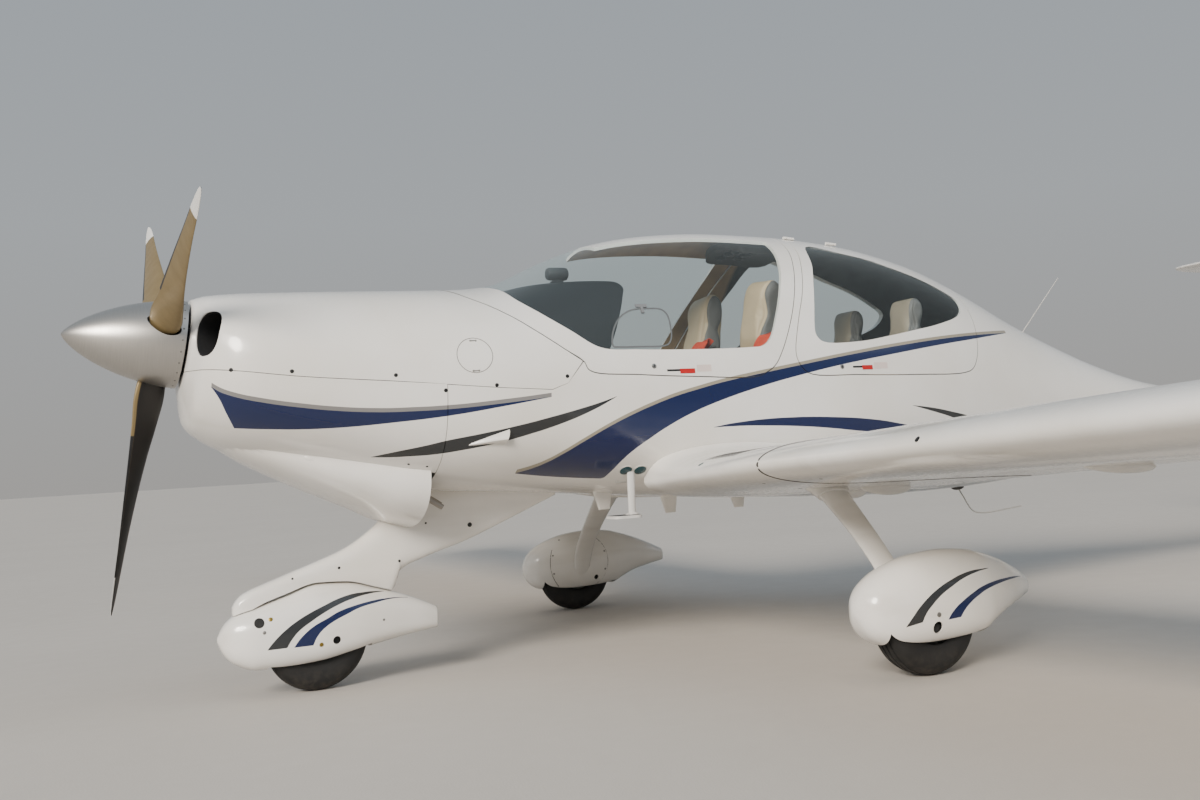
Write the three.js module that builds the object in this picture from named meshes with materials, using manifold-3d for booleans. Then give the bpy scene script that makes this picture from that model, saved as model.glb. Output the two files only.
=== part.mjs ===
// Four-seat low-wing light aircraft with a T-tail, a three-blade propeller and fixed, faired landing gear.
// Millimetres. +X is the aircraft's port side, +Y points aft, +Z is up and the tyres stand on z = 0.
// Inside this file y is a station: 0 at the spinner's tip and LENGTH at the trailing edge of the tail.
// The exported group is shifted so that y = 0 lies at the middle of the length.
import * as THREE from 'three';
import { mergeVertices } from 'three/addons/utils/BufferGeometryUtils.js';
import Module from 'manifold-3d';

const wasm = await Module();
wasm.setup();

// Driving dimensions
const LENGTH = 8060;
const SPAN = 11630;
const TRACK = 2970;
const WHEELBASE = 1630;
const HEIGHT = 1970;
const PROP_RADIUS = 950;
const TAIL_SPAN = 3290;
const SEAT = 0.3;
const MOVING_GAP = 6;
const CONTROL_END_GAP = 10;

// Places of the wheels
const NOSE_AXLE_Y = 854;
const MAIN_AXLE_Y = NOSE_AXLE_Y + WHEELBASE;
const MAIN_WHEEL_X = TRACK / 2;
const NOSE_TYRE_RADIUS = 178;
const MAIN_TYRE_RADIUS = 182;

// Skin thicknesses
const CABIN_WALL = 25;
const TAIL_WALL = 12;
const COWL_WALL = 10;
const GLASS_THICKNESS = 6;
const FAIRING_WALL = 6;

// Propeller shaft
const SHAFT_TILT = THREE.MathUtils.degToRad(6.4);
const SPINNER_TIP_Z = 1300;
const SPINNER_LENGTH = 386;
const SPINNER_RADIUS = 157;
const HUB_STATION = 290;

// Stations of the fuselage's main joints
const FIREWALL_Y = 1200;
const BOOM_END_Y = 7520;

// Points round a skin, a void and a fairing, and the faces of round bars
const SKIN_SEGMENTS = 28;
const VOID_SEGMENTS = 20;
const FAIRING_SEGMENTS = 16;
const FAIRING_VOID_SEGMENTS = 12;
const LEG_SEGMENTS = 14;
const BAR_SIDES = 20;
const SMALL_BAR_SIDES = 12;
const INLET_SIDES = 24;

// Fuselage sections: station, top, bottom and widest heights, half width, and the roundness above and below
const FUSELAGE_SECTIONS = [
  { y: 395, top: 1417, bottom: 1078, wide: 1262, half: 172, upper: 2.0, lower: 2.0 },
  { y: 430, top: 1428, bottom: 940, wide: 1235, half: 290, upper: 2.1, lower: 2.1 },
  { y: 470, top: 1432, bottom: 885, wide: 1200, half: 345, upper: 2.2, lower: 2.2 },
  { y: 540, top: 1436, bottom: 832, wide: 1160, half: 390, upper: 2.3, lower: 2.3 },
  { y: 700, top: 1441, bottom: 760, wide: 1110, half: 435, upper: 2.3, lower: 2.4 },
  { y: 950, top: 1446, bottom: 705, wide: 1070, half: 480, upper: 2.3, lower: 2.5 },
  { y: 1200, top: 1450, bottom: 680, wide: 1040, half: 520, upper: 2.3, lower: 2.6 },
  { y: 1400, top: 1456, bottom: 668, wide: 1030, half: 545, upper: 2.25, lower: 2.6 },
  { y: 1530, top: 1476, bottom: 660, wide: 1020, half: 556, upper: 2.15, lower: 2.6 },
  { y: 1600, top: 1502, bottom: 654, wide: 1015, half: 560, upper: 2.12, lower: 2.6 },
  { y: 1670, top: 1541, bottom: 648, wide: 1010, half: 565, upper: 2.1, lower: 2.6 },
  { y: 1840, top: 1615, bottom: 631, wide: 1000, half: 572, upper: 2.0, lower: 2.6 },
  { y: 2010, top: 1667, bottom: 614, wide: 1000, half: 576, upper: 2.0, lower: 2.6 },
  { y: 2230, top: 1703, bottom: 592, wide: 1000, half: 578, upper: 2.0, lower: 2.6 },
  { y: 2500, top: 1720, bottom: 570, wide: 1000, half: 574, upper: 2.0, lower: 2.6 },
  { y: 2800, top: 1716, bottom: 550, wide: 990, half: 564, upper: 2.0, lower: 2.6 },
  { y: 3160, top: 1688, bottom: 530, wide: 975, half: 540, upper: 2.0, lower: 2.5 },
  { y: 3560, top: 1604, bottom: 518, wide: 955, half: 490, upper: 2.0, lower: 2.4 },
  { y: 3860, top: 1487, bottom: 522, wide: 930, half: 435, upper: 2.0, lower: 2.3 },
  { y: 4180, top: 1333, bottom: 540, wide: 890, half: 370, upper: 2.0, lower: 2.2 },
  { y: 4490, top: 1206, bottom: 562, wide: 855, half: 310, upper: 2.0, lower: 2.1 },
  { y: 4800, top: 1095, bottom: 585, wide: 825, half: 262, upper: 2.0, lower: 2.0 },
  { y: 5200, top: 990, bottom: 612, wide: 800, half: 215, upper: 2.0, lower: 2.0 },
  { y: 5900, top: 910, bottom: 638, wide: 776, half: 165, upper: 2.0, lower: 2.0 },
  { y: BOOM_END_Y, top: 872, bottom: 678, wide: 772, half: 72, upper: 2.0, lower: 2.0 },
];

// Outlines in side view, as [station, height]
const COWL_SPLIT = [[380, 1150], [495, 1134], [709, 1103], [1036, 1073], [1384, 1038], [1580, 1024], [1640, 1045]];
const CANOPY_FRONT = [[1711, 1125], [1644, 1173], [1561, 1237], [1483, 1299], [1409, 1352], [1339, 1400], [1272, 1480]];
const CANOPY_BOTTOM = [[1731, 1090], [1931, 1070], [2186, 1056], [2441, 1050], [2500, 1069], [2541, 1096]];
const CANOPY_AFT = [[2580, 1149], [2654, 1280], [2715, 1400], [2775, 1527], [2815, 1620], [2842, 1760]];
const GLASS_FRONT = [[1400, 1500], [1490, 1436], [1521, 1379], [1587, 1315], [1680, 1243], [1783, 1176]];
const GLASS_BOTTOM = [[1943, 1165], [2200, 1162], [2430, 1167], [2493, 1173], [2535, 1201]];
const GLASS_AFT = [[2594, 1304], [2655, 1420], [2700, 1510], [2738, 1616], [2745, 1800]];
const ROOF_STRIP_LOW = 1450;
const ROOF_STRIP = [[150, 1950], [185, 2200], [205, 2500], [215, 2900]];
const DOOR_FRONT = [[2892, 1760], [2865, 1620], [2822, 1527], [2760, 1400], [2697, 1280], [2652, 1150], [2657, 1107]];
const DOOR_BOTTOM = [[2695, 1061], [2964, 1047], [3305, 1042], [3593, 1047], [3655, 1066]];
const DOOR_AFT = [[3700, 1120], [3735, 1200], [3763, 1296], [3775, 1400], [3760, 1760]];
const REAR_GLASS = [
  [2942, 1641], [2881, 1530], [2833, 1436], [2768, 1250], [2768, 1215], [2795, 1188], [2993, 1188],
  [3142, 1208], [3330, 1239], [3503, 1270], [3668, 1316], [3715, 1355], [3719, 1395], [3639, 1448],
  [3517, 1504], [3348, 1560], [3271, 1585], [3128, 1614],
];
const DOOR_INNER_X = 130;
const GLASS_INNER_X = 170;

// Hinge lines
const CANOPY_HINGE = { y: 1287, z: 1444, pin: 3, eye: 5, halfSpan: 60 };
const DOOR_HINGE = { x: 124, y: 2780, z: 1710, fall: 0.083, pin: 3, eye: 7, halfWidth: 12, outerShift: 23 };

const white = new THREE.MeshStandardMaterial({ color: 0xe9e6e0, roughness: 0.3, metalness: 0 });
const glass = new THREE.MeshStandardMaterial({ color: 0x8fa0a6, roughness: 0.05, metalness: 0, opacity: 0.4, transparent: true });
const silver = new THREE.MeshStandardMaterial({ color: 0xb9b6b2, roughness: 0.3, metalness: 0.9 });
const bronze = new THREE.MeshStandardMaterial({ color: 0x8d8672, roughness: 0.4, metalness: 0.5 });
const steel = new THREE.MeshStandardMaterial({ color: 0x8b8d8f, roughness: 0.4, metalness: 0.9 });
const iron = new THREE.MeshStandardMaterial({ color: 0x4a4a4c, roughness: 0.6, metalness: 0.6 });
const black = new THREE.MeshStandardMaterial({ color: 0x1c1d1f, roughness: 0.8, metalness: 0 });
const hide = new THREE.MeshStandardMaterial({ color: 0xc9ab84, roughness: 0.6, metalness: 0 });
const panelBlue = new THREE.MeshStandardMaterial({ color: 0x1c2530, roughness: 0.7, metalness: 0 });

const aircraft = new THREE.Group();
const stationFrame = new THREE.Group();
stationFrame.position.y = -LENGTH / 2;
aircraft.add(stationFrame);

// Turn a closed three.js geometry into a manifold solid
function solid(geometry) {
  const bare = geometry.clone();
  bare.deleteAttribute('normal');
  bare.deleteAttribute('uv');
  const merged = mergeVertices(bare, 1e-4);
  return new wasm.Manifold(new wasm.Mesh({
    numProp: 3,
    vertProperties: new Float32Array(merged.attributes.position.array),
    triVerts: new Uint32Array(merged.index.array),
  }));
}

// Turn a manifold solid back into a three.js geometry
function geometryOf(body) {
  const mesh = body.getMesh();
  const geometry = new THREE.BufferGeometry();
  geometry.setAttribute('position', new THREE.BufferAttribute(new Float32Array(mesh.vertProperties), 3));
  geometry.setIndex(new THREE.BufferAttribute(new Uint32Array(mesh.triVerts), 1));
  geometry.computeVertexNormals();
  return geometry;
}

// Slivers flatter than this are merged away before a solid becomes a node
const FLATNESS = 0.2;

function addNode(name, body, material) {
  const mesh = new THREE.Mesh(geometryOf(body.simplify(FLATNESS)), material);
  mesh.name = name;
  stationFrame.add(mesh);
}

// Join rings of points, each the same count and wound the same way, into one closed surface
function loft(rings) {
  const count = rings[0].length;
  const positions = [];
  const faces = [];
  for (const ring of rings) {
    for (const point of ring) positions.push(...point);
  }
  for (let r = 0; r + 1 < rings.length; r += 1) {
    for (let k = 0; k < count; k += 1) {
      const a = r * count + k;
      const b = r * count + ((k + 1) % count);
      faces.push(a, b, a + count, b, b + count, a + count);
    }
  }
  const caps = [[0, rings[0], true], [(rings.length - 1) * count, rings[rings.length - 1], false]];
  for (const [start, ring, first] of caps) {
    const centre = new THREE.Vector3();
    for (const point of ring) centre.add(new THREE.Vector3(...point));
    centre.divideScalar(count);
    const hub = positions.length / 3;
    positions.push(centre.x, centre.y, centre.z);
    for (let k = 0; k < count; k += 1) {
      const a = start + k;
      const b = start + ((k + 1) % count);
      if (first) faces.push(hub, b, a);
      else faces.push(hub, a, b);
    }
  }
  const geometry = new THREE.BufferGeometry();
  geometry.setAttribute('position', new THREE.Float32BufferAttribute(positions, 3));
  geometry.setIndex(faces);
  const body = solid(geometry);
  if (body.volume() > 0) return body;
  geometry.setIndex(faces.map((_, i) => faces[i - (i % 3) + [0, 2, 1][i % 3]]));
  return solid(geometry);
}

// A rounded section: a superellipse whose upper and lower halves have their own heights
function roundRing(section, inset, count) {
  const ring = [];
  for (let k = 0; k < count; k += 1) {
    const angle = (2 * Math.PI * k) / count + Math.PI / 2;
    const c = Math.cos(angle);
    const s = Math.sin(angle);
    const power = 2 / (s >= 0 ? section.upper : section.lower);
    const reach = s >= 0 ? section.top - inset - section.wide : section.wide - section.bottom - inset;
    const x = section.x0 + Math.sign(c) * (section.half - inset) * Math.abs(c) ** power;
    const z = section.wide + Math.sign(s) * reach * Math.abs(s) ** power;
    ring.push([x, section.y + (section.lean ?? 0) * (z - section.wide), z]);
  }
  return ring;
}

function sectionAt(sections, y) {
  let i = 0;
  while (i + 2 < sections.length && sections[i + 1].y < y) i += 1;
  const a = sections[i];
  const b = sections[i + 1];
  const t = (y - a.y) / (b.y - a.y);
  const mixed = { x0: 0 };
  for (const key of Object.keys(a)) mixed[key] = THREE.MathUtils.lerp(a[key], b[key], t);
  return mixed;
}

// The nose sections lean back with the propeller disc, and the lean fades out at the firewall
function noseLean(y) {
  const fade = THREE.MathUtils.clamp((FIREWALL_Y - y) / (FIREWALL_Y - 470), 0, 1);
  return Math.tan(SHAFT_TILT) * fade;
}

function fuselageLoft(from, to, insetAt) {
  const inner = FUSELAGE_SECTIONS.map((s) => s.y).filter((y) => y > from + 1 && y < to - 1);
  const rings = [from, ...inner, to].map((y) => {
    const section = { ...sectionAt(FUSELAGE_SECTIONS, y), lean: noseLean(y) };
    return roundRing(section, insetAt(y), insetAt(y) > GLASS_THICKNESS ? VOID_SEGMENTS : SKIN_SEGMENTS);
  });
  return loft(rings);
}

function tableLoft(sections, inset, count, x0 = 0) {
  return loft(sections.map((s) => roundRing({ x0, ...s }, inset, count)));
}

function box(x0, x1, y0, y1, z0, z1) {
  const geometry = new THREE.BoxGeometry(x1 - x0, y1 - y0, z1 - z0);
  geometry.translate((x0 + x1) / 2, (y0 + y1) / 2, (z0 + z1) / 2);
  return solid(geometry);
}

// A prism along X from an outline of [station, height] points
function sidePrism(outline, x0, x1) {
  const shape = new THREE.Shape(outline.map(([y, z]) => new THREE.Vector2(y, z)));
  const geometry = new THREE.ExtrudeGeometry(shape, { depth: x1 - x0, bevelEnabled: false });
  const basis = new THREE.Matrix4().makeBasis(
    new THREE.Vector3(0, 1, 0), new THREE.Vector3(0, 0, 1), new THREE.Vector3(1, 0, 0),
  );
  geometry.applyMatrix4(basis);
  geometry.translate(x0, 0, 0);
  return solid(geometry);
}

// A prism along Z from an outline of [x, station] points
function planPrism(outline, z0, z1) {
  const shape = new THREE.Shape(outline.map(([x, y]) => new THREE.Vector2(x, y)));
  const geometry = new THREE.ExtrudeGeometry(shape, { depth: z1 - z0, bevelEnabled: false });
  geometry.translate(0, 0, z0);
  return solid(geometry);
}

// A cylinder or cone from one point to another
function rod(from, to, radius, endRadius = radius, sides = 16) {
  const a = new THREE.Vector3(...from);
  const b = new THREE.Vector3(...to);
  const geometry = new THREE.CylinderGeometry(endRadius, radius, a.distanceTo(b), sides);
  const turn = new THREE.Quaternion().setFromUnitVectors(
    new THREE.Vector3(0, 1, 0), b.clone().sub(a).normalize(),
  );
  geometry.applyQuaternion(turn);
  geometry.translate((a.x + b.x) / 2, (a.y + b.y) / 2, (a.z + b.z) / 2);
  return solid(geometry);
}

function joined(...bodies) {
  return bodies.reduce((sum, body) => sum.add(body));
}

function mirrored(body) {
  return body.mirror([1, 0, 0]);
}

// Move each point of an outline towards the outline's middle
function shrunk(outline, amount) {
  const middle = new THREE.Vector2();
  for (const point of outline) middle.add(new THREE.Vector2(...point));
  middle.divideScalar(outline.length);
  return outline.map(([u, v]) => {
    const arm = new THREE.Vector2(u - middle.x, v - middle.y);
    const grow = Math.max(0, 1 - amount / Math.max(Math.min(Math.abs(arm.x), Math.abs(arm.y)), 60));
    return [middle.x + arm.x * grow, middle.y + arm.y * grow];
  });
}

// Half outlines of a wing section: chord fraction and thickness fraction, blunt at the trailing edge
function aerofoilRing(steps) {
  const upper = [];
  for (let k = 0; k <= steps; k += 1) {
    const chord = 0.5 * (1 + Math.cos((Math.PI * k) / steps));
    upper.push([chord, thicknessShape(chord)]);
  }
  const lower = upper.slice(0, -1).reverse().map(([c, t]) => [c, -t]);
  return [...upper, ...lower];
}

function camberLine(chord, camber) {
  return camber * 4 * chord * (1 - chord);
}

// Section of a wing or tailplane: x is its place along the span, and drop is how far the chord falls towards its tail
function spanRing({ x, y, z, chord, thick, camber, drop }, steps) {
  return aerofoilRing(steps).map(([c, t]) => {
    const height = chord * (t * thick + camberLine(c, camber));
    return [x, y + c * chord * Math.cos(drop) + height * Math.sin(drop), z - c * chord * Math.sin(drop) + height * Math.cos(drop)];
  });
}

// Section of the fin: level, with its thickness along X
function finRing({ y, z, chord, thick }, steps) {
  return aerofoilRing(steps).map(([c, t]) => [t * thick * chord, y + c * chord, z]);
}

// A box about a hinge: its width lies along the axis and it runs from the axis towards the fixed side
function hingeArm({ at, axis, ahead }, width, height, from, to) {
  const geometry = new THREE.BoxGeometry(width, to - from, height);
  geometry.translate(0, (from + to) / 2, 0);
  const up = new THREE.Vector3().crossVectors(axis, ahead);
  geometry.applyMatrix4(new THREE.Matrix4().makeBasis(axis, ahead, up).setPosition(at));
  return solid(geometry);
}

// A round bar centred on a hinge, along its axis
function hingeBar({ at, axis }, halfLength, radius) {
  const end = (distance) => at.clone().addScaledVector(axis, distance).toArray();
  return rod(end(-halfLength), end(halfLength), radius, radius, SMALL_BAR_SIDES);
}

// Hinge of a control surface: the fixed side's arm ends in an eye round a pin that the surface carries in a slot
const HINGE = { width: 14, pin: 4, eye: 12, sideGap: 3, backGap: 5, seatInSurface: 9 };

function addHinge(moving, fixed, place, noseRadius, reach) {
  const eyeRadius = Math.min(HINGE.eye, noseRadius - MOVING_GAP);
  const half = HINGE.width / 2;
  const slotHeight = 2 * (noseRadius + MOVING_GAP);
  const slot = hingeArm(place, HINGE.width + 2 * HINGE.sideGap, slotHeight, -eyeRadius - HINGE.backGap, noseRadius + MOVING_GAP);
  const pin = hingeBar(place, half + HINGE.seatInSurface, HINGE.pin);
  const bore = hingeBar(place, HINGE.width, HINGE.pin + SEAT);
  const arm = hingeArm(place, HINGE.width, eyeRadius * 1.4, 0, reach).add(hingeBar(place, half, eyeRadius));
  return [moving.subtract(slot).add(pin), fixed.add(arm.subtract(bore))];
}

function largestPiece(body) {
  const pieces = body.decompose();
  return pieces.reduce((best, piece) => (piece.volume() > best.volume() ? piece : best));
}

// Fuselage, cowlings, canopy and rear door all come out of one outer form

const outerForm = fuselageLoft(FUSELAGE_SECTIONS[0].y, BOOM_END_Y, () => 0);
const cabinVoid = fuselageLoft(FIREWALL_Y + CABIN_WALL, BOOM_END_Y - 60, (y) => (
  y < 3900 ? CABIN_WALL : THREE.MathUtils.lerp(CABIN_WALL, TAIL_WALL, Math.min(1, (y - 3900) / 300))));
const cowlVoid = fuselageLoft(452, FIREWALL_Y + COWL_WALL, () => COWL_WALL);
const cowlDeckVoid = fuselageLoft(FIREWALL_Y - 50, 1800, () => COWL_WALL);
const glassVoid = fuselageLoft(1300, 3900, () => GLASS_THICKNESS);

const WIDE = 800;
const OVER_ROOF = 1900;

// The canopy's outline in side view, grown by a gap and closed above the roof
function canopyOutline(gap) {
  const front = CANOPY_FRONT.slice().reverse().map(([y, z]) => [y - gap, z]);
  const bottom = CANOPY_BOTTOM.map(([y, z]) => [y, z - gap]);
  const aft = CANOPY_AFT.map(([y, z]) => [y + gap, z]);
  return [[front[0][0], OVER_ROOF], ...front, ...bottom, ...aft, [aft[aft.length - 1][0], OVER_ROOF]];
}

const canopyRegion = sidePrism(canopyOutline(0), -WIDE, WIDE);
const glassOutline = [...GLASS_FRONT, ...GLASS_BOTTOM, ...GLASS_AFT, [2100, OVER_ROOF], [1400, OVER_ROOF]];
const roofStripOutline = [...ROOF_STRIP, ...ROOF_STRIP.slice().reverse().map(([x, y]) => [-x, y])];
const roofStrip = planPrism(roofStripOutline, ROOF_STRIP_LOW, OVER_ROOF);

function buildCanopy() {
  const skin = outerForm.intersect(canopyRegion);
  const opening = sidePrism(glassOutline, -WIDE, WIDE).subtract(roofStrip);
  const frameShell = skin.subtract(fuselageLoft(1210, 3900, () => CABIN_WALL));
  const lugs = [-1, 1].map((side) => {
    const x = side * (CANOPY_HINGE.halfSpan - 15);
    return canopyHingePlate(x - 5, x + 5, CANOPY_HINGE.y, 1330, 1437, 1445);
  });
  const frame = largestPiece(frameShell.subtract(opening).add(joined(...lugs)));
  const pane = skin.subtract(glassVoid);
  const paneOutline = shrunk(glassOutline, SEAT);
  const widerStrip = planPrism(roofStripOutline.map(([x, y], i) => [
    x + Math.sign(x) * SEAT, i === 0 || i === roofStripOutline.length - 1 ? y - SEAT : y]), ROOF_STRIP_LOW, OVER_ROOF);
  const glazing = largestPiece(pane.intersect(sidePrism(paneOutline, -WIDE, WIDE)).subtract(widerStrip));
  addNode('canopy_frame', frame, white);
  addNode('canopy_glass', glazing, glass);
}

const doorOutline = [...DOOR_FRONT, ...DOOR_BOTTOM, ...DOOR_AFT];
const DOOR_HINGE_STATIONS = [2925, 3155];
const DOOR_LEAF = 42;

function doorHingeZ(y) {
  return DOOR_HINGE.z - DOOR_HINGE.fall * (y - DOOR_HINGE.y);
}

function doorHingeBar(y, halfLength, radius) {
  const end = (dy) => [DOOR_HINGE.x, y + dy, doorHingeZ(y + dy)];
  return rod(end(-halfLength), end(halfLength), radius, radius, SMALL_BAR_SIDES);
}

// A knuckle of the rear door's hinge with a leaf that reaches sideways to x and down into the skin
function doorKnuckle(y, x, halfLength) {
  const z = doorHingeZ(y);
  const near = DOOR_HINGE.x + DOOR_HINGE.pin * Math.sign(x - DOOR_HINGE.x);
  const leaf = box(Math.min(x, near), Math.max(x, near), y - halfLength, y + halfLength, z - CABIN_WALL - 3, z - 1);
  return leaf.add(doorHingeBar(y, halfLength, DOOR_HINGE.eye));
}

function buildRearDoor() {
  const region = sidePrism(doorOutline, DOOR_INNER_X, WIDE);
  const skin = outerForm.intersect(region);
  const shell = skin.subtract(fuselageLoft(2000, 4200, () => CABIN_WALL));
  const opening = sidePrism(REAR_GLASS, GLASS_INNER_X, WIDE);
  const lugs = DOOR_HINGE_STATIONS.map((y) => (
    doorKnuckle(y, DOOR_HINGE.x + DOOR_LEAF, DOOR_HINGE.halfWidth)
      .subtract(doorHingeBar(y, DOOR_LEAF, DOOR_HINGE.pin + SEAT))));
  addNode('rear_door', largestPiece(joined(shell.subtract(opening), ...lugs)), white);
  const pane = outerForm.subtract(glassVoid)
    .intersect(sidePrism(shrunk(REAR_GLASS, SEAT), GLASS_INNER_X + SEAT, WIDE));
  addNode('rear_door_glass', largestPiece(pane), glass);
  addNode('rear_window_right', mirrored(largestPiece(pane)), glass);
}

// Wing sections: span place, leading edge station and height, chord, thickness ratio, camber and fall of the chord
const WING_DROP = THREE.MathUtils.degToRad(4.9);
const STUB_END_X = 1350;
const WING_SECTIONS = [
  { x: 0, y: 1850, z: 657, chord: 1500, thick: 0.118, camber: 0.024 },
  { x: 520, y: 1880, z: 669, chord: 1450, thick: 0.118, camber: 0.024 },
  { x: 680, y: 1935, z: 679, chord: 1340, thick: 0.12, camber: 0.024 },
  { x: 900, y: 1950, z: 690, chord: 1300, thick: 0.12, camber: 0.024 },
  { x: STUB_END_X, y: 1962, z: 712, chord: 1242, thick: 0.123, camber: 0.024 },
  { x: 3100, y: 1995, z: 787, chord: 1150, thick: 0.148, camber: 0.024 },
  { x: 5200, y: 2040, z: 887, chord: 960, thick: 0.14, camber: 0.022 },
  { x: 5560, y: 2075, z: 907, chord: 860, thick: 0.125, camber: 0.015 },
  { x: 5730, y: 2190, z: 949, chord: 640, thick: 0.11, camber: 0.01 },
  { x: SPAN / 2, y: 2400, z: 1040, chord: 330, thick: 0.09, camber: 0.0 },
];
const AEROFOIL_STEPS = 7;

function wingSectionAt(x) {
  let i = 0;
  while (i + 2 < WING_SECTIONS.length && WING_SECTIONS[i + 1].x < x) i += 1;
  const a = WING_SECTIONS[i];
  const b = WING_SECTIONS[i + 1];
  const t = (x - a.x) / (b.x - a.x);
  const mixed = {};
  for (const key of Object.keys(a)) mixed[key] = THREE.MathUtils.lerp(a[key], b[key], t);
  return mixed;
}

function wingLoft(from, to) {
  const inner = WING_SECTIONS.filter((s) => s.x > from + 1 && s.x < to - 1);
  const sections = [wingSectionAt(from), ...inner, wingSectionAt(to)];
  return loft(sections.map((s) => spanRing({ ...s, drop: WING_DROP }, AEROFOIL_STEPS)));
}

// Place of the camber line at a fraction of the chord
function wingPoint(x, fraction) {
  const { y, z, chord, camber } = wingSectionAt(x);
  const height = chord * camberLine(fraction, camber);
  return {
    x,
    y: y + fraction * chord * Math.cos(WING_DROP) + height * Math.sin(WING_DROP),
    z: z - fraction * chord * Math.sin(WING_DROP) + height * Math.cos(WING_DROP),
  };
}

// Flaps and ailerons: inner and outer ends along the span, and the hinge line's place on the chord there
const FLAP = { from: STUB_END_X + 8, to: 3186, hinge: 0.76, gap: 9, hinges: [0.36, 0.86] };
const AILERON = { from: 3202, to: 5200, hinge: 0.78, gap: 8, hinges: [0.18, 0.82] };
const WING_REGION = { front: 1500, back: 4200, low: 200, high: 1500 };

function thicknessShape(fraction) {
  return 5 * (0.2969 * Math.sqrt(fraction) - 0.126 * fraction - 0.3516 * fraction ** 2
    + 0.2843 * fraction ** 3 - 0.0985 * fraction ** 4);
}

// Radius of a control surface's nose, a little under the wing's half thickness there
function noseRadiusAt(x, fraction) {
  const { chord, thick } = wingSectionAt(x);
  return 0.97 * chord * thick * thicknessShape(fraction);
}

function controlHinge({ from, to, hinge }) {
  return [from, to].map((x) => wingPoint(x, hinge));
}

function cutWingControl(wing, spec) {
  const [a, b] = controlHinge(spec);
  const slope = (b.y - a.y) / (b.x - a.x);
  const { front, back, low, high } = WING_REGION;
  const behind = (x0, x1) => planPrism([
    [x0, a.y + slope * (x0 - a.x)], [x1, a.y + slope * (x1 - a.x)], [x1, back], [x0, back],
  ], low, high);
  const noseA = noseRadiusAt(spec.from, spec.hinge);
  const noseB = noseRadiusAt(spec.to, spec.hinge);
  const start = new THREE.Vector3(a.x, a.y, a.z);
  const end = new THREE.Vector3(b.x, b.y, b.z);
  const axis = end.clone().sub(start).normalize();
  const nose = rod(start.toArray(), end.toArray(), noseA, noseB, FAIRING_SEGMENTS);
  const coveFrom = start.clone().addScaledVector(axis, -CONTROL_END_GAP).toArray();
  const coveTo = end.clone().addScaledVector(axis, CONTROL_END_GAP).toArray();
  const cove = rod(coveFrom, coveTo, noseA + spec.gap, noseB + spec.gap, FAIRING_SEGMENTS);
  const slab = planPrism([[spec.from, front], [spec.to, front], [spec.to, back], [spec.from, back]], low, high);
  const control = largestPiece(wing.intersect(behind(spec.from, spec.to)).add(wing.intersect(nose).intersect(slab)));
  const clearance = behind(spec.from - CONTROL_END_GAP, spec.to + CONTROL_END_GAP);
  const rest = largestPiece(wing.subtract(clearance).subtract(cove));
  const ahead = new THREE.Vector3().crossVectors(new THREE.Vector3(0, 0, 1), axis).negate().normalize();
  return spec.hinges.reduce(([moving, fixed], share) => {
    const place = { at: start.clone().lerp(end, share), axis, ahead };
    const radius = THREE.MathUtils.lerp(noseA, noseB, share);
    return addHinge(moving, fixed, place, radius, radius + spec.gap + MOVING_GAP);
  }, [control, rest]);
}

// The wing's inner ends, which grow out of the fuselage's sides
function buildWingStubs() {
  const outside = wingLoft(0, STUB_END_X).subtract(fuselageLoft(FIREWALL_Y, 4200, () => -SEAT));
  const stub = largestPiece(outside.intersect(box(0, STUB_END_X + 1, WING_REGION.front, WING_REGION.back, 0, WING_REGION.high)));
  addNode('wing_stub_left', stub, white);
  addNode('wing_stub_right', mirrored(stub), white);
}

function buildWings() {
  const outer = wingLoft(STUB_END_X + SEAT, SPAN / 2);
  const [flap, afterFlap] = cutWingControl(outer, FLAP);
  const [aileron, wing] = cutWingControl(afterFlap, AILERON);
  addNode('wing_left', wing, white);
  addNode('wing_right', mirrored(wing), white);
  addNode('flap_left', flap, white);
  addNode('flap_right', mirrored(flap), white);
  addNode('aileron_left', aileron, white);
  addNode('aileron_right', mirrored(aileron), white);
}

// Tail: level sections of the fin, and span sections of the tailplane
const FIN_SECTIONS = [
  { z: 700, y: 6560, chord: 1330, thick: 0.075 },
  { z: 880, y: 6800, chord: 1115, thick: 0.085 },
  { z: 1100, y: 6990, chord: 960, thick: 0.09 },
  { z: 1500, y: 7230, chord: 780, thick: 0.09 },
  { z: 1860, y: 7370, chord: 670, thick: 0.09 },
];
const FIN_TOP = 1862;
const FIN_TOP_DROP = { y: 7785, low: 1842, runOut: 90, backFall: 30 };
const RUDDER_HINGE = { y0: 7590, z0: 690, y1: 7850, z1: 1800 };
const RUDDER_TOP = 1788;
const RUDDER_BOTTOM = 706;
const RUDDER_NOSE = { low: 26, high: 18, gap: 8, from: 650, to: 1830 };
const RUDDER_HINGES = [900, 1600];
const TAIL_Z = 1905;
const TAIL_DROP = THREE.MathUtils.degToRad(2);
const TAIL_FRONT = 7330;
const TAIL_STEPS = 6;
const TAIL_SECTIONS = [
  { x: 0, y: TAIL_FRONT, z: TAIL_Z, chord: (LENGTH - TAIL_FRONT) / Math.cos(TAIL_DROP), thick: 0.09, camber: 0 },
  { x: 1480, y: 7400, z: TAIL_Z - 6, chord: 540, thick: 0.09, camber: 0 },
  { x: 1600, y: 7430, z: TAIL_Z - 7, chord: 480, thick: 0.085, camber: 0 },
  { x: TAIL_SPAN / 2, y: 7480, z: TAIL_Z - 8, chord: 400, thick: 0.06, camber: 0 },
];
const ELEVATOR_HINGE_Y = 7790;
const ELEVATOR_NOSE = 17;
const ELEVATOR_ARM = 32;
const ELEVATOR_HINGES = [-900, 900];
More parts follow.
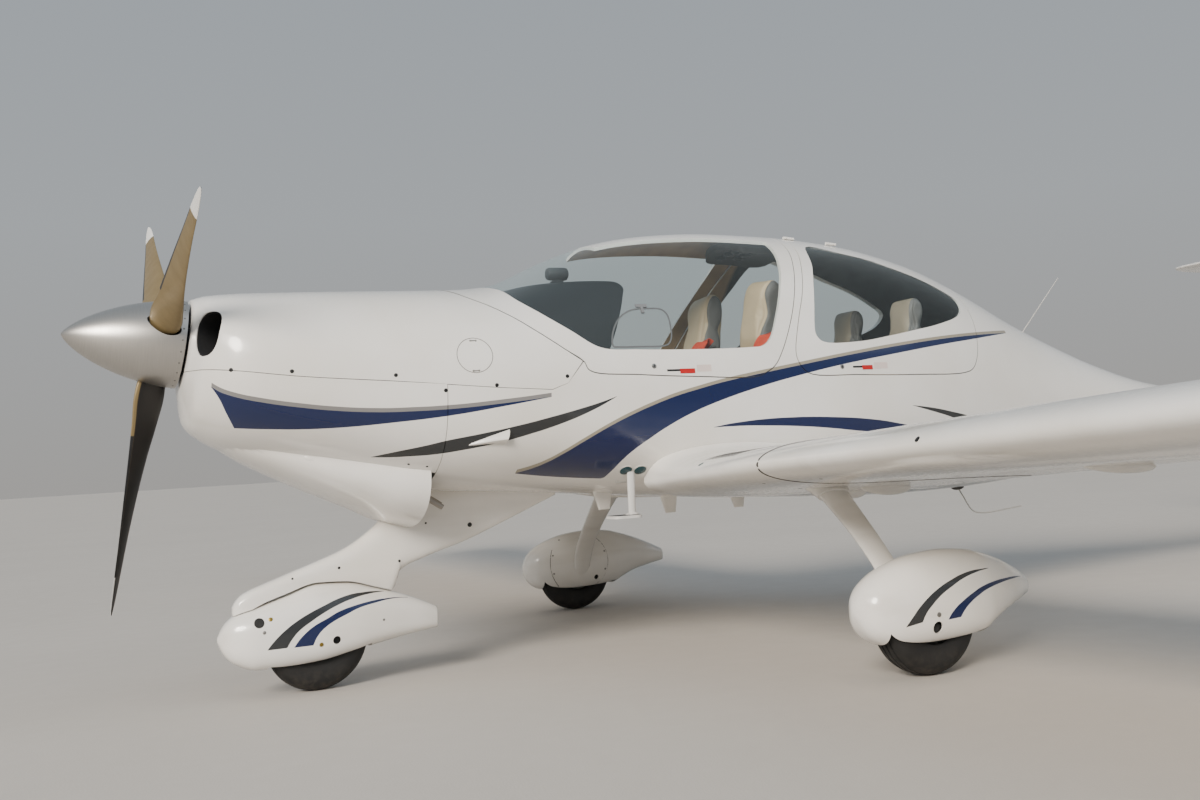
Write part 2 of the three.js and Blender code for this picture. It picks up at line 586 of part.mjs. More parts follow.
// The bullet where the fin meets the tailplane
const BULLET_SECTIONS = [
  { y: 7300, top: 1908, bottom: 1900, wide: 1904, half: 4 },
  { y: 7340, top: 1936, bottom: 1874, wide: 1904, half: 26 },
  { y: 7460, top: HEIGHT, bottom: 1850, wide: 1904, half: 44 },
  { y: 7620, top: 1966, bottom: 1850, wide: 1904, half: 44 },
  { y: 7770, top: 1938, bottom: 1860, wide: 1902, half: 30 },
].map((s) => ({ ...s, upper: 2, lower: 2 }));
const TAIL_REGION = { half: 200, front: 6000, back: 8400, low: 500, high: 2100 };

function rudderHingeY(z) {
  const { y0, z0, y1, z1 } = RUDDER_HINGE;
  return y0 + ((z - z0) / (z1 - z0)) * (y1 - y0);
}

// Cut the rudder out of the fin, and return the rudder and the fin with their hinges
function cutRudder(fin) {
  const { half, front, back, low, high } = TAIL_REGION;
  const behind = (bottom, top) => sidePrism([
    [rudderHingeY(bottom), bottom], [back, bottom], [back, top], [rudderHingeY(top), top],
  ], -half, half);
  const { low: noseLow, high: noseHigh, gap } = RUDDER_NOSE;
  const ends = [RUDDER_NOSE.from, RUDDER_NOSE.to].map((z) => [0, rudderHingeY(z), z]);
  const nose = rod(...ends, noseLow, noseHigh, LEG_SEGMENTS);
  const cove = rod(...ends, noseLow + gap, noseHigh + gap, LEG_SEGMENTS);
  const band = box(-half, half, front, back, RUDDER_BOTTOM, RUDDER_TOP);
  const rudder = largestPiece(fin.intersect(behind(RUDDER_BOTTOM, RUDDER_TOP)).add(fin.intersect(nose).intersect(band)));
  const rest = largestPiece(fin.subtract(behind(low, high)).subtract(cove));
  const axis = new THREE.Vector3(...ends[1]).sub(new THREE.Vector3(...ends[0])).normalize();
  const ahead = new THREE.Vector3(0, -axis.z, axis.y);
  return RUDDER_HINGES.reduce(([moving, fixed], z) => {
    const share = (z - RUDDER_NOSE.from) / (RUDDER_NOSE.to - RUDDER_NOSE.from);
    const radius = THREE.MathUtils.lerp(noseLow, noseHigh, share);
    return addHinge(moving, fixed, { at: new THREE.Vector3(0, rudderHingeY(z), z), axis, ahead }, radius, radius + gap + MOVING_GAP);
  }, [rudder, rest]);
}

function buildTail() {
  const { half, front, back, low, high } = TAIL_REGION;
  const [rudder, finRest] = cutRudder(loft(FIN_SECTIONS.map((s) => finRing(s, TAIL_STEPS))));
  // The fin's top falls away behind the elevator's hinge, to leave room for the elevator
  const underElevator = sidePrism([
    [front, low], [back, low], [back, FIN_TOP_DROP.low - FIN_TOP_DROP.backFall],
    [FIN_TOP_DROP.y + FIN_TOP_DROP.runOut, FIN_TOP_DROP.low],
    [FIN_TOP_DROP.y, FIN_TOP], [front, FIN_TOP],
  ], -half, half);
  const finBody = joined(finRest.intersect(underElevator), tableLoft(BULLET_SECTIONS, 0, BAR_SIDES));
  const port = TAIL_SECTIONS.map((s) => spanRing({ ...s, drop: TAIL_DROP }, TAIL_STEPS));
  const starboard = TAIL_SECTIONS.slice(1).reverse().map((s) => spanRing({ ...s, x: -s.x, drop: TAIL_DROP }, TAIL_STEPS));
  const tailplane = loft([...starboard, ...port]);
  const hingeZ = TAIL_Z - (ELEVATOR_HINGE_Y - TAIL_FRONT) * Math.sin(TAIL_DROP);
  const behindHinge = box(-TAIL_SPAN, TAIL_SPAN, ELEVATOR_HINGE_Y, back, TAIL_Z - half, TAIL_Z + half);
  const hingeRod = (reach, radius) => rod(
    [-TAIL_SPAN / 2 - reach, ELEVATOR_HINGE_Y, hingeZ], [TAIL_SPAN / 2 + reach, ELEVATOR_HINGE_Y, hingeZ], radius,
  );
  const cove = hingeRod(CONTROL_END_GAP, ELEVATOR_NOSE + MOVING_GAP + 1);
  const elevator = largestPiece(tailplane.intersect(behindHinge).add(tailplane.intersect(hingeRod(0, ELEVATOR_NOSE))));
  const plane = largestPiece(tailplane.subtract(behindHinge).subtract(cove));
  const axis = new THREE.Vector3(1, 0, 0);
  const ahead = new THREE.Vector3(0, -1, 0);
  const [hungElevator, hungPlane] = ELEVATOR_HINGES.reduce(([moving, fixed], x) => (
    addHinge(moving, fixed, { at: new THREE.Vector3(x, ELEVATOR_HINGE_Y, hingeZ), axis, ahead }, ELEVATOR_NOSE, ELEVATOR_ARM)
  ), [elevator, plane]);
  const saddle = joined(...[[0, SEAT], [0, -SEAT], [-SEAT, 0]].map(([dy, dz]) => tailplane.translate([0, dy, dz])))
    .intersect(box(-half, half, front, back, TAIL_Z - half, high));
  addNode('rudder', rudder, white);
  addNode('tailplane', hungPlane, white);
  addNode('elevator', hungElevator, white);
  return largestPiece(finBody.subtract(saddle).subtract(cove));
}

// Chin scoop under the lower cowling
const SCOOP_SECTIONS = [
  { y: 520, top: 900, bottom: 846, wide: 870, half: 110, upper: 2.4, lower: 2.6 },
  { y: 750, top: 880, bottom: 726, wide: 790, half: 205, upper: 2.4, lower: 2.6 },
  { y: 980, top: 860, bottom: 625, wide: 735, half: 290, upper: 2.4, lower: 2.5 },
  { y: 1090, top: 840, bottom: 574, wide: 732, half: 338, upper: 2.4, lower: 2.4 },
  { y: 1180, top: 820, bottom: 549, wide: 740, half: 363, upper: 2.4, lower: 2.3 },
];

// Air inlets in the nose bowl: place on the face and half sizes
const SIDE_INLET = { x: 268, y: 440, z: 1268, halfWidth: 62, halfHeight: 78, length: 260, turn: THREE.MathUtils.degToRad(24) };
const CHIN_INLET = { x: 0, y: 430, z: 985, halfWidth: 120, halfHeight: 48, length: 220, turn: 0 };

// The cowling's aft edge leaves more room near the top, where the canopy turns on its hinge
const COWL_AFT = CANOPY_FRONT.map(([y, z]) => [y - MOVING_GAP - Math.max(0, z - 1400) * 0.12, z]);
const COWL_BLOCK = { front: 250, top: 1800, split: 1160, low: 400, aftTop: 1255, sideAtFirewall: 1056 };
const COWL_NOTCH = { x: 45, half: 9, front: 1277, back: 1310, low: 1430, high: 1480 };
const COWL_EAR = { half: 4, front: 1240, low: 1436, high: 1446 };

function inletCutter({ x, y, z, halfWidth, halfHeight, length, turn }, side) {
  const geometry = new THREE.CylinderGeometry(1, 1, length, INLET_SIDES);
  geometry.scale(halfWidth, 1, halfHeight);
  geometry.rotateZ(side * turn);
  geometry.translate(side * x, y, z);
  return solid(geometry);
}

// A plate of the canopy that reaches down to the hinge pin and ends in an eye
function canopyHingePlate(x0, x1, y0, y1, z0, z1) {
  const { y, z, eye, pin } = CANOPY_HINGE;
  const eyeRod = rod([x0, y, z], [x1, y, z], eye, eye, SMALL_BAR_SIDES);
  const bore = rod([x0 - 1, y, z], [x1 + 1, y, z], pin + SEAT, pin + SEAT, SMALL_BAR_SIDES);
  return box(x0, x1, y0, y1, z0, z1).add(eyeRod).subtract(bore);
}

// The lower cowling's outline in side view, up to the split line less a gap
function lowerCowlOutline(gap) {
  const split = COWL_SPLIT.slice(0, 4).map(([y, z]) => [y, z - gap]);
  const { front, split: splitZ, low, sideAtFirewall } = COWL_BLOCK;
  const back = FIREWALL_Y - SEAT;
  return [[front, splitZ], ...split, [back, sideAtFirewall], [back, low], [front, low]];
}

function buildCowlings(shaftHole) {
  const { front, top, split, aftTop } = COWL_BLOCK;
  const upperRegion = sidePrism([[front, top], [front, split], ...COWL_SPLIT, ...COWL_AFT, [aftTop, top]], -WIDE, WIDE);
  const { y: hingeY, z: hingeZ, halfSpan, pin, eye } = CANOPY_HINGE;
  const hingePin = rod([-halfSpan, hingeY, hingeZ], [halfSpan, hingeY, hingeZ], pin, pin, SMALL_BAR_SIDES);
  const ears = [-1, 1].map((side) => {
    const x = side * (halfSpan - COWL_EAR.half);
    const [x0, x1] = [x - COWL_EAR.half, x + COWL_EAR.half];
    return box(x0, x1, COWL_EAR.front, hingeY, COWL_EAR.low, COWL_EAR.high)
      .add(rod([x0, hingeY, hingeZ], [x1, hingeY, hingeZ], eye, eye, SMALL_BAR_SIDES));
  });
  const openings = joined(inletCutter(SIDE_INLET, 1), inletCutter(SIDE_INLET, -1), inletCutter(CHIN_INLET, 1), shaftHole);
  const scoopVoid = tableLoft(SCOOP_SECTIONS.slice(1).map((s, i, all) => (
    i === all.length - 1 ? { ...s, y: s.y + 20 } : s)), COWL_WALL, SKIN_SEGMENTS);
  const upper = outerForm.subtract(cowlVoid).subtract(cowlDeckVoid).intersect(upperRegion).subtract(openings);
  const lower = outerForm.intersect(sidePrism(lowerCowlOutline(0), -WIDE, WIDE)).add(tableLoft(SCOOP_SECTIONS, 0, SKIN_SEGMENTS))
    .subtract(cowlVoid).subtract(scoopVoid).subtract(openings)
    .intersect(sidePrism(lowerCowlOutline(SEAT), -WIDE, WIDE));
  const notches = [-COWL_NOTCH.x, COWL_NOTCH.x].map((x) => (
    box(x - COWL_NOTCH.half, x + COWL_NOTCH.half, COWL_NOTCH.front, COWL_NOTCH.back, COWL_NOTCH.low, COWL_NOTCH.high)));
  addNode('upper_cowling', largestPiece(joined(upper.subtract(joined(...notches)), ...ears, hingePin)), white);
  addNode('lower_cowling', largestPiece(lower), white);
}

// Limits of the fuselage behind the cowlings
const BODY_BLOCK = { low: 300, high: 1900, back: 7600, roofY: 1900, bulkheadY: 1290, bulkheadZ: 1480 };
const VENTRAL = { outline: [[7050, 690], [7250, 470], [7330, 440], [7420, 450], [7500, 560], [7500, 700]], half: 16 };
// The door sweeps aft as it rises, so its leaning front edge needs more room towards the roof
const DOOR_SWING = { low: 1350, high: 1500, room: 8 };

function doorFrontGap(z) {
  return MOVING_GAP + DOOR_SWING.room * THREE.MathUtils.clamp((z - DOOR_SWING.low) / (DOOR_SWING.high - DOOR_SWING.low), 0, 1);
}

// Room for the foot of the rudder at the end of the tail cone
const RUDDER_ROOM = { from: [0, 7575, 620], to: [0, 7600, 720], radius: 60 };

function buildFuselage(fin) {
  const behindCowl = sidePrism([
    [FIREWALL_Y, BODY_BLOCK.low], [BODY_BLOCK.back, BODY_BLOCK.low], [BODY_BLOCK.back, BODY_BLOCK.high],
    [BODY_BLOCK.roofY, BODY_BLOCK.high], [BODY_BLOCK.bulkheadY, BODY_BLOCK.bulkheadZ],
    ...CANOPY_FRONT.slice().reverse().slice(1),
    ...COWL_SPLIT.slice(4).reverse().map(([y, z]) => [y, z - SEAT]),
    [FIREWALL_Y, COWL_BLOCK.sideAtFirewall - SEAT],
  ], -WIDE, WIDE);
  const body = outerForm.intersect(behindCowl).subtract(cabinVoid);
  const wideCanopy = sidePrism(canopyOutline(MOVING_GAP), -WIDE, WIDE);
  const doorHole = sidePrism([
    ...DOOR_FRONT.map(([y, z]) => [y - doorFrontGap(z), z]),
    ...DOOR_BOTTOM.map(([y, z]) => [y, z - MOVING_GAP]),
    ...DOOR_AFT.map(([y, z]) => [y + MOVING_GAP, z]),
  ], DOOR_INNER_X - MOVING_GAP, WIDE);
  const window = sidePrism(REAR_GLASS, -WIDE, -GLASS_INNER_X);
  const ventral = sidePrism(VENTRAL.outline, -VENTRAL.half, VENTRAL.half);
  const rudderRoom = rod(RUDDER_ROOM.from, RUDDER_ROOM.to, RUDDER_ROOM.radius, RUDDER_ROOM.radius, BAR_SIDES);
  const firewall = fuselageLoft(FIREWALL_Y, FIREWALL_Y + CABIN_WALL, () => COWL_WALL + SEAT);
  const shell = joined(body, firewall, ventral.subtract(cabinVoid), fin.subtract(cabinVoid))
    .subtract(wideCanopy).subtract(doorHole).subtract(window).subtract(rudderRoom);
  const roofHinges = DOOR_HINGE_STATIONS.flatMap((y) => [
    ...[-1, 1].map((end) => doorKnuckle(y + end * DOOR_HINGE.outerShift, DOOR_HINGE.x - DOOR_LEAF, DOOR_HINGE.eye)),
    doorHingeBar(y, DOOR_HINGE.outerShift + DOOR_HINGE.eye, DOOR_HINGE.pin),
  ]);
  addNode('fuselage', largestPiece(joined(shell, ...roofHinges)), white);
}

// Propeller

const shaftDirection = new THREE.Vector3(0, Math.cos(SHAFT_TILT), -Math.sin(SHAFT_TILT));

function shaftPoint(along) {
  return [0, shaftDirection.y * along, SPINNER_TIP_Z + shaftDirection.z * along];
}

function spinnerSolid(grow) {
  const steps = 8;
  const profile = [new THREE.Vector2(0, -grow)];
  for (let k = 1; k <= steps; k += 1) {
    const t = k / steps;
    profile.push(new THREE.Vector2(grow + SPINNER_RADIUS * (1 - (1 - t) ** 1.75) ** 0.72, t * SPINNER_LENGTH));
  }
  profile.push(new THREE.Vector2(SPINNER_RADIUS + grow, SPINNER_LENGTH + grow));
  profile.push(new THREE.Vector2(0, SPINNER_LENGTH + grow));
  const geometry = new THREE.LatheGeometry(profile, 26);
  geometry.rotateX(-SHAFT_TILT);
  geometry.translate(0, 0, SPINNER_TIP_Z);
  return solid(geometry);
}

// Blade stations: radius, chord, thickness, pitch from the disc and how far the chord's middle lies behind the axis
const BLADE_STATIONS = [
  { r: 90, chord: 70, thick: 58, pitch: 68, sweep: 18 },
  { r: 160, chord: 112, thick: 44, pitch: 62, sweep: 22 },
  { r: 210, chord: 120, thick: 36, pitch: 58, sweep: 22 },
  { r: 290, chord: 108, thick: 28, pitch: 53, sweep: 21 },
  { r: 410, chord: 93, thick: 20, pitch: 41, sweep: 17 },
  { r: 560, chord: 76, thick: 14, pitch: 33, sweep: 11 },
  { r: 710, chord: 54, thick: 10, pitch: 28, sweep: 6 },
  { r: 860, chord: 36, thick: 7, pitch: 25, sweep: 2 },
  { r: PROP_RADIUS, chord: 14, thick: 4, pitch: 24, sweep: 0 },
];
const BLADE_ANGLES = [66, -54, 186];
const BLADE_SEGMENTS = 14;

function bladeSolid(angleDeg) {
  const rings = BLADE_STATIONS.map(({ r, chord, thick, pitch, sweep }) => {
    const turn = THREE.MathUtils.degToRad(pitch);
    const ring = [];
    for (let k = 0; k < BLADE_SEGMENTS; k += 1) {
      const a = (2 * Math.PI * k) / BLADE_SEGMENTS;
      const u = sweep + (chord / 2) * Math.cos(a);
      const v = (thick / 2) * Math.sin(a) * (1 + 0.25 * Math.cos(a));
      ring.push([u * Math.cos(turn) - v * Math.sin(turn), u * Math.sin(turn) + v * Math.cos(turn), r]);
    }
    return ring;
  });
  const blade = loft(rings);
  const spin = new THREE.Matrix4().makeRotationY(THREE.MathUtils.degToRad(angleDeg));
  const tilt = new THREE.Matrix4().makeRotationX(-SHAFT_TILT);
  const [x, y, z] = shaftPoint(HUB_STATION);
  const place = new THREE.Matrix4().makeTranslation(x, y, z).multiply(tilt).multiply(spin);
  return blade.transform(place.toArray());
}

// The shaft ends at the boss of the engine block, which stands on four feet at the firewall
const SHAFT = { start: 376, end: 552, radius: 32, boss: 52, bossEnd: 600, holeFrom: 380, holeTo: 520, hole: 70 };
const ENGINE = { halfWidth: 200, front: 563, back: 1150, low: 900, high: 1300 };
const ENGINE_FEET = { x: 150, z: [940, 1260], radius: 16, from: 1140 };

function buildPropeller() {
  const shaft = rod(shaftPoint(SHAFT.start), shaftPoint(SHAFT.end), SHAFT.radius, SHAFT.radius, BAR_SIDES);
  addNode('spinner', joined(spinnerSolid(0), shaft), silver);
  const clear = spinnerSolid(SEAT);
  BLADE_ANGLES.forEach((angle, i) => {
    addNode(`blade_${i + 1}`, largestPiece(bladeSolid(angle).subtract(clear)), bronze);
  });
  const feet = [-ENGINE_FEET.x, ENGINE_FEET.x].flatMap((x) => ENGINE_FEET.z.map((z) => (
    rod([x, ENGINE_FEET.from, z], [x, FIREWALL_Y - SEAT, z], ENGINE_FEET.radius, ENGINE_FEET.radius, SMALL_BAR_SIDES))));
  const block = box(-ENGINE.halfWidth, ENGINE.halfWidth, ENGINE.front, ENGINE.back, ENGINE.low, ENGINE.high);
  const boss = rod(shaftPoint(SHAFT.end + SEAT), shaftPoint(SHAFT.bossEnd), SHAFT.boss, SHAFT.boss, BAR_SIDES);
  addNode('engine_block', joined(block, boss, ...feet), iron);
  return rod(shaftPoint(SHAFT.holeFrom), shaftPoint(SHAFT.holeTo), SHAFT.hole, SHAFT.hole, INLET_SIDES);
}

// Wheels: turned rings about the axle, with a vertex at the lowest point
function turned(profile, sides) {
  const geometry = new THREE.LatheGeometry(profile.map(([r, w]) => new THREE.Vector2(r, w)), sides);
  geometry.rotateZ(-Math.PI / 2);
  return geometry;
}

function addWheel(name, x, y, radius, halfWidth, rimRadius, axleRadius) {
  const sides = 24;
  const shoulder = radius - halfWidth * 0.45;
  const side = rimRadius + (radius - rimRadius) * 0.45;
  const tyreProfile = [
    [rimRadius + SEAT, -halfWidth * 0.72], [side, -halfWidth], [shoulder, -halfWidth * 0.96],
    [radius, -halfWidth * 0.38], [radius, halfWidth * 0.38],
    [shoulder, halfWidth * 0.96], [side, halfWidth], [rimRadius + SEAT, halfWidth * 0.72],
  ];
  const rimProfile = [
    [axleRadius + SEAT, -halfWidth * 0.6], [rimRadius * 0.5, -halfWidth * 0.6], [rimRadius * 0.7, -halfWidth * 0.35],
    [rimRadius, -halfWidth * 0.7], [rimRadius, halfWidth * 0.7], [rimRadius * 0.7, halfWidth * 0.35],
    [rimRadius * 0.5, halfWidth * 0.6], [axleRadius + SEAT, halfWidth * 0.6],
  ];
  for (const [part, profile, material] of [['tyre', tyreProfile, black], ['rim', rimProfile, silver]]) {
    const geometry = turned([...profile, profile[0]], sides);
    geometry.translate(x, y, radius);
    addNode(`${name}_${part}`, solid(geometry), material);
  }
}

// Nose wheel fairing, squared off at its tail
const NOSE_FAIRING = [
  { y: 513, top: 222, bottom: 206, wide: 214, half: 8 },
  { y: 530, top: 256, bottom: 165, wide: 212, half: 40 },
  { y: 570, top: 292, bottom: 124, wide: 208, half: 72 },
  { y: 640, top: 314, bottom: 97, wide: 200, half: 98 },
  { y: 740, top: 345, bottom: 94, wide: 196, half: 110 },
  { y: 850, top: 377, bottom: 100, wide: 196, half: 112 },
  { y: 960, top: 371, bottom: 118, wide: 204, half: 104 },
  { y: 1060, top: 342, bottom: 137, wide: 212, half: 88 },
  { y: 1160, top: 308, bottom: 153, wide: 216, half: 66 },
  { y: 1250, top: 270, bottom: 164, wide: 213, half: 44 },
  { y: 1297, top: 246, bottom: 169, wide: 208, half: 28 },
].map((s) => ({ ...s, upper: 2.5, lower: 3.0 }));

// Nose leg: a rounded arm from the fork's post back to the firewall
const NOSE_LEG = [
  { y: 562, top: 322, bottom: 305, half: 16 },
  { y: 572, top: 340, bottom: 304, half: 28 },
  { y: 592, top: 360, bottom: 312, half: 36 },
  { y: 620, top: 374, bottom: 323, half: 41 },
  { y: 665, top: 390, bottom: 331, half: 44 },
  { y: 700, top: 402, bottom: 342, half: 46 },
  { y: 768, top: 425, bottom: 366, half: 47 },
  { y: 850, top: 452, bottom: 385, half: 48 },
  { y: 960, top: 494, bottom: 380, half: 49 },
  { y: 1060, top: 560, bottom: 352, half: 50 },
  { y: 1124, top: 625, bottom: 334, half: 50 },
  { y: 1150, top: 652, bottom: 388, half: 50 },
  { y: 1249, top: 720, bottom: 431, half: 47 },
  { y: 1418, top: 720, bottom: 482, half: 42 },
  { y: 1603, top: 720, bottom: 553, half: 36 },
  { y: 1790, top: 720, bottom: 628, half: 28 },
].map((s) => ({ ...s, wide: (s.top + s.bottom) / 2, upper: 2.6, lower: 2.6 }));

const CASTER = { y: 665, crownLow: 282, crownHigh: 302, foot: 290, seatZ: 331, top: 400, postRadius: 18 };
const FORK = { armX: 72, armHalf: 4.5, front: 646, back: 688, axleRadius: 9, tip: [834, 866], tipLow: 162, tipHigh: 192 };
const NOSE_WELL = { halfWidth: 72, halfLength: 182, top: 190 };
const NOSE_TYRE = { halfWidth: 60, rim: 68 };

function buildNoseGear(lowerBody) {
  const leg = tableLoft(NOSE_LEG, 0, FAIRING_SEGMENTS).subtract(lowerBody);
  // A flat seat under the leg, where the fork's post turns
  const seat = rod([0, CASTER.y, 0], [0, CASTER.y, CASTER.seatZ], 2 * CASTER.postRadius, 2 * CASTER.postRadius, BAR_SIDES);
  addNode('nose_leg', largestPiece(leg.subtract(seat)), white);
  const inner = NOSE_FAIRING.slice(1, -1);
  const outer = tableLoft(NOSE_FAIRING, 0, FAIRING_SEGMENTS);
  const hollow = tableLoft(inner, FAIRING_WALL, FAIRING_VOID_SEGMENTS);
  const wheelWell = box(
    -NOSE_WELL.halfWidth, NOSE_WELL.halfWidth,
    NOSE_AXLE_Y - NOSE_WELL.halfLength, NOSE_AXLE_Y + NOSE_WELL.halfLength, 0, NOSE_WELL.top,
  );
  const caster = (from, to, radius) => rod([0, CASTER.y, from], [0, CASTER.y, to], radius, radius, BAR_SIDES);
  const { armX, armHalf, front, back, axleRadius } = FORK;
  const axle = rod([-armX, NOSE_AXLE_Y, NOSE_TYRE_RADIUS], [armX, NOSE_AXLE_Y, NOSE_TYRE_RADIUS], axleRadius);
  const [tipFront, tipBack] = FORK.tip;
  const arms = [-armX, armX].map((x) => sidePrism([
    [front, CASTER.crownHigh], [front, CASTER.crownLow - 6], [tipFront, FORK.tipLow], [tipBack, FORK.tipLow],
    [tipBack + 2, FORK.tipHigh], [back, CASTER.crownHigh],
  ], x - armHalf, x + armHalf));
  const crown = box(-armX - armHalf, armX + armHalf, front, back, CASTER.crownLow, CASTER.crownHigh);
  const post = caster(CASTER.foot, CASTER.seatZ - SEAT, CASTER.postRadius);
  const inWell = tableLoft(inner, FAIRING_WALL + SEAT, FAIRING_VOID_SEGMENTS);
  addNode('nose_fork', largestPiece(joined(crown, axle, ...arms).intersect(inWell).add(post)), steel);
  const postHole = caster(CASTER.foot, CASTER.top, CASTER.postRadius + 3);
  addNode('nose_fairing', largestPiece(outer.subtract(hollow).subtract(wheelWell).subtract(postHole)), white);
  addWheel('nose_wheel', 0, NOSE_AXLE_Y, NOSE_TYRE_RADIUS, NOSE_TYRE.halfWidth, NOSE_TYRE.rim, axleRadius);
}

// Main wheel fairing, whose tail turns a little inboard
const MAIN_FAIRING = [
  { y: 2205, top: 244, bottom: 220, wide: 232, half: 10, x0: 1485 },
  { y: 2222, top: 280, bottom: 174, wide: 230, half: 48, x0: 1485 },
  { y: 2262, top: 320, bottom: 131, wide: 228, half: 84, x0: 1485 },
  { y: 2335, top: 357, bottom: 103, wide: 228, half: 108, x0: 1485 },
  { y: 2450, top: 386, bottom: 98, wide: 228, half: 123, x0: 1485 },
  { y: 2560, top: 394, bottom: 102, wide: 230, half: 126, x0: 1485 },
  { y: 2680, top: 384, bottom: 113, wide: 235, half: 117, x0: 1484 },
  { y: 2730, top: 371, bottom: 136, wide: 240, half: 108, x0: 1481 },
  { y: 2800, top: 348, bottom: 166, wide: 244, half: 91, x0: 1474 },
  { y: 2900, top: 304, bottom: 191, wide: 244, half: 60, x0: 1455 },
  { y: 2968, top: 268, bottom: 205, wide: 237, half: 32, x0: 1437 },
].map((s) => ({ ...s, upper: 2.2, lower: 3.0 }));
const MAIN_WELL = { halfWidth: 86, halfLength: 197, top: 200 };
const MAIN_TYRE = { halfWidth: 76, rim: 80 };
const MAIN_AXLE = { from: 1381, to: 1550, radius: 14 };

// Main leg: place across the span, height, half chord and half thickness
const LEG_STATIONS = [
  { x: 872, z: 690, chord: 92, thick: 32 },
  { x: 960, z: 622, chord: 71, thick: 24 },
  { x: 1235, z: 402, chord: 50, thick: 18 },
  { x: 1330, z: 300, chord: 48, thick: 16 },
  { x: 1382, z: 168, chord: 38, thick: 13 },
];
const LEG_Y = 2480;

function legLoft(grow) {
  return loft(LEG_STATIONS.map(({ x, z, chord, thick }, i) => {
    const before = LEG_STATIONS[Math.max(0, i - 1)];
    const after = LEG_STATIONS[Math.min(LEG_STATIONS.length - 1, i + 1)];
    const along = new THREE.Vector2(after.x - before.x, after.z - before.z).normalize();
    const ring = [];
    for (let k = 0; k < LEG_SEGMENTS; k += 1) {
      const a = (2 * Math.PI * k) / LEG_SEGMENTS;
      const u = (chord + grow) * Math.cos(a);
      const v = (thick + grow) * Math.sin(a);
      ring.push([x - v * along.y, LEG_Y + u, z + v * along.x]);
    }
    return ring;
  }));
}

function buildMainGear(lowerBody) {
  const { from, to, radius } = MAIN_AXLE;
  const axle = rod([from, MAIN_AXLE_Y, MAIN_TYRE_RADIUS], [to, MAIN_AXLE_Y, MAIN_TYRE_RADIUS], radius);
  const leg = largestPiece(legLoft(0).subtract(lowerBody)).add(axle);
  const outer = tableLoft(MAIN_FAIRING, 0, FAIRING_SEGMENTS);
  const hollow = tableLoft(MAIN_FAIRING.slice(1, -1), FAIRING_WALL, FAIRING_VOID_SEGMENTS);
  const wheelWell = box(
    MAIN_WHEEL_X - MAIN_WELL.halfWidth, MAIN_WHEEL_X + MAIN_WELL.halfWidth,
    MAIN_AXLE_Y - MAIN_WELL.halfLength, MAIN_AXLE_Y + MAIN_WELL.halfLength, 0, MAIN_WELL.top,
  );
  const fairing = largestPiece(outer.subtract(hollow).subtract(wheelWell).subtract(legLoft(2 * SEAT)).subtract(leg));
  for (const [side, sign, flip] of [['left', 1, (body) => body], ['right', -1, mirrored]]) {
    addNode(`main_leg_${side}`, flip(leg), white);
    addNode(`main_fairing_${side}`, flip(fairing), white);
    addWheel(
      `main_wheel_${side}`, sign * MAIN_WHEEL_X, MAIN_AXLE_Y, MAIN_TYRE_RADIUS, MAIN_TYRE.halfWidth, MAIN_TYRE.rim, radius,
    );
  }
}

// Cabin: side views of each seat's pieces as [station, height], with their half widths
const PANEL = { half: 600, low: [[1480, 900], [1480, 1035], [1800, 1035], [1800, 900]],
  high: [[1500, 1000], [1500, 1425], [1560, 1447], [1640, 1458], [1900, 1458], [1955, 1448], [1962, 1425], [1820, 1130],
    [1790, 1000]] };
const FRONT_SEAT = {
  x: 262,
  cushion: { half: 225, side: [[2110, 560], [2110, 800], [2160, 830], [2430, 790], [2480, 800], [2560, 560]] },
  back: { half: 220, side: [[2430, 780], [2570, 1190], [2660, 1180], [2560, 780]] },
  head: { half: 110, side: [[2590, 1150], [2650, 1500], [2740, 1490], [2700, 1150]] },
  foot: { half: 150, side: [[2130, 500], [2130, 720], [2530, 720], [2530, 500]] },
};
const REAR_SEAT = {
  x: 235,
  cushion: { half: 480, side: [[2830, 500], [2830, 800], [2880, 830], [3250, 790], [3330, 800], [3480, 500]] },
  back: { half: 440, side: [[3260, 780], [3400, 1190], [3500, 1180], [3420, 780]] },
  head: { half: 110, side: [[3410, 1150], [3430, 1420], [3520, 1410], [3500, 1150]] },
  foot: { half: 300, side: [[2860, 480], [2860, 720], [3400, 720], [3400, 480]] },
};
const STICK = {
  grip: [2045, 1040], neck: [2045, 928], root: [2062, 640], base: [2030, 2090, 600, 700],
  tube: [11, 10], handle: [19, 17], baseHalf: 40,
};
// Room between the cabin's walls and the upholstery, and between them and the panel's hood
const TRIM_GAP = 12;
const HOOD_GAP = 38;

function seatPiece({ half, side }, x) {
  return sidePrism(side, x - half, x + half);
}

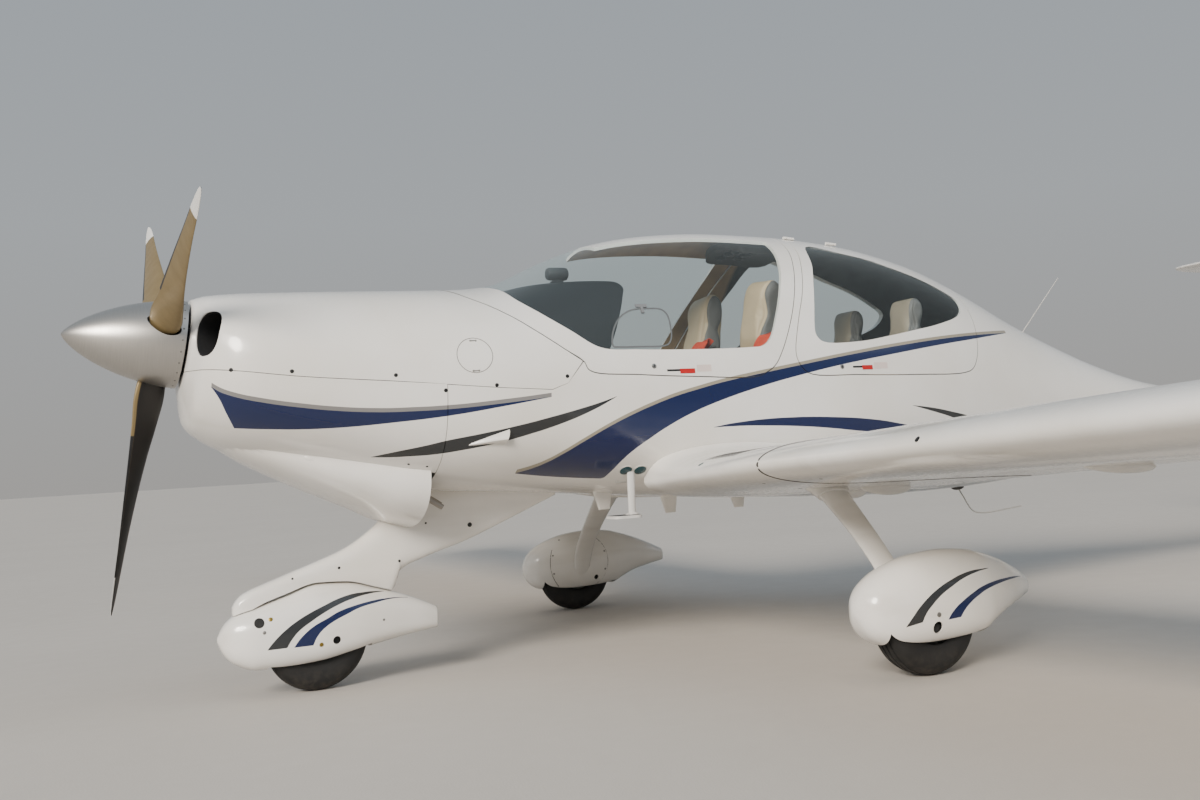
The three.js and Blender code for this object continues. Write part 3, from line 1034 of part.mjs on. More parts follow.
function buildCabin() {
  const insideBy = (gap) => fuselageLoft(FIREWALL_Y + CABIN_WALL, 4200, () => CABIN_WALL + gap);
  const inside = insideBy(SEAT);
  const offWalls = insideBy(TRIM_GAP);
  const panelLow = inside.intersect(sidePrism(PANEL.low, -PANEL.half, PANEL.half));
  const panelHigh = insideBy(HOOD_GAP).intersect(sidePrism(PANEL.high, -PANEL.half, PANEL.half));
  addNode('instrument_panel', largestPiece(joined(panelLow, panelHigh)), panelBlue);
  for (const [side, x] of [['left', FRONT_SEAT.x], ['right', -FRONT_SEAT.x]]) {
    const { cushion, back, head, foot } = FRONT_SEAT;
    const upholstery = joined(...[cushion, back, head].map((piece) => seatPiece(piece, x))).intersect(offWalls);
    addNode(`front_seat_${side}`, largestPiece(upholstery.add(seatPiece(foot, x).intersect(inside))), hide);
    const point = ([y, z]) => [x, y, z];
    const [baseFront, baseBack, baseLow, baseHigh] = STICK.base;
    const stick = joined(
      rod(point(STICK.root), point(STICK.neck), ...STICK.tube, SMALL_BAR_SIDES),
      rod(point(STICK.neck), point(STICK.grip), ...STICK.handle, SMALL_BAR_SIDES),
      box(x - STICK.baseHalf, x + STICK.baseHalf, baseFront, baseBack, baseLow, baseHigh),
    );
    addNode(`control_stick_${side}`, largestPiece(stick.intersect(inside)), black);
  }
  const { cushion, back, head, foot } = REAR_SEAT;
  const heads = [-REAR_SEAT.x, REAR_SEAT.x].map((x) => seatPiece(head, x));
  const bench = joined(seatPiece(cushion, 0), seatPiece(back, 0), ...heads).intersect(offWalls);
  addNode('rear_seat', largestPiece(bench.add(seatPiece(foot, 0).intersect(inside))), hide);
}

// Boarding step under the port wing root: a post with a plate on its foot
const STEP = { x: 452, y: 1928, postTop: 760, postRadius: 13, inner: 410, outer: 520, front: 1830, back: 1942, low: 535, high: 545 };

function buildBoardingStep(lowerBody) {
  const post = rod([STEP.x, STEP.y, STEP.postTop], [STEP.x, STEP.y, STEP.low + 2], STEP.postRadius, STEP.postRadius, BAR_SIDES);
  const plate = box(STEP.inner, STEP.outer, STEP.front, STEP.back, STEP.low, STEP.high);
  addNode('boarding_step_left', largestPiece(post.add(plate).subtract(lowerBody)), white);
}

const shaftHole = buildPropeller();
buildCowlings(shaftHole);
buildCanopy();
buildRearDoor();
const fin = buildTail();
buildFuselage(fin);
buildWingStubs();
buildWings();
const stubOuter = wingLoft(0, STUB_END_X);
const seatForm = fuselageLoft(FIREWALL_Y - 20, 3600, () => -SEAT);
const stubGrown = stubOuter.add(mirrored(stubOuter));
const lowerBody = joined(seatForm, stubGrown, tableLoft(SCOOP_SECTIONS, -SEAT, SKIN_SEGMENTS), stubGrown.translate([0, 0, -SEAT]));
buildNoseGear(lowerBody);
buildMainGear(lowerBody);
buildCabin();
buildBoardingStep(lowerBody);

export default aircraft;
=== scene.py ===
"""Light aircraft: the detailed forms, materials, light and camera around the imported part.

Tables are in millimetres with y as a station, 0 at the spinner's tip.
row() turns them into metres in the row frame.
"""
import math

import bpy
import numpy as np
from mathutils import Matrix, Vector
from mathutils.bvhtree import BVHTree
from mathutils.interpolate import poly_3d_calc


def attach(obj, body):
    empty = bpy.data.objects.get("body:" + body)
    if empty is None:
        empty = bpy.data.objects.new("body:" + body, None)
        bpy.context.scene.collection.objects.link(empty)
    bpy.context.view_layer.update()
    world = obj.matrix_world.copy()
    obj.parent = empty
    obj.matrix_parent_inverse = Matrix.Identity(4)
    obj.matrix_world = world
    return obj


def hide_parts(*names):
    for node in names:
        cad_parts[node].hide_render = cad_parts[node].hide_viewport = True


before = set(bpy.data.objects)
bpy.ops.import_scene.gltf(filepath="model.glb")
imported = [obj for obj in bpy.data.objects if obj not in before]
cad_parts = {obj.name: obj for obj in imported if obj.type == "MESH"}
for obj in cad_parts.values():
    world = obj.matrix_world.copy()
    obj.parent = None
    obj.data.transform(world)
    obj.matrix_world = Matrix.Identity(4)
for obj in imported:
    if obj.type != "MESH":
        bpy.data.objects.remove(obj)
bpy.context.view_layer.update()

HALF_LENGTH = 4.03
WIDE = 800
OVER_ROOF = 1900
SHAFT_TILT = math.radians(6.4)
FIREWALL_Y = 1200
BOOM_END_Y = 7520
PANEL_GAP = 4
SEAM_GAP = 2.2

FUSELAGE = np.array([
    # station, top, bottom, widest height, half width, roundness above and below
    (395, 1417, 1082, 1262, 172, 2.0, 2.0),
    (430, 1428, 962, 1235, 290, 2.1, 2.1),
    (470, 1432, 922, 1200, 345, 2.2, 2.1),
    (540, 1436, 878, 1160, 390, 2.3, 2.15),
    (700, 1441, 822, 1110, 435, 2.3, 2.3),
    (950, 1446, 756, 1070, 480, 2.3, 2.45),
    (1200, 1450, 690, 1040, 520, 2.3, 2.6),
    (1400, 1456, 668, 1030, 545, 2.25, 2.9),
    (1530, 1476, 660, 1020, 556, 2.15, 2.9),
    (1600, 1502, 654, 1015, 560, 2.12, 2.9),
    (1670, 1541, 648, 1010, 565, 2.1, 2.9),
    (1840, 1615, 631, 1000, 572, 2.0, 2.9),
    (2010, 1667, 614, 1000, 576, 2.0, 2.9),
    (2230, 1703, 592, 1000, 578, 2.0, 2.9),
    (2500, 1720, 570, 1000, 574, 2.0, 2.9),
    (2800, 1716, 550, 990, 564, 2.0, 2.9),
    (3160, 1688, 530, 975, 540, 2.0, 2.5),
    (3560, 1604, 518, 955, 490, 2.0, 2.4),
    (3860, 1487, 522, 930, 435, 2.0, 2.3),
    (4180, 1333, 540, 890, 370, 2.0, 2.2),
    (4490, 1206, 562, 855, 310, 2.0, 2.1),
    (4800, 1095, 585, 825, 262, 2.0, 2.0),
    (5200, 990, 612, 800, 215, 2.0, 2.0),
    (5900, 910, 638, 776, 165, 2.0, 2.0),
    (BOOM_END_Y, 872, 678, 772, 72, 2.0, 2.0),
])

# Outlines in side view, as station and height
COWL_SPLIT = [(380, 1150), (495, 1134), (709, 1103), (1036, 1073), (1384, 1038), (1580, 1024), (1640, 1045)]
CANOPY_FRONT = [(1711, 1125), (1644, 1173), (1561, 1237), (1483, 1299), (1409, 1352), (1339, 1400),
                (1272, 1480)]
CANOPY_BOTTOM = [(1731, 1090), (1931, 1070), (2186, 1056), (2441, 1050), (2500, 1069), (2541, 1096)]
CANOPY_AFT = [(2580, 1149), (2654, 1280), (2715, 1400), (2775, 1527), (2815, 1620), (2842, 1760)]
GLASS_FRONT = [(1400, 1500), (1490, 1436), (1521, 1379), (1587, 1315), (1680, 1243), (1783, 1176)]
GLASS_BOTTOM = [(1943, 1165), (2200, 1162), (2430, 1167), (2493, 1173), (2535, 1201)]
GLASS_AFT = [(2594, 1304), (2655, 1420), (2700, 1510), (2738, 1616), (2745, 1800)]
ROOF_STRIP = [(150, 1950), (185, 2200), (205, 2500), (215, 2900)]
DOOR_FRONT = [(2892, 1760), (2865, 1620), (2822, 1527), (2760, 1400), (2697, 1280), (2652, 1150),
              (2657, 1107)]
DOOR_BOTTOM = [(2695, 1061), (2964, 1047), (3305, 1042), (3593, 1047), (3655, 1066)]
DOOR_AFT = [(3700, 1120), (3735, 1200), (3763, 1296), (3775, 1400), (3760, 1760)]
REAR_GLASS = [
    (2942, 1641), (2881, 1530), (2833, 1436), (2768, 1250), (2768, 1215), (2795, 1188), (2993, 1188),
    (3142, 1208), (3330, 1239), (3503, 1270), (3668, 1316), (3715, 1355), (3719, 1395), (3639, 1448),
    (3517, 1504), (3348, 1560), (3271, 1585), (3128, 1614),
]
DOOR_INNER_X = 130
GLASS_INNER_X = 170


def row(points):
    """Millimetres with y as a station, turned into metres in the row frame."""
    made = np.asarray(points, float) / 1000
    made[..., 1] -= HALF_LENGTH
    return made


def slopes(xs, ys):
    """Slopes that keep a curve through the points from overshooting them."""
    step = np.diff(xs)
    rise = np.diff(ys) / step
    made = np.zeros(len(xs))
    made[0], made[-1] = rise[0], rise[-1]
    for i in range(1, len(xs) - 1):
        if rise[i - 1] * rise[i] > 0:
            a = 2 * step[i] + step[i - 1]
            b = step[i] + 2 * step[i - 1]
            made[i] = (a + b) / (a / rise[i - 1] + b / rise[i])
    return made


def curve_at(xs, ys, at):
    """Smooth curve through (xs, ys), read at the places at."""
    xs, ys, at = np.asarray(xs, float), np.asarray(ys, float), np.asarray(at, float)
    tangent = slopes(xs, ys)
    i = np.clip(np.searchsorted(xs, at) - 1, 0, len(xs) - 2)
    step = xs[i + 1] - xs[i]
    t = np.clip((at - xs[i]) / step, 0, 1)
    return (ys[i] * (2 * t**3 - 3 * t**2 + 1) + ys[i + 1] * (3 * t**2 - 2 * t**3)
            + step * (tangent[i] * (t**3 - 2 * t**2 + t) + tangent[i + 1] * (t**3 - t**2)))


def columns_at(rows, at):
    rows = np.asarray(rows, float)
    return [curve_at(rows[:, 0], rows[:, k], at) for k in range(1, rows.shape[1])]


def through(points, per=6, closed=False):
    """A smooth outline through points, with per points for each of its stretches."""
    p = np.asarray(points, float)
    if closed:
        p = np.vstack([p[-1], p, p[0], p[1]])
    else:
        p = np.vstack([2 * p[0] - p[1], p, 2 * p[-1] - p[-2]])
    made = []
    for i in range(1, len(p) - 2):
        knots = [0.0]
        for j in range(3):
            knots.append(knots[-1] + np.linalg.norm(p[i + j] - p[i + j - 1]) ** 0.5)
        t0, t1, t2, t3 = knots
        for t in np.linspace(t1, t2, per, endpoint=False):
            a1 = ((t1 - t) * p[i - 1] + (t - t0) * p[i]) / (t1 - t0)
            a2 = ((t2 - t) * p[i] + (t - t1) * p[i + 1]) / (t2 - t1)
            a3 = ((t3 - t) * p[i + 1] + (t - t2) * p[i + 2]) / (t3 - t2)
            b1 = ((t2 - t) * a1 + (t - t0) * a2) / (t2 - t0)
            b2 = ((t3 - t) * a2 + (t - t1) * a3) / (t3 - t1)
            made.append(((t2 - t) * b1 + (t - t1) * b2) / (t2 - t1))
    if not closed:
        made.append(p[-2])
    return [tuple(q) for q in made]


def offset(outline, amount):
    """A closed outline grown by amount, square to its own edge; a minus shrinks it."""
    p = np.asarray(outline, float)
    before, after = np.roll(p, 1, 0), np.roll(p, -1, 0)
    edge = after - before
    normal = np.stack([edge[:, 1], -edge[:, 0]], 1)
    normal /= np.maximum(np.linalg.norm(normal, axis=1, keepdims=True), 1e-9)
    area = np.sum(p[:, 0] * after[:, 1] - p[:, 1] * after[:, 0])
    return [tuple(q) for q in p + normal * amount * (1 if area > 0 else -1)]


# Meshes


def mesh_of(name, points, faces):
    """A mesh from millimetre points, with its faces turned outward."""
    placed = row(points)
    mesh = bpy.data.meshes.new(name)
    mesh.from_pydata(placed.tolist(), [], [tuple(int(v) for v in f) for f in faces])
    mesh.update()
    mesh.calc_loop_triangles()
    corners = np.empty(len(mesh.loop_triangles) * 3, np.int32)
    mesh.loop_triangles.foreach_get("vertices", corners)
    a, b, c = placed[corners.reshape(-1, 3).T]
    if np.einsum("ij,ij->i", a, np.cross(b, c)).sum() < 0:
        mesh.flip_normals()
    return mesh


def loft(name, rings):
    """Rings of points joined into one closed mesh."""
    rings = np.asarray(rings, float)
    count, size = rings.shape[:2]
    points = list(rings.reshape(-1, 3))
    faces = []
    for r in range(count - 1):
        for k in range(size):
            a, b = r * size + k, r * size + (k + 1) % size
            faces.append((a, b, b + size, a + size))
    for start, ring in ((0, rings[0]), ((count - 1) * size, rings[-1])):
        hub = len(points)
        points.append(ring.mean(0))
        for k in range(size):
            a, b = start + k, start + (k + 1) % size
            faces.append((hub, b, a) if start == 0 else (hub, a, b))
    return mesh_of(name, np.array(points), faces)


def prism(name, outline, low, high, axes):
    """A prism from a 2-D outline; axes names the outline's two axes and then the prism's own."""
    n = len(outline)
    points = np.zeros((2 * n, 3))
    for i, (u, v) in enumerate(outline):
        for j, w in ((i, low), (n + i, high)):
            points[j, axes[0]], points[j, axes[1]], points[j, axes[2]] = u, v, w
    faces = [tuple(range(n)), tuple(range(2 * n - 1, n - 1, -1))]
    faces += [(i, n + i, n + (i + 1) % n, (i + 1) % n) for i in range(n)]
    faces = [tuple(reversed(f)) for f in faces]
    return mesh_of(name, points, faces)


def side_prism(outline, x0, x1):
    return prism("side", outline, x0, x1, (1, 2, 0))


def plan_prism(outline, z0, z1):
    return prism("plan", outline, z0, z1, (0, 1, 2))


def block(x0, x1, y0, y1, z0, z1):
    return side_prism([(y0, z0), (y1, z0), (y1, z1), (y0, z1)], x0, x1)


def frame_on(direction):
    """Two unit vectors square to a direction."""
    d = np.asarray(direction, float) / np.linalg.norm(direction)
    side = np.cross(d, (0, 0, 1) if abs(d[2]) < 0.9 else (1, 0, 0))
    side /= np.linalg.norm(side)
    return d, side, np.cross(d, side)


def turned(name, start, end, profile, sides):
    """A turned body about a line; its profile rows are distance along the line and radius, in mm."""
    start = np.asarray(start, float)
    d, side, up = frame_on(np.asarray(end, float) - start)
    angle = np.linspace(0, 2 * np.pi, sides, endpoint=False)
    spoke = np.outer(np.cos(angle), side) + np.outer(np.sin(angle), up)
    return loft(name, [start + d * along + spoke * max(radius, 0.01) for along, radius in profile])


def rod(start, end, radius, end_radius=None, sides=24):
    length = np.linalg.norm(np.subtract(end, start))
    return turned("rod", start, end, [(0, radius), (length, radius if end_radius is None else end_radius)],
                  sides)


def tube(points, radius, sides=10):
    """A round bar along a path, capped at both ends."""
    p = np.asarray(points, float)
    ahead = np.gradient(p, axis=0)
    ahead /= np.linalg.norm(ahead, axis=1, keepdims=True)
    radii = np.broadcast_to(radius, len(p))
    angle = np.linspace(0, 2 * np.pi, sides, endpoint=False)
    side = frame_on(ahead[0])[1]
    rings = []
    for q, d, r in zip(p, ahead, radii):
        side = side - d * side.dot(d)
        side /= np.linalg.norm(side)
        up = np.cross(d, side)
        rings.append(q + r * (np.outer(np.cos(angle), side) + np.outer(np.sin(angle), up)))
    return loft("tube", rings)


def hollow_tube(points, radius, bore, sides=24):
    """An open-ended pipe: its outside and its bore, joined round both ends."""
    outside, inside = tube(points, radius, sides), tube(points, bore, sides)
    return cut(outside, inside)


def mirrored(mesh):
    made = mesh.copy()
    made.transform(Matrix.Diagonal((-1, 1, 1, 1)))
    made.flip_normals()
    return made


def combine(base, operation, *tools):
    """A new mesh: base cut by, joined with or limited to each tool in turn."""
    scene = bpy.context.scene.collection
    host = bpy.data.objects.new("host", base)
    scene.objects.link(host)
    guests = []
    for tool in tools:
        guest = bpy.data.objects.new("guest", tool)
        scene.objects.link(guest)
        guests.append(guest)
        step = host.modifiers.new("step", "BOOLEAN")
        step.operation = operation
        step.solver = "MANIFOLD"
        step.object = guest
    graph = bpy.context.evaluated_depsgraph_get()
    made = bpy.data.meshes.new_from_object(host.evaluated_get(graph))
    for extra in [host, *guests]:
        bpy.data.objects.remove(extra)
    return made


def cut(base, *tools):
    return combine(base, "DIFFERENCE", *tools)


def joined(base, *tools):
    return combine(base, "UNION", *tools)


def common(base, *tools):
    return combine(base, "INTERSECT", *tools)


def islands(mesh):
    """The number of the connected piece that each vertex is in."""
    edges = np.empty(len(mesh.edges) * 2, np.int64)
    mesh.edges.foreach_get("vertices", edges)
    a, b = edges.reshape(-1, 2).T
    label = np.arange(len(mesh.vertices))
    while True:
        low = np.minimum(label[a], label[b])
        new = label.copy()
        np.minimum.at(new, a, low)
        np.minimum.at(new, b, low)
        new = new[new]
        if (new == label).all():
            return label
        label = new


def gathered(meshes):
    """Several meshes as one, with nothing cut."""
    points, faces = [], []
    for mesh in meshes:
        start = len(points)
        points += [tuple(v.co) for v in mesh.vertices]
        faces += [[start + v for v in p.vertices] for p in mesh.polygons]
    made = bpy.data.meshes.new("gathered")
    made.from_pydata(points, [], faces)
    made.update()
    return made


def largest(mesh):
    """The mesh with only its largest connected piece."""
    label = islands(mesh)
    names = np.unique(label)
    if len(names) == 1:
        return mesh
    co = np.empty(len(mesh.vertices) * 3)
    mesh.vertices.foreach_get("co", co)
    co = co.reshape(-1, 3)
    spans = [np.prod(np.ptp(co[label == n], axis=0) + 1e-4) for n in names]
    keep = names[int(np.argmax(spans))]
    where = np.full(len(co), -1)
    kept = np.flatnonzero(label == keep)
    where[kept] = np.arange(len(kept))
    faces = [[where[v] for v in p.vertices] for p in mesh.polygons if label[p.vertices[0]] == keep]
    made = bpy.data.meshes.new(mesh.name)
    made.from_pydata(co[kept].tolist(), [], faces)
    made.update()
    return made


class Reference:
    """A smooth form whose normals and material the faces cut from it take."""

    def __init__(self, mesh, material=0, flip=False):
        self.points = [v.co.copy() for v in mesh.vertices]
        self.normals = [v.normal.copy() * (-1 if flip else 1) for v in mesh.vertices]
        self.faces = [tuple(p.vertices) for p in mesh.polygons]
        self.tree = BVHTree.FromPolygons(self.points, self.faces)
        self.material = material

    def normal(self, point, reach):
        place, _, index, _ = self.tree.find_nearest(point, reach)
        if place is None:
            return None
        face = self.faces[index]
        weights = poly_3d_calc([self.points[v] for v in face], place)
        made = Vector((0, 0, 0))
        for v, w in zip(face, weights):
            made += self.normals[v] * w
        return made.normalized()


MATCH = 0.0006
SAME_SIDE = 0.75


def shade(mesh, references=(), sharp=35):
    """Smooth shading: faces on a reference form take its normals, the rest is sharp over an angle."""
    mesh.shade_smooth()
    mesh.set_sharp_from_angle(angle=math.radians(sharp))
    if not references:
        return mesh
    count = len(mesh.vertices)
    corner = np.empty(len(mesh.loops) * 3, np.float32)
    mesh.corner_normals.foreach_get("vector", corner)
    corner = corner.reshape(-1, 3)
    owner = np.empty(len(mesh.loops), np.int32)
    mesh.loops.foreach_get("vertex_index", owner)
    sizes = np.empty(len(mesh.polygons), np.int32)
    mesh.polygons.foreach_get("loop_total", sizes)
    face = np.empty(len(mesh.polygons) * 3, np.float32)
    mesh.polygons.foreach_get("normal", face)
    face = face.reshape(-1, 3)
    of_loop = np.repeat(np.arange(len(sizes)), sizes)
    taken = np.zeros(len(owner), bool)
    which = np.full(len(sizes), -1)
    for number, reference in enumerate(references):
        normal = np.zeros((count, 3), np.float32)
        for v in mesh.vertices:
            found = reference.normal(v.co, MATCH)
            if found is not None:
                normal[v.index] = found
        here = normal[owner]
        fits = (np.einsum("ij,ij->i", here, face[of_loop]) > SAME_SIDE) & ~taken
        corner[fits] = here[fits]
        taken |= fits
        all_fit = np.ones(len(sizes), bool)
        np.logical_and.at(all_fit, of_loop, fits)
        which[all_fit] = number
    index = np.array([references[n].material if n >= 0 else 0 for n in which], np.int32)
    mesh.polygons.foreach_set("material_index", index)
    mesh.normals_split_custom_set(corner.tolist())
    return mesh


def add(name, mesh, materials, body, replaces=(), references=(), sharp=35):
    """Make a piece of the aircraft: its materials, body and the CAD nodes it stands for."""
    mesh.materials.clear()
    for material in materials if isinstance(materials, (list, tuple)) else [materials]:
        mesh.materials.append(material)
    shade(mesh, references, sharp)
    piece = bpy.data.objects.new(name, mesh)
    mesh.name = name
    bpy.context.scene.collection.objects.link(piece)
    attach(piece, body)
    if replaces:
        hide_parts(*replaces)
    return piece


# Materials


class Tree:
    """Short calls for building a node material."""

    def __init__(self, name):
        self.material = bpy.data.materials.new(name)
        self.material.use_nodes = True
        self.tree = self.material.node_tree
        self.tree.nodes.clear()
        self.output = self.tree.nodes.new("ShaderNodeOutputMaterial")
        self.shader = self.tree.nodes.new("ShaderNodeBsdfPrincipled")
        self.tree.links.new(self.shader.outputs[0], self.output.inputs["Surface"])
        self.place = self.node("ShaderNodeTexCoord").outputs["Object"]

    def node(self, kind, **inputs):
        made = self.tree.nodes.new(kind)
        for key, value in inputs.items():
            self.feed(made.inputs[key.replace("_", " ")], value)
        return made

    def feed(self, socket, value):
        if isinstance(value, bpy.types.NodeSocket):
            self.tree.links.new(value, socket)
        else:
            socket.default_value = value

    def math(self, operation, a, b=0.0, c=0.0, clamp=False):
        made = self.tree.nodes.new("ShaderNodeMath")
        made.operation = operation
        made.use_clamp = clamp
        for socket, value in zip(made.inputs, (a, b, c)):
            self.feed(socket, value)
        return made.outputs[0]

    def range(self, value, low, high, to_low=0.0, to_high=1.0):
        made = self.node("ShaderNodeMapRange")
        for key, v in (("Value", value), ("From Min", low), ("From Max", high), ("To Min", to_low),
                       ("To Max", to_high)):
            self.feed(made.inputs[key], v)
        return made.outputs["Result"]

    def mix(self, share, a, b):
        made = self.node("ShaderNodeMix")
        made.data_type = "RGBA"
        self.feed(made.inputs["Factor"], share)
        self.feed(made.inputs[6], a)
        self.feed(made.inputs[7], b)
        return made.outputs[2]

    def noise(self, scale, detail=3.0, rough=0.5, stretch=None, seed=(0, 0, 0)):
        place = self.place
        if stretch or any(seed):
            moved = self.node("ShaderNodeMapping")
            self.feed(moved.inputs["Vector"], place)
            moved.inputs["Scale"].default_value = stretch or (1, 1, 1)
            moved.inputs["Location"].default_value = seed
            place = moved.outputs[0]
        made = self.node("ShaderNodeTexNoise")
        self.feed(made.inputs["Vector"], place)
        made.inputs["Scale"].default_value = scale
        made.inputs["Detail"].default_value = detail
        made.inputs["Roughness"].default_value = rough
        return made.outputs["Fac"]

    def bump(self, height, distance, strength=1.0):
        made = self.node("ShaderNodeBump")
        self.feed(made.inputs["Height"], height)
        made.inputs["Distance"].default_value = distance
        made.inputs["Strength"].default_value = strength
        self.feed(self.shader.inputs["Normal"], made.outputs[0])

    def set(self, **inputs):
        for key, value in inputs.items():
            self.feed(self.shader.inputs[key.replace("_", " ")], value)
        return self.material

    def axes(self):
        split = self.node("ShaderNodeSeparateXYZ")
        self.feed(split.inputs[0], self.place)
        return split.outputs


def rgb(red, green, blue):
    """A colour named by its screen values, 0 to 255."""
    return tuple(((v / 255 + 0.055) / 1.055) ** 2.4 if v > 10 else v / 255 / 12.92
                 for v in (red, green, blue)) + (1.0,)


WHITE = rgb(236, 233, 228)
OFF_WHITE = rgb(226, 221, 212)
NAVY = rgb(0, 21, 68)
CHARCOAL = rgb(38, 40, 42)
EDGE = 0.0007


# Livery outlines in side view, as station and height: upper and lower edges of each stripe
STRIPES = {
    "cowl": {
        "colour": NAVY,
        "upper": [(445, 1083), (512, 1044), (605, 1018), (713, 997), (829, 980), (937, 970), (1036, 966),
                  (1209, 968),
                  (1382, 979), (1575, 997)],
        "lower": [(445, 1081), (469, 1042), (494, 992), (524, 941), (575, 935), (630, 930), (716, 924),
                  (833, 922),
                  (1037, 931), (1203, 944), (1382, 967), (1575, 996)],
    },
    "sweep": {
        "colour": CHARCOAL,
        "upper": [(968, 817), (1049, 831), (1130, 844), (1202, 858), (1316, 875), (1440, 896), (1568, 922),
                  (1682, 948),
                  (1761, 968), (1830, 989)],
        "lower": [(968, 816), (1053, 811), (1163, 812), (1272, 823), (1392, 842), (1498, 866), (1607, 896),
                  (1722, 937),
                  (1830, 988)],
    },
    "body": {
        "colour": NAVY,
        "upper": [(1478, 728), (1533, 742), (1579, 760), (1627, 785), (1710, 832), (1818, 887), (1919, 929),
                  (2007, 960),
                  (2089, 985), (2182, 1007), (2273, 1027), (2461, 1059), (2659, 1090), (2924, 1130),
                  (3216, 1169),
                  (3544, 1205), (4010, 1239)],
        "lower": [(1478, 727), (1590, 711), (1712, 697), (1832, 686), (1849, 717), (1873, 753), (1913, 790),
                  (1961, 822),
                  (2042, 869), (2157, 920), (2268, 957), (2384, 989), (2504, 1018), (2654, 1049),
                  (2810, 1078),
                  (2973, 1104), (3206, 1137), (3465, 1172), (3722, 1203), (4010, 1238)],
    },
    "flank": {
        "colour": NAVY,
        "upper": [(2240, 856), (2359, 871), (2499, 879), (2639, 880), (2814, 873), (2977, 861), (3180, 832),
                  (3330, 800)],
        "lower": [(2240, 855), (2360, 856), (2501, 851), (2641, 843), (2816, 827), (2900, 817), (2986, 808),
                  (3180, 796), (3330, 799)],
    },
    "tick": {
        "colour": CHARCOAL,
        "upper": [(3245, 908), (3379, 892), (3472, 876), (3620, 846), (3700, 822)],
        "lower": [(3245, 907), (3378, 876), (3472, 853), (3560, 826), (3700, 820)],
    },
}
# A thin shaded line rides on the upper edge of these stripes
LINES = {"cowl": (1, rgb(126, 124, 122), 14), "body": (1, rgb(150, 142, 124), 13)}


SHARP_CORNER = 32


def edge_curve(tree, outline, along):
    """The height of an outline at a station, as nodes; both in metres."""
    p = row([(0, y, z) for y, z in outline])[:, 1:]
    low, high = p.min(0), p.max(0)
    made = tree.node("ShaderNodeFloatCurve")
    points = made.mapping.curves[0].points
    for i, (y, z) in enumerate(p):
        at = ((y - low[0]) / (high[0] - low[0]), (z - low[1]) / (high[1] - low[1]))
        if i in (0, len(p) - 1):
            points[0 if i == 0 else -1].location = at
        else:
            points.new(*at)
    for i in range(1, len(p) - 1):
        before, after = p[i] - p[i - 1], p[i + 1] - p[i]
        corner = math.degrees(abs(math.atan2(before[1], before[0]) - math.atan2(after[1], after[0])))
        if corner > SHARP_CORNER:
            points[i].handle_type = "VECTOR"
    made.mapping.update()
    tree.feed(made.inputs["Value"], tree.range(along, low[0], high[0]))
    return tree.range(made.outputs[0], 0, 1, low[1], high[1])


def between(tree, value, low, high, edge=EDGE):
    """A mask that is 1 where value lies from low to high."""
    over = tree.math("MULTIPLY_ADD", tree.math("SUBTRACT", value, low), 1 / edge, 0.5, clamp=True)
    under = tree.math("MULTIPLY_ADD", tree.math("SUBTRACT", high, value), 1 / edge, 0.5, clamp=True)
    return tree.math("MULTIPLY", over, under)


def stripe_mask(tree, spec, y, z, rise=0.0):
    upper, lower = edge_curve(tree, spec["upper"], y), edge_curve(tree, spec["lower"], y)
    ends = row([(0, spec["upper"][0][0], 0), (0, spec["upper"][-1][0], 0)])[:, 1]
    if rise:
        lower = upper
        upper = tree.math("ADD", upper, rise)
    return tree.math("MULTIPLY", between(tree, z, lower, upper), between(tree, y, ends[0], ends[1]))


def paint(name, stripes=(), lines=(), base=WHITE, beyond=0.0):
    """Gloss paint over composite skin: faint mottling, darker, warmer streaks low down, a wavy gloss and the
    livery's stripes.

    With beyond, the stripes lie only on the sides that face outward from there, in metres from the middle.
    """
    tree = Tree(name)
    x, y, z = tree.axes()
    outward = tree.range(tree.math("ABSOLUTE", x), beyond, beyond + 0.002) if beyond else None
    mottle = tree.noise(2.2, 4)
    colour = tree.mix(tree.range(mottle, 0.35, 0.75), base, OFF_WHITE)
    streaks = tree.noise(9.0, 4, stretch=(1, 0.15, 1))
    # Darker, warmer streaks that fade in towards the bottom
    low_streaks = tree.math("MULTIPLY", tree.range(streaks, 0.5, 0.8), tree.range(z, 0.95, 0.45, 0.0, 0.3),
                      clamp=True)
    colour = tree.mix(low_streaks, colour, rgb(168, 156, 138))
    metal = 0.0
    for key in lines:
        share, tint, width = LINES[key]
        mask = stripe_mask(tree, STRIPES[key], y, z, rise=width / 1000)
        colour = tree.mix(tree.math("MULTIPLY", mask, share), colour, tint)
    for key in stripes:
        mask = stripe_mask(tree, STRIPES[key], y, z)
        if outward:
            mask = tree.math("MULTIPLY", mask, outward)
        colour = tree.mix(mask, colour, STRIPES[key]["colour"])
    fine = tree.noise(60.0, 2)
    tree.set(Base_Color=colour, Roughness=tree.range(fine, 0.3, 0.7, 0.17, 0.27), Metallic=metal)
    tree.shader.inputs["Coat Weight"].default_value = 0.5
    tree.shader.inputs["Coat Roughness"].default_value = 0.06
    tree.bump(tree.noise(4.0, 1), 0.0012, 0.35)
    return tree.material


def plain(name, colour, rough=0.5, metal=0.0, grain=40.0, depth=0.0002, vary=0.12):
    """A finish with a fine grain, a little colour change and uneven gloss."""
    tree = Tree(name)
    dark = tuple(c * (1 - vary) for c in colour[:3]) + (1.0,)
    tree.set(
        Base_Color=tree.mix(tree.noise(grain * 0.2, 3), colour, dark),
        Roughness=tree.range(tree.noise(grain, 3), 0.3, 0.7, rough - 0.06, rough + 0.08),
        Metallic=metal,
    )
    tree.bump(tree.noise(grain * 4, 2), depth, 0.5)
    return tree.material


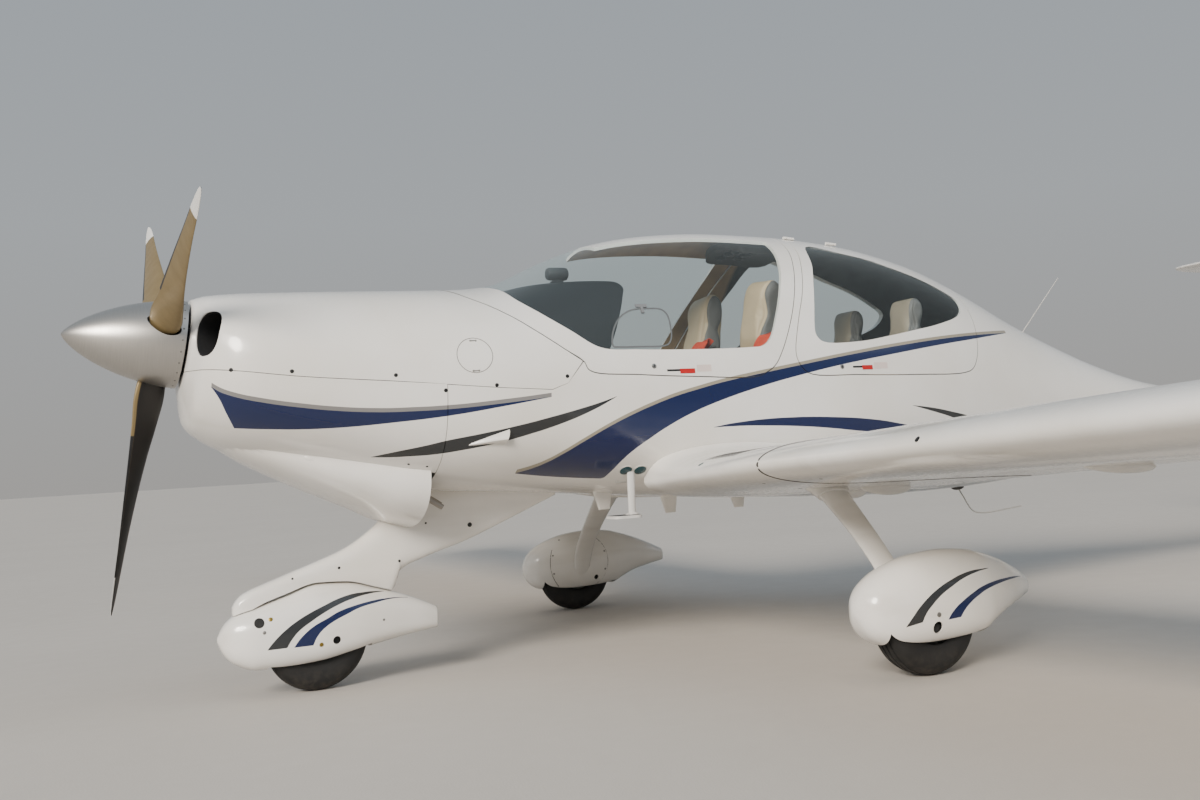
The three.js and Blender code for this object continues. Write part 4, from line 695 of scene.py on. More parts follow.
def clear(name, tint, alpha):
    """Clear acrylic: mostly see-through, with a faint tint and a gloss that grows towards grazing view."""
    tree = Tree(name)
    tree.set(Base_Color=tint, Roughness=0.02)
    tree.shader.inputs["IOR"].default_value = 1.49
    see = tree.node("ShaderNodeBsdfTransparent", Color=alpha)
    gloss = tree.node("ShaderNodeLayerWeight", Blend=0.5)
    steep = tree.math("POWER", gloss.outputs["Facing"], 5.0)
    share = tree.range(steep, 0.0, 1.0, 0.02, 0.36)
    mixer = tree.node("ShaderNodeMixShader")
    tree.feed(mixer.inputs[0], share)
    tree.tree.links.new(see.outputs[0], mixer.inputs[1])
    tree.tree.links.new(tree.shader.outputs[0], mixer.inputs[2])
    tree.tree.links.new(mixer.outputs[0], tree.output.inputs["Surface"])
    return tree.material


livery = paint("livery_paint", stripes=("cowl", "sweep", "body", "flank", "tick"), lines=("cowl", "body"))
white = paint("white_paint")


def cabin_lining():
    """Woven lining: tan round the front seats, dark grey behind them."""
    tree = Tree("cabin_lining")
    _, y, _ = tree.axes()
    worn = tree.range(tree.noise(12, 3), 0.3, 0.7)
    tan = tree.mix(worn, rgb(176, 146, 110), rgb(150, 124, 96))
    grey = tree.mix(worn, rgb(52, 54, 56), rgb(42, 43, 45))
    tree.set(Base_Color=tree.mix(tree.range(y, -1.19, -1.17), tan, grey),
             Roughness=tree.range(worn, 0, 1, 0.78, 0.9))
    tree.bump(tree.noise(380, 3), 0.0005, 0.5)
    return tree.material


lining = cabin_lining()
acrylic = clear("acrylic", rgb(205, 215, 220), rgb(249, 252, 252))
# Near-black finish for the insides of the cowlings, inlets, scoop mouths and gear fairings and their holes:
# painted shade where little light gets in
inner_shade_paint = plain("painted_inner_shade", rgb(26, 26, 27), 0.8)

# The fuselage's outer form

STEP = 20


def nose_lean(y):
    fade = np.clip((FIREWALL_Y - y) / (FIREWALL_Y - 470), 0, 1)
    return math.tan(SHAFT_TILT) * fade


def smoothed(at, column, passes=14, free_from=620):
    """Take the small bumps out of a column read at even steps, leaving the nose bowl alone."""
    made = column.copy()
    for _ in range(passes):
        soft = made.copy()
        soft[1:-1] = (made[:-2] + 2 * made[1:-1] + made[2:]) / 4
        made = np.where(at > free_from, soft, made)
    return made


GRID = np.arange(FUSELAGE[0, 0], FUSELAGE[-1, 0] + 1, STEP)
EVEN = [smoothed(GRID, column) for column in columns_at(FUSELAGE, GRID)]


def round_ring(y, section, inset, count, lean=0.0, x0=0.0):
    top, bottom, wide, half, upper, lower = section
    angle = 2 * np.pi * np.arange(count) / count + np.pi / 2
    c, s = np.cos(angle), np.sin(angle)
    power = np.where(s >= 0, 2 / upper, 2 / lower)
    reach = np.where(s >= 0, top - inset - wide, wide - bottom - inset)
    x = x0 + np.sign(c) * (half - inset) * np.abs(c) ** power
    z = wide + np.sign(s) * reach * np.abs(s) ** power
    return np.stack([x, y + lean * (z - wide), z], 1)


def fuselage_section(y):
    if y < 620:
        return [float(v[0]) for v in columns_at(FUSELAGE, [y])]
    return [float(np.interp(y, GRID, column)) for column in EVEN]


def fuselage_form(start, end, inset, count=176, step=38.0, name="form"):
    stations = [start]
    y = start
    while y < end - step * 0.6:
        y += min(step, max(6.0, (y - 380) * 0.12))
        stations.append(min(y, end))
    if stations[-1] < end:
        stations.append(end)
    return loft(name, [round_ring(y, fuselage_section(y), inset, count, nose_lean(y)) for y in stations])


def table_form(rows, inset=0.0, count=64, steps=40, name="form", x0=None):
    """A smooth form through rows of station, top, bottom, widest height, half width and two roundnesses."""
    rows = np.asarray(rows, float)
    t = np.linspace(0, 1, steps)
    ease = 0.5 - 0.5 * np.cos(np.pi * t)
    at = rows[0, 0] + (rows[-1, 0] - rows[0, 0]) * (0.6 * t + 0.4 * ease)
    columns = columns_at(rows, at)
    shift = np.zeros(steps) if x0 is None else curve_at(rows[:, 0], x0, at)
    return loft(name, [
        round_ring(y, [c[i] for c in columns], inset, count, x0=shift[i]) for i, y in enumerate(at)])


outer = fuselage_form(395, BOOM_END_Y, 0, name="outer")
outer_reference = Reference(outer)
cabin_void = fuselage_form(FIREWALL_Y + 25, 4300, 25, count=112, step=60, name="void")
cabin_reference = Reference(cabin_void, material=1, flip=True)
cowl_void = fuselage_form(452, FIREWALL_Y + 10, 10, count=96, step=60)
skin_void = fuselage_form(1205, 4150, 9, count=128, step=50, name="skin_void")
skin_reference = Reference(skin_void, material=1, flip=True)
glass_void = fuselage_form(1300, 3900, 5, count=176, name="glass_void")
glass_reference = Reference(glass_void, material=0, flip=True)


def canopy_outline(gap):
    line = through([*reversed(CANOPY_FRONT), *CANOPY_BOTTOM, *CANOPY_AFT], 7)
    closed = [(line[0][0], OVER_ROOF), *line, (line[-1][0], OVER_ROOF)]
    return offset(closed, gap) if gap else closed


def door_outline(gap):
    line = through([*DOOR_FRONT, *DOOR_BOTTOM, *DOOR_AFT], 7)
    closed = [(line[0][0], OVER_ROOF), *line, (line[-1][0], OVER_ROOF)]
    return offset(closed, gap) if gap else closed


glass_line = through([*GLASS_FRONT, *GLASS_BOTTOM, *GLASS_AFT], 7)
glass_outline = [(glass_line[0][0], OVER_ROOF), *glass_line, (glass_line[-1][0], OVER_ROOF)]
rear_glass_outline = through(REAR_GLASS, 5, closed=True)
roof_line = through(ROOF_STRIP, 6)
roof_outline = [*roof_line, *[(-x, y) for x, y in reversed(roof_line)]]


def build_canopy():
    skin = common(outer, side_prism(canopy_outline(0), -WIDE, WIDE))
    opening = cut(side_prism(glass_outline, -WIDE, WIDE), plan_prism(roof_outline, 1450, OVER_ROOF))
    frame_shell = largest(cut(skin, fuselage_form(1210, 3900, 14, count=128, step=50), opening))
    inside = Reference(fuselage_form(1210, 3900, 14, count=128, step=50), material=1, flip=True)
    add("canopy_frame_shell", frame_shell, [livery, lining], "canopy", ["canopy_frame"],
        [outer_reference, inside])
    pane = common(cut(skin, glass_void), side_prism(offset(glass_outline, -1.5), -WIDE, WIDE))
    wider = plan_prism(offset(roof_outline, 1.5), 1450, OVER_ROOF)
    add("canopy_pane", largest(cut(pane, wider)), acrylic, "canopy", ["canopy_glass"],
        [outer_reference, glass_reference])


def build_rear_door():
    skin = common(outer, side_prism(door_outline(0), DOOR_INNER_X, WIDE))
    opening = side_prism(rear_glass_outline, GLASS_INNER_X, WIDE)
    add("rear_door_shell", largest(cut(skin, skin_void, opening)), [livery, lining], "rear_door",
        ["rear_door"], [outer_reference, skin_reference])
    pane = common(cut(outer, glass_void),
                  side_prism(offset(rear_glass_outline, -1.5), GLASS_INNER_X + 1.5, WIDE))
    pane = largest(pane)
    other = mirrored(pane)
    add("rear_door_pane", pane, acrylic, "rear_door", ["rear_door_glass"],
        [outer_reference, glass_reference])
    add("rear_window_pane", other, acrylic, "airframe", ["rear_window_right"],
        [outer_reference, glass_reference])


# Wing sections: span place, leading edge station and height, chord, thickness ratio and camber
WING_DROP = math.radians(4.9)
STUB_END_X = 1350
SPAN_END = 5815
WING = np.array([
    (0, 1850, 657, 1500, 0.118, 0.024),
    (520, 1880, 669, 1450, 0.118, 0.024),
    (680, 1935, 679, 1340, 0.120, 0.024),
    (900, 1950, 690, 1300, 0.120, 0.024),
    (STUB_END_X, 1962, 712, 1242, 0.123, 0.024),
    (3100, 1995, 787, 1150, 0.148, 0.024),
    (5200, 2040, 887, 960, 0.140, 0.022),
    (5560, 2075, 907, 860, 0.125, 0.015),
    (5730, 2190, 949, 640, 0.110, 0.010),
    (SPAN_END, 2400, 1040, 330, 0.090, 0.000),
])


def aerofoil(steps):
    """Chord and thickness fractions round a wing section, from the tail over the top and back below."""
    chord = 0.5 * (1 + np.cos(np.pi * np.arange(steps + 1) / steps))
    half = 5 * (0.2969 * np.sqrt(chord) - 0.126 * chord - 0.3516 * chord**2 + 0.2843 * chord**3 - 0.0985
                * chord**4)
    return np.concatenate([chord, chord[-2::-1]]), np.concatenate([half, -half[-2::-1]])


# The root's leading edge sweeps back into the fuselage side
WING_ROOT = np.array([
    (0, 1985, 657, 1365, 0.122, 0.024),
    (520, 1995, 669, 1335, 0.122, 0.024),
    (680, 1985, 679, 1290, 0.122, 0.024),
    (900, 1975, 690, 1275, 0.121, 0.024),
    (STUB_END_X, 1962, 712, 1242, 0.123, 0.024),
    (3100, 1995, 787, 1150, 0.148, 0.024),
])


def wing_section(x):
    table = WING_ROOT if x < STUB_END_X else WING
    return [float(v[0]) for v in columns_at(table, [x])]


def camber_line(chord, camber):
    return camber * 4 * chord * (1 - chord)


def span_ring(x, y, z, chord, thick, camber, drop, steps):
    c, t = aerofoil(steps)
    height = chord * (t * thick + camber_line(c, camber))
    return np.stack([
        np.full(len(c), float(x)),
        y + c * chord * math.cos(drop) + height * math.sin(drop),
        z - c * chord * math.sin(drop) + height * math.cos(drop),
    ], 1)


def wing_form(start, end, steps=34, name="wing"):
    spans = np.concatenate([np.arange(start, min(end, 5200), 120), np.arange(5200, end, 18) if end > 5200
                            else [], [end]])
    return loft(name, [span_ring(x, *wing_section(x), WING_DROP, steps) for x in spans])


def build_fuselage():
    behind = side_prism([
        (FIREWALL_Y, 300), (7600, 300), (7600, 1900), (1900, 1900), (1290, 1480),
        *list(reversed(through(CANOPY_FRONT, 7)))[6:],
        (1640, 1045 - 1), *[(y, z - SEAM_GAP) for y, z in reversed(COWL_SPLIT[4:6])],
        (FIREWALL_Y, 1056 - SEAM_GAP),
    ], -WIDE, WIDE)
    body = cut(common(outer, behind), cabin_void)
    body = cut(
        body, side_prism(canopy_outline(PANEL_GAP), -WIDE, WIDE),
        side_prism(door_outline(PANEL_GAP), DOOR_INNER_X - PANEL_GAP, WIDE),
        side_prism(rear_glass_outline, -WIDE, -GLASS_INNER_X),
    )
    add("fuselage_shell", largest(body), [livery, lining], "airframe", ["fuselage"],
        [outer_reference, cabin_reference])
    band = cut(fuselage_form(1240, 4150, 1.6, count=128, step=30),
               fuselage_form(1235, 4160, 9, count=96, step=50))
    seal = plain("seal_rubber", rgb(44, 44, 45), 0.75, grain=120)
    canopy_seal = cut(common(band, side_prism(canopy_outline(PANEL_GAP), -WIDE, WIDE)),
                      side_prism(canopy_outline(1.4), -WIDE, WIDE))
    door_seal = cut(common(band, side_prism(door_outline(PANEL_GAP), DOOR_INNER_X - PANEL_GAP, WIDE)),
                    side_prism(door_outline(1.4), DOOR_INNER_X - 1.4, WIDE))
    add("canopy_seal", canopy_seal, seal, "airframe")
    add("door_seal", door_seal, seal, "airframe")


build_canopy()
build_rear_door()
build_fuselage()

# Cowlings

SCOOP = np.array([
    (430, 1020, 958, 985, 60, 2.2, 2.2),
    (520, 990, 872, 930, 150, 2.3, 2.3),
    (750, 940, 742, 840, 255, 2.4, 2.4),
    (980, 900, 633, 765, 318, 2.4, 2.4),
    (1090, 860, 578, 745, 345, 2.4, 2.4),
    (1180, 830, 549, 742, 364, 2.4, 2.3),
])
SIDE_INLET = {"x": 268, "y": 440, "z": 1268, "across": 64, "up": 79, "length": 260, "turn": 24, "lean": 0.13}
COWL_AFT = [(y - 6 - max(0, z - 1400) * 0.12, z) for y, z in CANOPY_FRONT]


def inlet_cutter(spec, side, grow=0.0):
    turn = math.radians(side * spec["turn"])
    angle = np.linspace(0, 2 * np.pi, 48, endpoint=False)
    x = np.sign(np.cos(angle)) * np.abs(np.cos(angle)) ** 0.85 * (spec["across"] + grow)
    z = np.sign(np.sin(angle)) * np.abs(np.sin(angle)) ** 0.85 * (spec["up"] + grow)
    rings = []
    for along in (-spec["length"] / 2, spec["length"] / 2):
        rings.append(np.stack([
            side * (spec["x"] - z * spec["lean"]) + x * math.cos(turn) - along * math.sin(turn),
            spec["y"] + x * math.sin(turn) + along * math.cos(turn),
            spec["z"] + z,
        ], 1))
    return loft("inlet", rings)


def shaft_point(along):
    return np.array([0, math.cos(SHAFT_TILT) * along, 1300 - math.sin(SHAFT_TILT) * along])


def lower_outline(gap):
    split = [(y, z - gap) for y, z in through(COWL_SPLIT[:4], 5)]
    back = FIREWALL_Y - gap
    return [(250, 1160), *split, (back, 1056), (back, 400), (250, 400)]


def build_cowlings():
    split = through(COWL_SPLIT[:6], 5)
    upper_region = side_prism([(250, 1800), (250, 1160), *split, COWL_SPLIT[6], *through(COWL_AFT, 7),
                               (1255, 1800)],
                              -WIDE, WIDE)
    lower_region = side_prism(lower_outline(SEAM_GAP), -WIDE, WIDE)
    inlets = [inlet_cutter(SIDE_INLET, 1), inlet_cutter(SIDE_INLET, -1)]
    below_skin = fuselage_form(395, 700, 11, count=96, step=30)
    sleeves = [common(cut(inlet_cutter(spec, side, 0.1), inlet_cutter(spec, side, -4)), below_skin)
               for spec, side in ((SIDE_INLET, 1), (SIDE_INLET, -1))]
    backs = [common(inlet_cutter(spec, side, 0.1), below_skin, block(-700, 700, 495, 500, 700, 1600))
             for spec, side in ((SIDE_INLET, 1), (SIDE_INLET, -1))]
    # The inlet sleeves and their back walls are near-black: painted shade deep inside the inlets
    add("inlet_sleeves", gathered([*sleeves, *backs]), inner_shade_paint, "airframe")
    shaft_hole = rod(shaft_point(370), shaft_point(520), 120, sides=64)
    deck = fuselage_form(FIREWALL_Y - 50, 1800, 10, count=96, step=60)
    upper = cut(common(outer, upper_region), cowl_void, deck, shaft_hole, *inlets)
    inner = Reference(cowl_void, material=1, flip=True)
    # The cowling's inner faces take the near-black finish: painted shade inside the cowling
    add("upper_cowling_shell", largest(upper), [livery, inner_shade_paint], "airframe",
        ["upper_cowling"],
        [outer_reference, inner])
    scoop = table_form(SCOOP, count=96, steps=30)
    scoop_reference = Reference(scoop)
    scoop_void = table_form(np.vstack([SCOOP[1:-1], SCOOP[-1] + np.array([20, 0, 0, 0, 0, 0, 0])]), 10, 80,
                            24)
    body = common(joined(common(outer, side_prism(lower_outline(0), -WIDE, WIDE)), scoop), lower_region)
    lower = cut(body, cowl_void, scoop_void, shaft_hole, *inlets)
    # The inner faces here also take the near-black finish: painted shade inside the cowling and scoop
    add("lower_cowling_shell", largest(lower), [livery, inner_shade_paint], "airframe",
        ["lower_cowling"],
        [outer_reference, scoop_reference, inner, Reference(scoop_void, material=1, flip=True)])


# Wings and their control surfaces

# Each control's hinge line is its joint's axis
FLAP = {
    "line": ((1358, 2904.160, 653.405), (3186, 2863.459, 736.806)),
    "start": STUB_END_X + 8, "end": 3186, "hinge": 0.76, "gap": 9, "hinges": (0.36, 0.86),
}
AILERON = {
    "line": ((3202, 2885.334, 734.501), (5200, 2787.302, 837.484)),
    "start": 3202, "end": 5200, "hinge": 0.78, "gap": 8, "hinges": (0.18, 0.82),
}
END_GAP = 10
HINGE = {"width": 14, "pin": 4, "eye": 12, "side": 3, "back": 5, "seat": 9, "clear": 6}


def nose_radius(x, share):
    _, _, chord, thick, _ = wing_section(x)
    shape = 5 * (0.2969 * math.sqrt(share) - 0.126 * share - 0.3516 * share**2 + 0.2843 * share**3 - 0.0985
                 * share**4)
    return 0.97 * chord * thick * shape


def hinge_box(at, axis, ahead, width, height, start, end):
    up = np.cross(axis, ahead)
    corners = [at + axis * (u * width / 2) + up * (w * height / 2) + ahead * v
               for u in (-1, 1) for v in (start, end) for w in (-1, 1)]
    faces = [(0, 1, 3, 2), (4, 6, 7, 5), (0, 4, 5, 1), (2, 3, 7, 6), (0, 2, 6, 4), (1, 5, 7, 3)]
    return mesh_of("arm", np.array(corners), faces)


def with_hinge(moving, fixed, at, axis, ahead, radius, reach):
    """The fixed side's arm ends in an eye round a pin that the moving surface carries in a slot."""
    eye = min(HINGE["eye"], radius - HINGE["clear"])
    tall = 2 * (radius + HINGE["clear"])
    slot = hinge_box(at, axis, ahead, HINGE["width"] + 2 * HINGE["side"], tall, -eye - HINGE["back"],
                     radius + HINGE["clear"])
    half = HINGE["width"] / 2
    pin = rod(at - axis * (half + HINGE["seat"]), at + axis * (half + HINGE["seat"]), HINGE["pin"])
    bore = rod(at - axis * HINGE["width"], at + axis * HINGE["width"], HINGE["pin"] + 0.3)
    arm = joined(hinge_box(at, axis, ahead, HINGE["width"], eye * 1.4, 0, reach),
                 rod(at - axis * half, at + axis * half, eye))
    return joined(cut(moving, slot), pin), joined(fixed, cut(arm, bore))


def cut_control(wing, spec):
    a, b = (np.array(point, float) for point in spec["line"])
    slope = (b[1] - a[1]) / (b[0] - a[0])

    def behind(x0, x1):
        return plan_prism([(x0, a[1] + slope * (x0 - a[0])), (x1, a[1] + slope * (x1 - a[0])), (x1, 4200),
                           (x0, 4200)],
                          200, 1500)

    radii = [nose_radius(spec["start"], spec["hinge"]), nose_radius(spec["end"], spec["hinge"])]
    axis = (b - a) / np.linalg.norm(b - a)
    nose = rod(a, b, *radii, sides=48)
    cove = rod(a - axis * END_GAP, b + axis * END_GAP, radii[0] + spec["gap"], radii[1] + spec["gap"],
               sides=48)
    slab = block(spec["start"], spec["end"], 1500, 4200, 200, 1500)
    control = largest(joined(common(wing, behind(spec["start"], spec["end"])), common(wing, nose, slab)))
    rest = largest(cut(wing, behind(spec["start"] - END_GAP, spec["end"] + END_GAP), cove))
    ahead = np.cross(axis, (0, 0, 1))
    ahead /= np.linalg.norm(ahead)
    if ahead[1] > 0:
        ahead = -ahead
    for share in spec["hinges"]:
        radius = radii[0] + (radii[1] - radii[0]) * share
        control, rest = with_hinge(control, rest, a + (b - a) * share, axis, ahead, radius,
                                   radius + spec["gap"] + 6)
    return control, rest


def build_wings():
    outer_wing = wing_form(STUB_END_X + 0.8, SPAN_END)
    reference = Reference(outer_wing)
    flap, rest = cut_control(outer_wing, FLAP)
    aileron, rest = cut_control(rest, AILERON)
    other = Reference(mirrored(outer_wing))
    for name, mesh, share in (("wing", rest, 0), ("flap", flap, 1), ("aileron", aileron, 1)):
        for side, made, smooth in (("left", mesh, reference), ("right", mirrored(mesh), other)):
            body = f"{name}_{side}" if share else "airframe"
            add(f"{name}_{side}_skin", made, white, body, [f"{name}_{side}"], [smooth])


STUB_FLARE = [(480, 90), (540, 52), (600, 28), (660, 14), (740, 4), (820, 0), (1400, 0)]


def build_stubs():
    spans = np.concatenate([np.arange(430, 800, 18), np.arange(800, STUB_END_X, 60), [STUB_END_X]])
    rings = []
    for x in spans:
        y, z, chord, thick, camber = wing_section(x)
        flare = float(np.interp(x, *zip(*STUB_FLARE)))
        ring = span_ring(x, y, z, chord, thick, camber, WING_DROP, 34)
        _, t = aerofoil(34)
        ring[:, 2] += flare * np.where(t > 0, np.sqrt(np.abs(t) * 2), 0)
        rings.append(ring)
    form = loft("stub", rings)
    stub = largest(cut(form, fuselage_form(FIREWALL_Y, 4200, -0.5, step=50)))
    other = mirrored(stub)
    add("wing_stub_left_skin", stub, white, "airframe", ["wing_stub_left"], [Reference(form)])
    add("wing_stub_right_skin", other, white, "airframe", ["wing_stub_right"],
        [Reference(mirrored(form))])


# Tail

FIN = np.array([
    # height, leading edge, chord, thickness ratio
    (700, 6560, 1330, 0.075),
    (880, 6800, 1115, 0.085),
    (1100, 6990, 960, 0.090),
    (1500, 7230, 780, 0.090),
    (1860, 7370, 670, 0.090),
])
FIN_TOP_DROP = {"y": 7785, "low": 1842}
RUDDER_HINGE = {"y0": 7590, "z0": 690, "y1": 7850, "z1": 1800}
RUDDER = {"bottom": 706, "top": 1788, "low": 26, "high": 18, "gap": 8, "start": 650, "end": 1830,
          "hinges": (900, 1600)}
TAIL_Z = 1905
TAIL_DROP = math.radians(2)
TAIL_FRONT = 7330
TAILPLANE = np.array([
    (0, TAIL_FRONT, TAIL_Z, 730 / math.cos(TAIL_DROP), 0.090),
    (1480, 7400, TAIL_Z - 6, 540, 0.090),
    (1600, 7430, TAIL_Z - 7, 480, 0.085),
    (1645, 7480, TAIL_Z - 8, 400, 0.060),
])
ELEVATOR = {"y": 7790, "nose": 17, "arm": 32, "hinges": (-900, 900)}
BULLET = np.array([
    (7300, 1908, 1900, 1904, 4, 2, 2),
    (7340, 1936, 1874, 1904, 26, 2, 2),
    (7460, 1970, 1850, 1904, 44, 2, 2),
    (7620, 1966, 1850, 1904, 44, 2, 2),
    (7770, 1938, 1860, 1902, 30, 2, 2),
])
TAIL_REACH = 200


def rudder_y(z):
    return np.interp(z, [RUDDER_HINGE["z0"], RUDDER_HINGE["z1"]],
                     [RUDDER_HINGE["y0"], RUDDER_HINGE["y1"]]) + (
        (z - RUDDER_HINGE["z0"]) * 0 if RUDDER_HINGE["z0"] <= z <= RUDDER_HINGE["z1"] else
        (z - (RUDDER_HINGE["z0"] if z < RUDDER_HINGE["z0"] else RUDDER_HINGE["z1"])) * 260 / 1110)


def fin_form():
    c, t = aerofoil(30)
    rings = []
    for z in np.linspace(700, 1860, 40):
        y, chord, thick = [float(v[0]) for v in columns_at(FIN, [z])]
        rings.append(np.stack([t * thick * chord, y + c * chord, np.full(len(c), z)], 1))
    return loft("fin", rings)


def tail_form():
    spans = np.concatenate([np.linspace(0, 1480, 14), np.linspace(1500, 1645, 12)])
    port = []
    for x in spans:
        y, z, chord, thick = [float(v[0]) for v in columns_at(TAILPLANE, [x])]
        port.append(span_ring(x, y, z, chord, thick, 0, TAIL_DROP, 30))
    starboard = [ring * np.array([-1, 1, 1]) for ring in reversed(port[1:])]
    return loft("tailplane", [*starboard, *port])


def build_tail():
    fin = fin_form()
    fin_reference = Reference(fin)

    def behind(bottom, top):
        return side_prism([(rudder_y(bottom), bottom), (8400, bottom), (8400, top), (rudder_y(top), top)],
                          -TAIL_REACH, TAIL_REACH)

    ends = [np.array([0, rudder_y(z), z]) for z in (RUDDER["start"], RUDDER["end"])]
    nose = rod(*ends, RUDDER["low"], RUDDER["high"], sides=40)
    cove = rod(*ends, RUDDER["low"] + RUDDER["gap"], RUDDER["high"] + RUDDER["gap"], sides=40)
    band = block(-TAIL_REACH, TAIL_REACH, 6000, 8400, RUDDER["bottom"], RUDDER["top"])
    rudder = largest(joined(common(fin, behind(RUDDER["bottom"], RUDDER["top"])), common(fin, nose, band)))
    rest = largest(cut(fin, behind(500, 2100), cove))
    axis = (ends[1] - ends[0]) / np.linalg.norm(ends[1] - ends[0])
    ahead = np.array([0, -axis[2], axis[1]])
    for z in RUDDER["hinges"]:
        share = (z - RUDDER["start"]) / (RUDDER["end"] - RUDDER["start"])
        radius = RUDDER["low"] + (RUDDER["high"] - RUDDER["low"]) * share
        rudder, rest = with_hinge(rudder, rest, np.array([0, rudder_y(z), z]), axis, ahead, radius,
                                  radius + RUDDER["gap"] + 6)
    under = side_prism([
        (6000, 500), (8400, 500), (8400, FIN_TOP_DROP["low"] - 30),
        (FIN_TOP_DROP["y"] + 90, FIN_TOP_DROP["low"]),
        (FIN_TOP_DROP["y"], 1862), (6000, 1862)], -TAIL_REACH, TAIL_REACH)
    bullet = table_form(BULLET, count=48, steps=30)
    tail = tail_form()
    tail_reference = Reference(tail)
    hinge_z = TAIL_Z - (ELEVATOR["y"] - TAIL_FRONT) * math.sin(TAIL_DROP)
    behind_hinge = block(-3300, 3300, ELEVATOR["y"], 8400, TAIL_Z - TAIL_REACH, TAIL_Z + TAIL_REACH)

    def hinge_rod(reach, radius):
        return rod((-1645 - reach, ELEVATOR["y"], hinge_z), (1645 + reach, ELEVATOR["y"], hinge_z), radius,
                   sides=32)

    elevator = largest(joined(common(tail, behind_hinge), common(tail, hinge_rod(0, ELEVATOR["nose"]))))
    elevator_cove = hinge_rod(END_GAP, ELEVATOR["nose"] + 7)
    plane = largest(cut(tail, behind_hinge, elevator_cove))
    for x in ELEVATOR["hinges"]:
        elevator, plane = with_hinge(elevator, plane, np.array([x, ELEVATOR["y"], hinge_z]),
                                     np.array([1.0, 0, 0]),
                                     np.array([0, -1.0, 0]), ELEVATOR["nose"], ELEVATOR["arm"])
    saddle_region = block(-TAIL_REACH, TAIL_REACH, 6000, 8400, TAIL_Z - TAIL_REACH, 2100)
    fin_body = cut(joined(common(rest, under), bullet), common(tail, saddle_region), elevator_cove)
    add("fin_skin", largest(fin_body), white, "airframe", (),
        [fin_reference, Reference(bullet)])
    add("rudder_skin", rudder, white, "rudder", ["rudder"], [fin_reference])
    add("tailplane_skin", plane, white, "airframe", ["tailplane"], [tail_reference])
    add("elevator_skin", elevator, white, "elevator", ["elevator"], [tail_reference])
    ventral = side_prism(through([(7050, 690), (7250, 470), (7330, 440), (7420, 450), (7500, 560)],
                                 6) + [(7500, 690)],
                         -13, 13)
    add("ventral_fin", cut(ventral, rod((0, 7575, 620), (0, 7600, 720), 60, sides=32)), white, "airframe")


# Propeller

SPINNER = {"length": 386, "radius": 157}
HUB_STATION = 290
BLADES = np.array([
    # radius, chord, thickness, pitch, sweep
    (90, 70, 58, 68, 18),
    (160, 112, 44, 62, 22),
    (210, 120, 36, 58, 22),
    (290, 108, 28, 53, 21),
    (410, 100, 20, 41, 17),
    (560, 84, 14, 33, 11),
    (710, 64, 10, 28, 6),
    (860, 44, 7, 25, 1),
    (950, 18, 4, 24, -3),
])
BLADE_ANGLES = (66, -54, 186)


def spinner_profile(steps, grow=0.0):
    t = np.linspace(0, 1, steps) ** 1.5
    radius = SPINNER["radius"] * (1 - (1 - t) ** 1.75) ** 0.72
    return [(along * SPINNER["length"], r + grow if r else 0.05) for along, r in zip(t, radius)]


def blade_mesh(angle, grow=0.0, stations=60):
    radii = np.linspace(BLADES[0, 0], BLADES[-1, 0], stations)
    chord, thick, pitch, sweep = columns_at(BLADES, radii)
    tip = np.clip((radii - 925) / 25, 0, 1)
    chord = chord * np.sqrt(1 - 0.75 * tip**2)
    spin, tilt = math.radians(angle), -SHAFT_TILT
    out = np.array([math.sin(spin), 0, math.cos(spin)])
    across = np.array([math.cos(spin), 0, -math.sin(spin)])
    back = np.array([0, 1, 0])
    turn = np.array([[1, 0, 0], [0, math.cos(tilt), -math.sin(tilt)], [0, math.sin(tilt), math.cos(tilt)]])
    hub = shaft_point(HUB_STATION)
    a = np.linspace(0, 2 * np.pi, 36, endpoint=False)
    rings = []
    for i, r in enumerate(radii):
        p = math.radians(pitch[i])
        u = sweep[i] + (chord[i] / 2 + grow) * np.cos(a)
        v = (thick[i] / 2 + grow) * np.sin(a) * (1 + 0.25 * np.cos(a)) * np.abs(np.sin(a / 2)) ** 0.15
        x, y = u * math.cos(p) - v * math.sin(p), u * math.sin(p) + v * math.cos(p)
        ring = np.outer(x, across) + np.outer(y, back) + out * r
        rings.append(hub + ring @ turn.T)
    mesh = loft("blade", rings)
    values = np.concatenate([np.repeat(radii, 36), radii[[0, -1]]])
    lead = np.concatenate([np.tile(np.cos(a), stations), [0, 0]])
    aft = np.concatenate([np.tile(np.sin(a), stations), [0, 0]])
    for key, data in (("span_mm", values), ("lead", lead), ("aft", aft)):
        layer = mesh.attributes.new(key, "FLOAT", "POINT")
        layer.data.foreach_set("value", data.astype(np.float32))
    return mesh


def blade_paint():
    tree = Tree("blade_paint")
    span = tree.node("ShaderNodeAttribute")
    span.attribute_name = "span_mm"
    lead = tree.node("ShaderNodeAttribute")
    lead.attribute_name = "lead"
    along, side = span.outputs["Fac"], lead.outputs["Fac"]
    grain = tree.noise(30, 4, stretch=(1, 1, 0.2))
    behind = tree.node("ShaderNodeAttribute")
    behind.attribute_name = "aft"
    colour = tree.mix(tree.range(grain, 0.2, 0.8), rgb(140, 121, 84), rgb(126, 109, 75))
    strip = tree.math("MULTIPLY", tree.range(side, -0.80, -0.84), tree.range(along, 330, 334), clamp=True)
    colour = tree.mix(strip, colour, rgb(46, 46, 48))
    tip = tree.range(along, 818, 821)
    colour = tree.mix(tip, colour, rgb(226, 224, 220))
    dark_face = tree.math("MULTIPLY", tree.range(behind.outputs["Fac"], 0.02, 0.05),
                          tree.range(side, -0.84, -0.80),
                          clamp=True)
    colour = tree.mix(dark_face, colour, rgb(34, 32, 31))
    metal = tree.math("MULTIPLY", tree.math("SUBTRACT", 1.0, tip), 0.35)
    tree.set(Base_Color=colour, Metallic=metal, Roughness=tree.range(grain, 0.3, 0.7, 0.32, 0.42))
    tree.bump(tree.noise(220, 2), 0.0001, 0.4)
    return tree.material


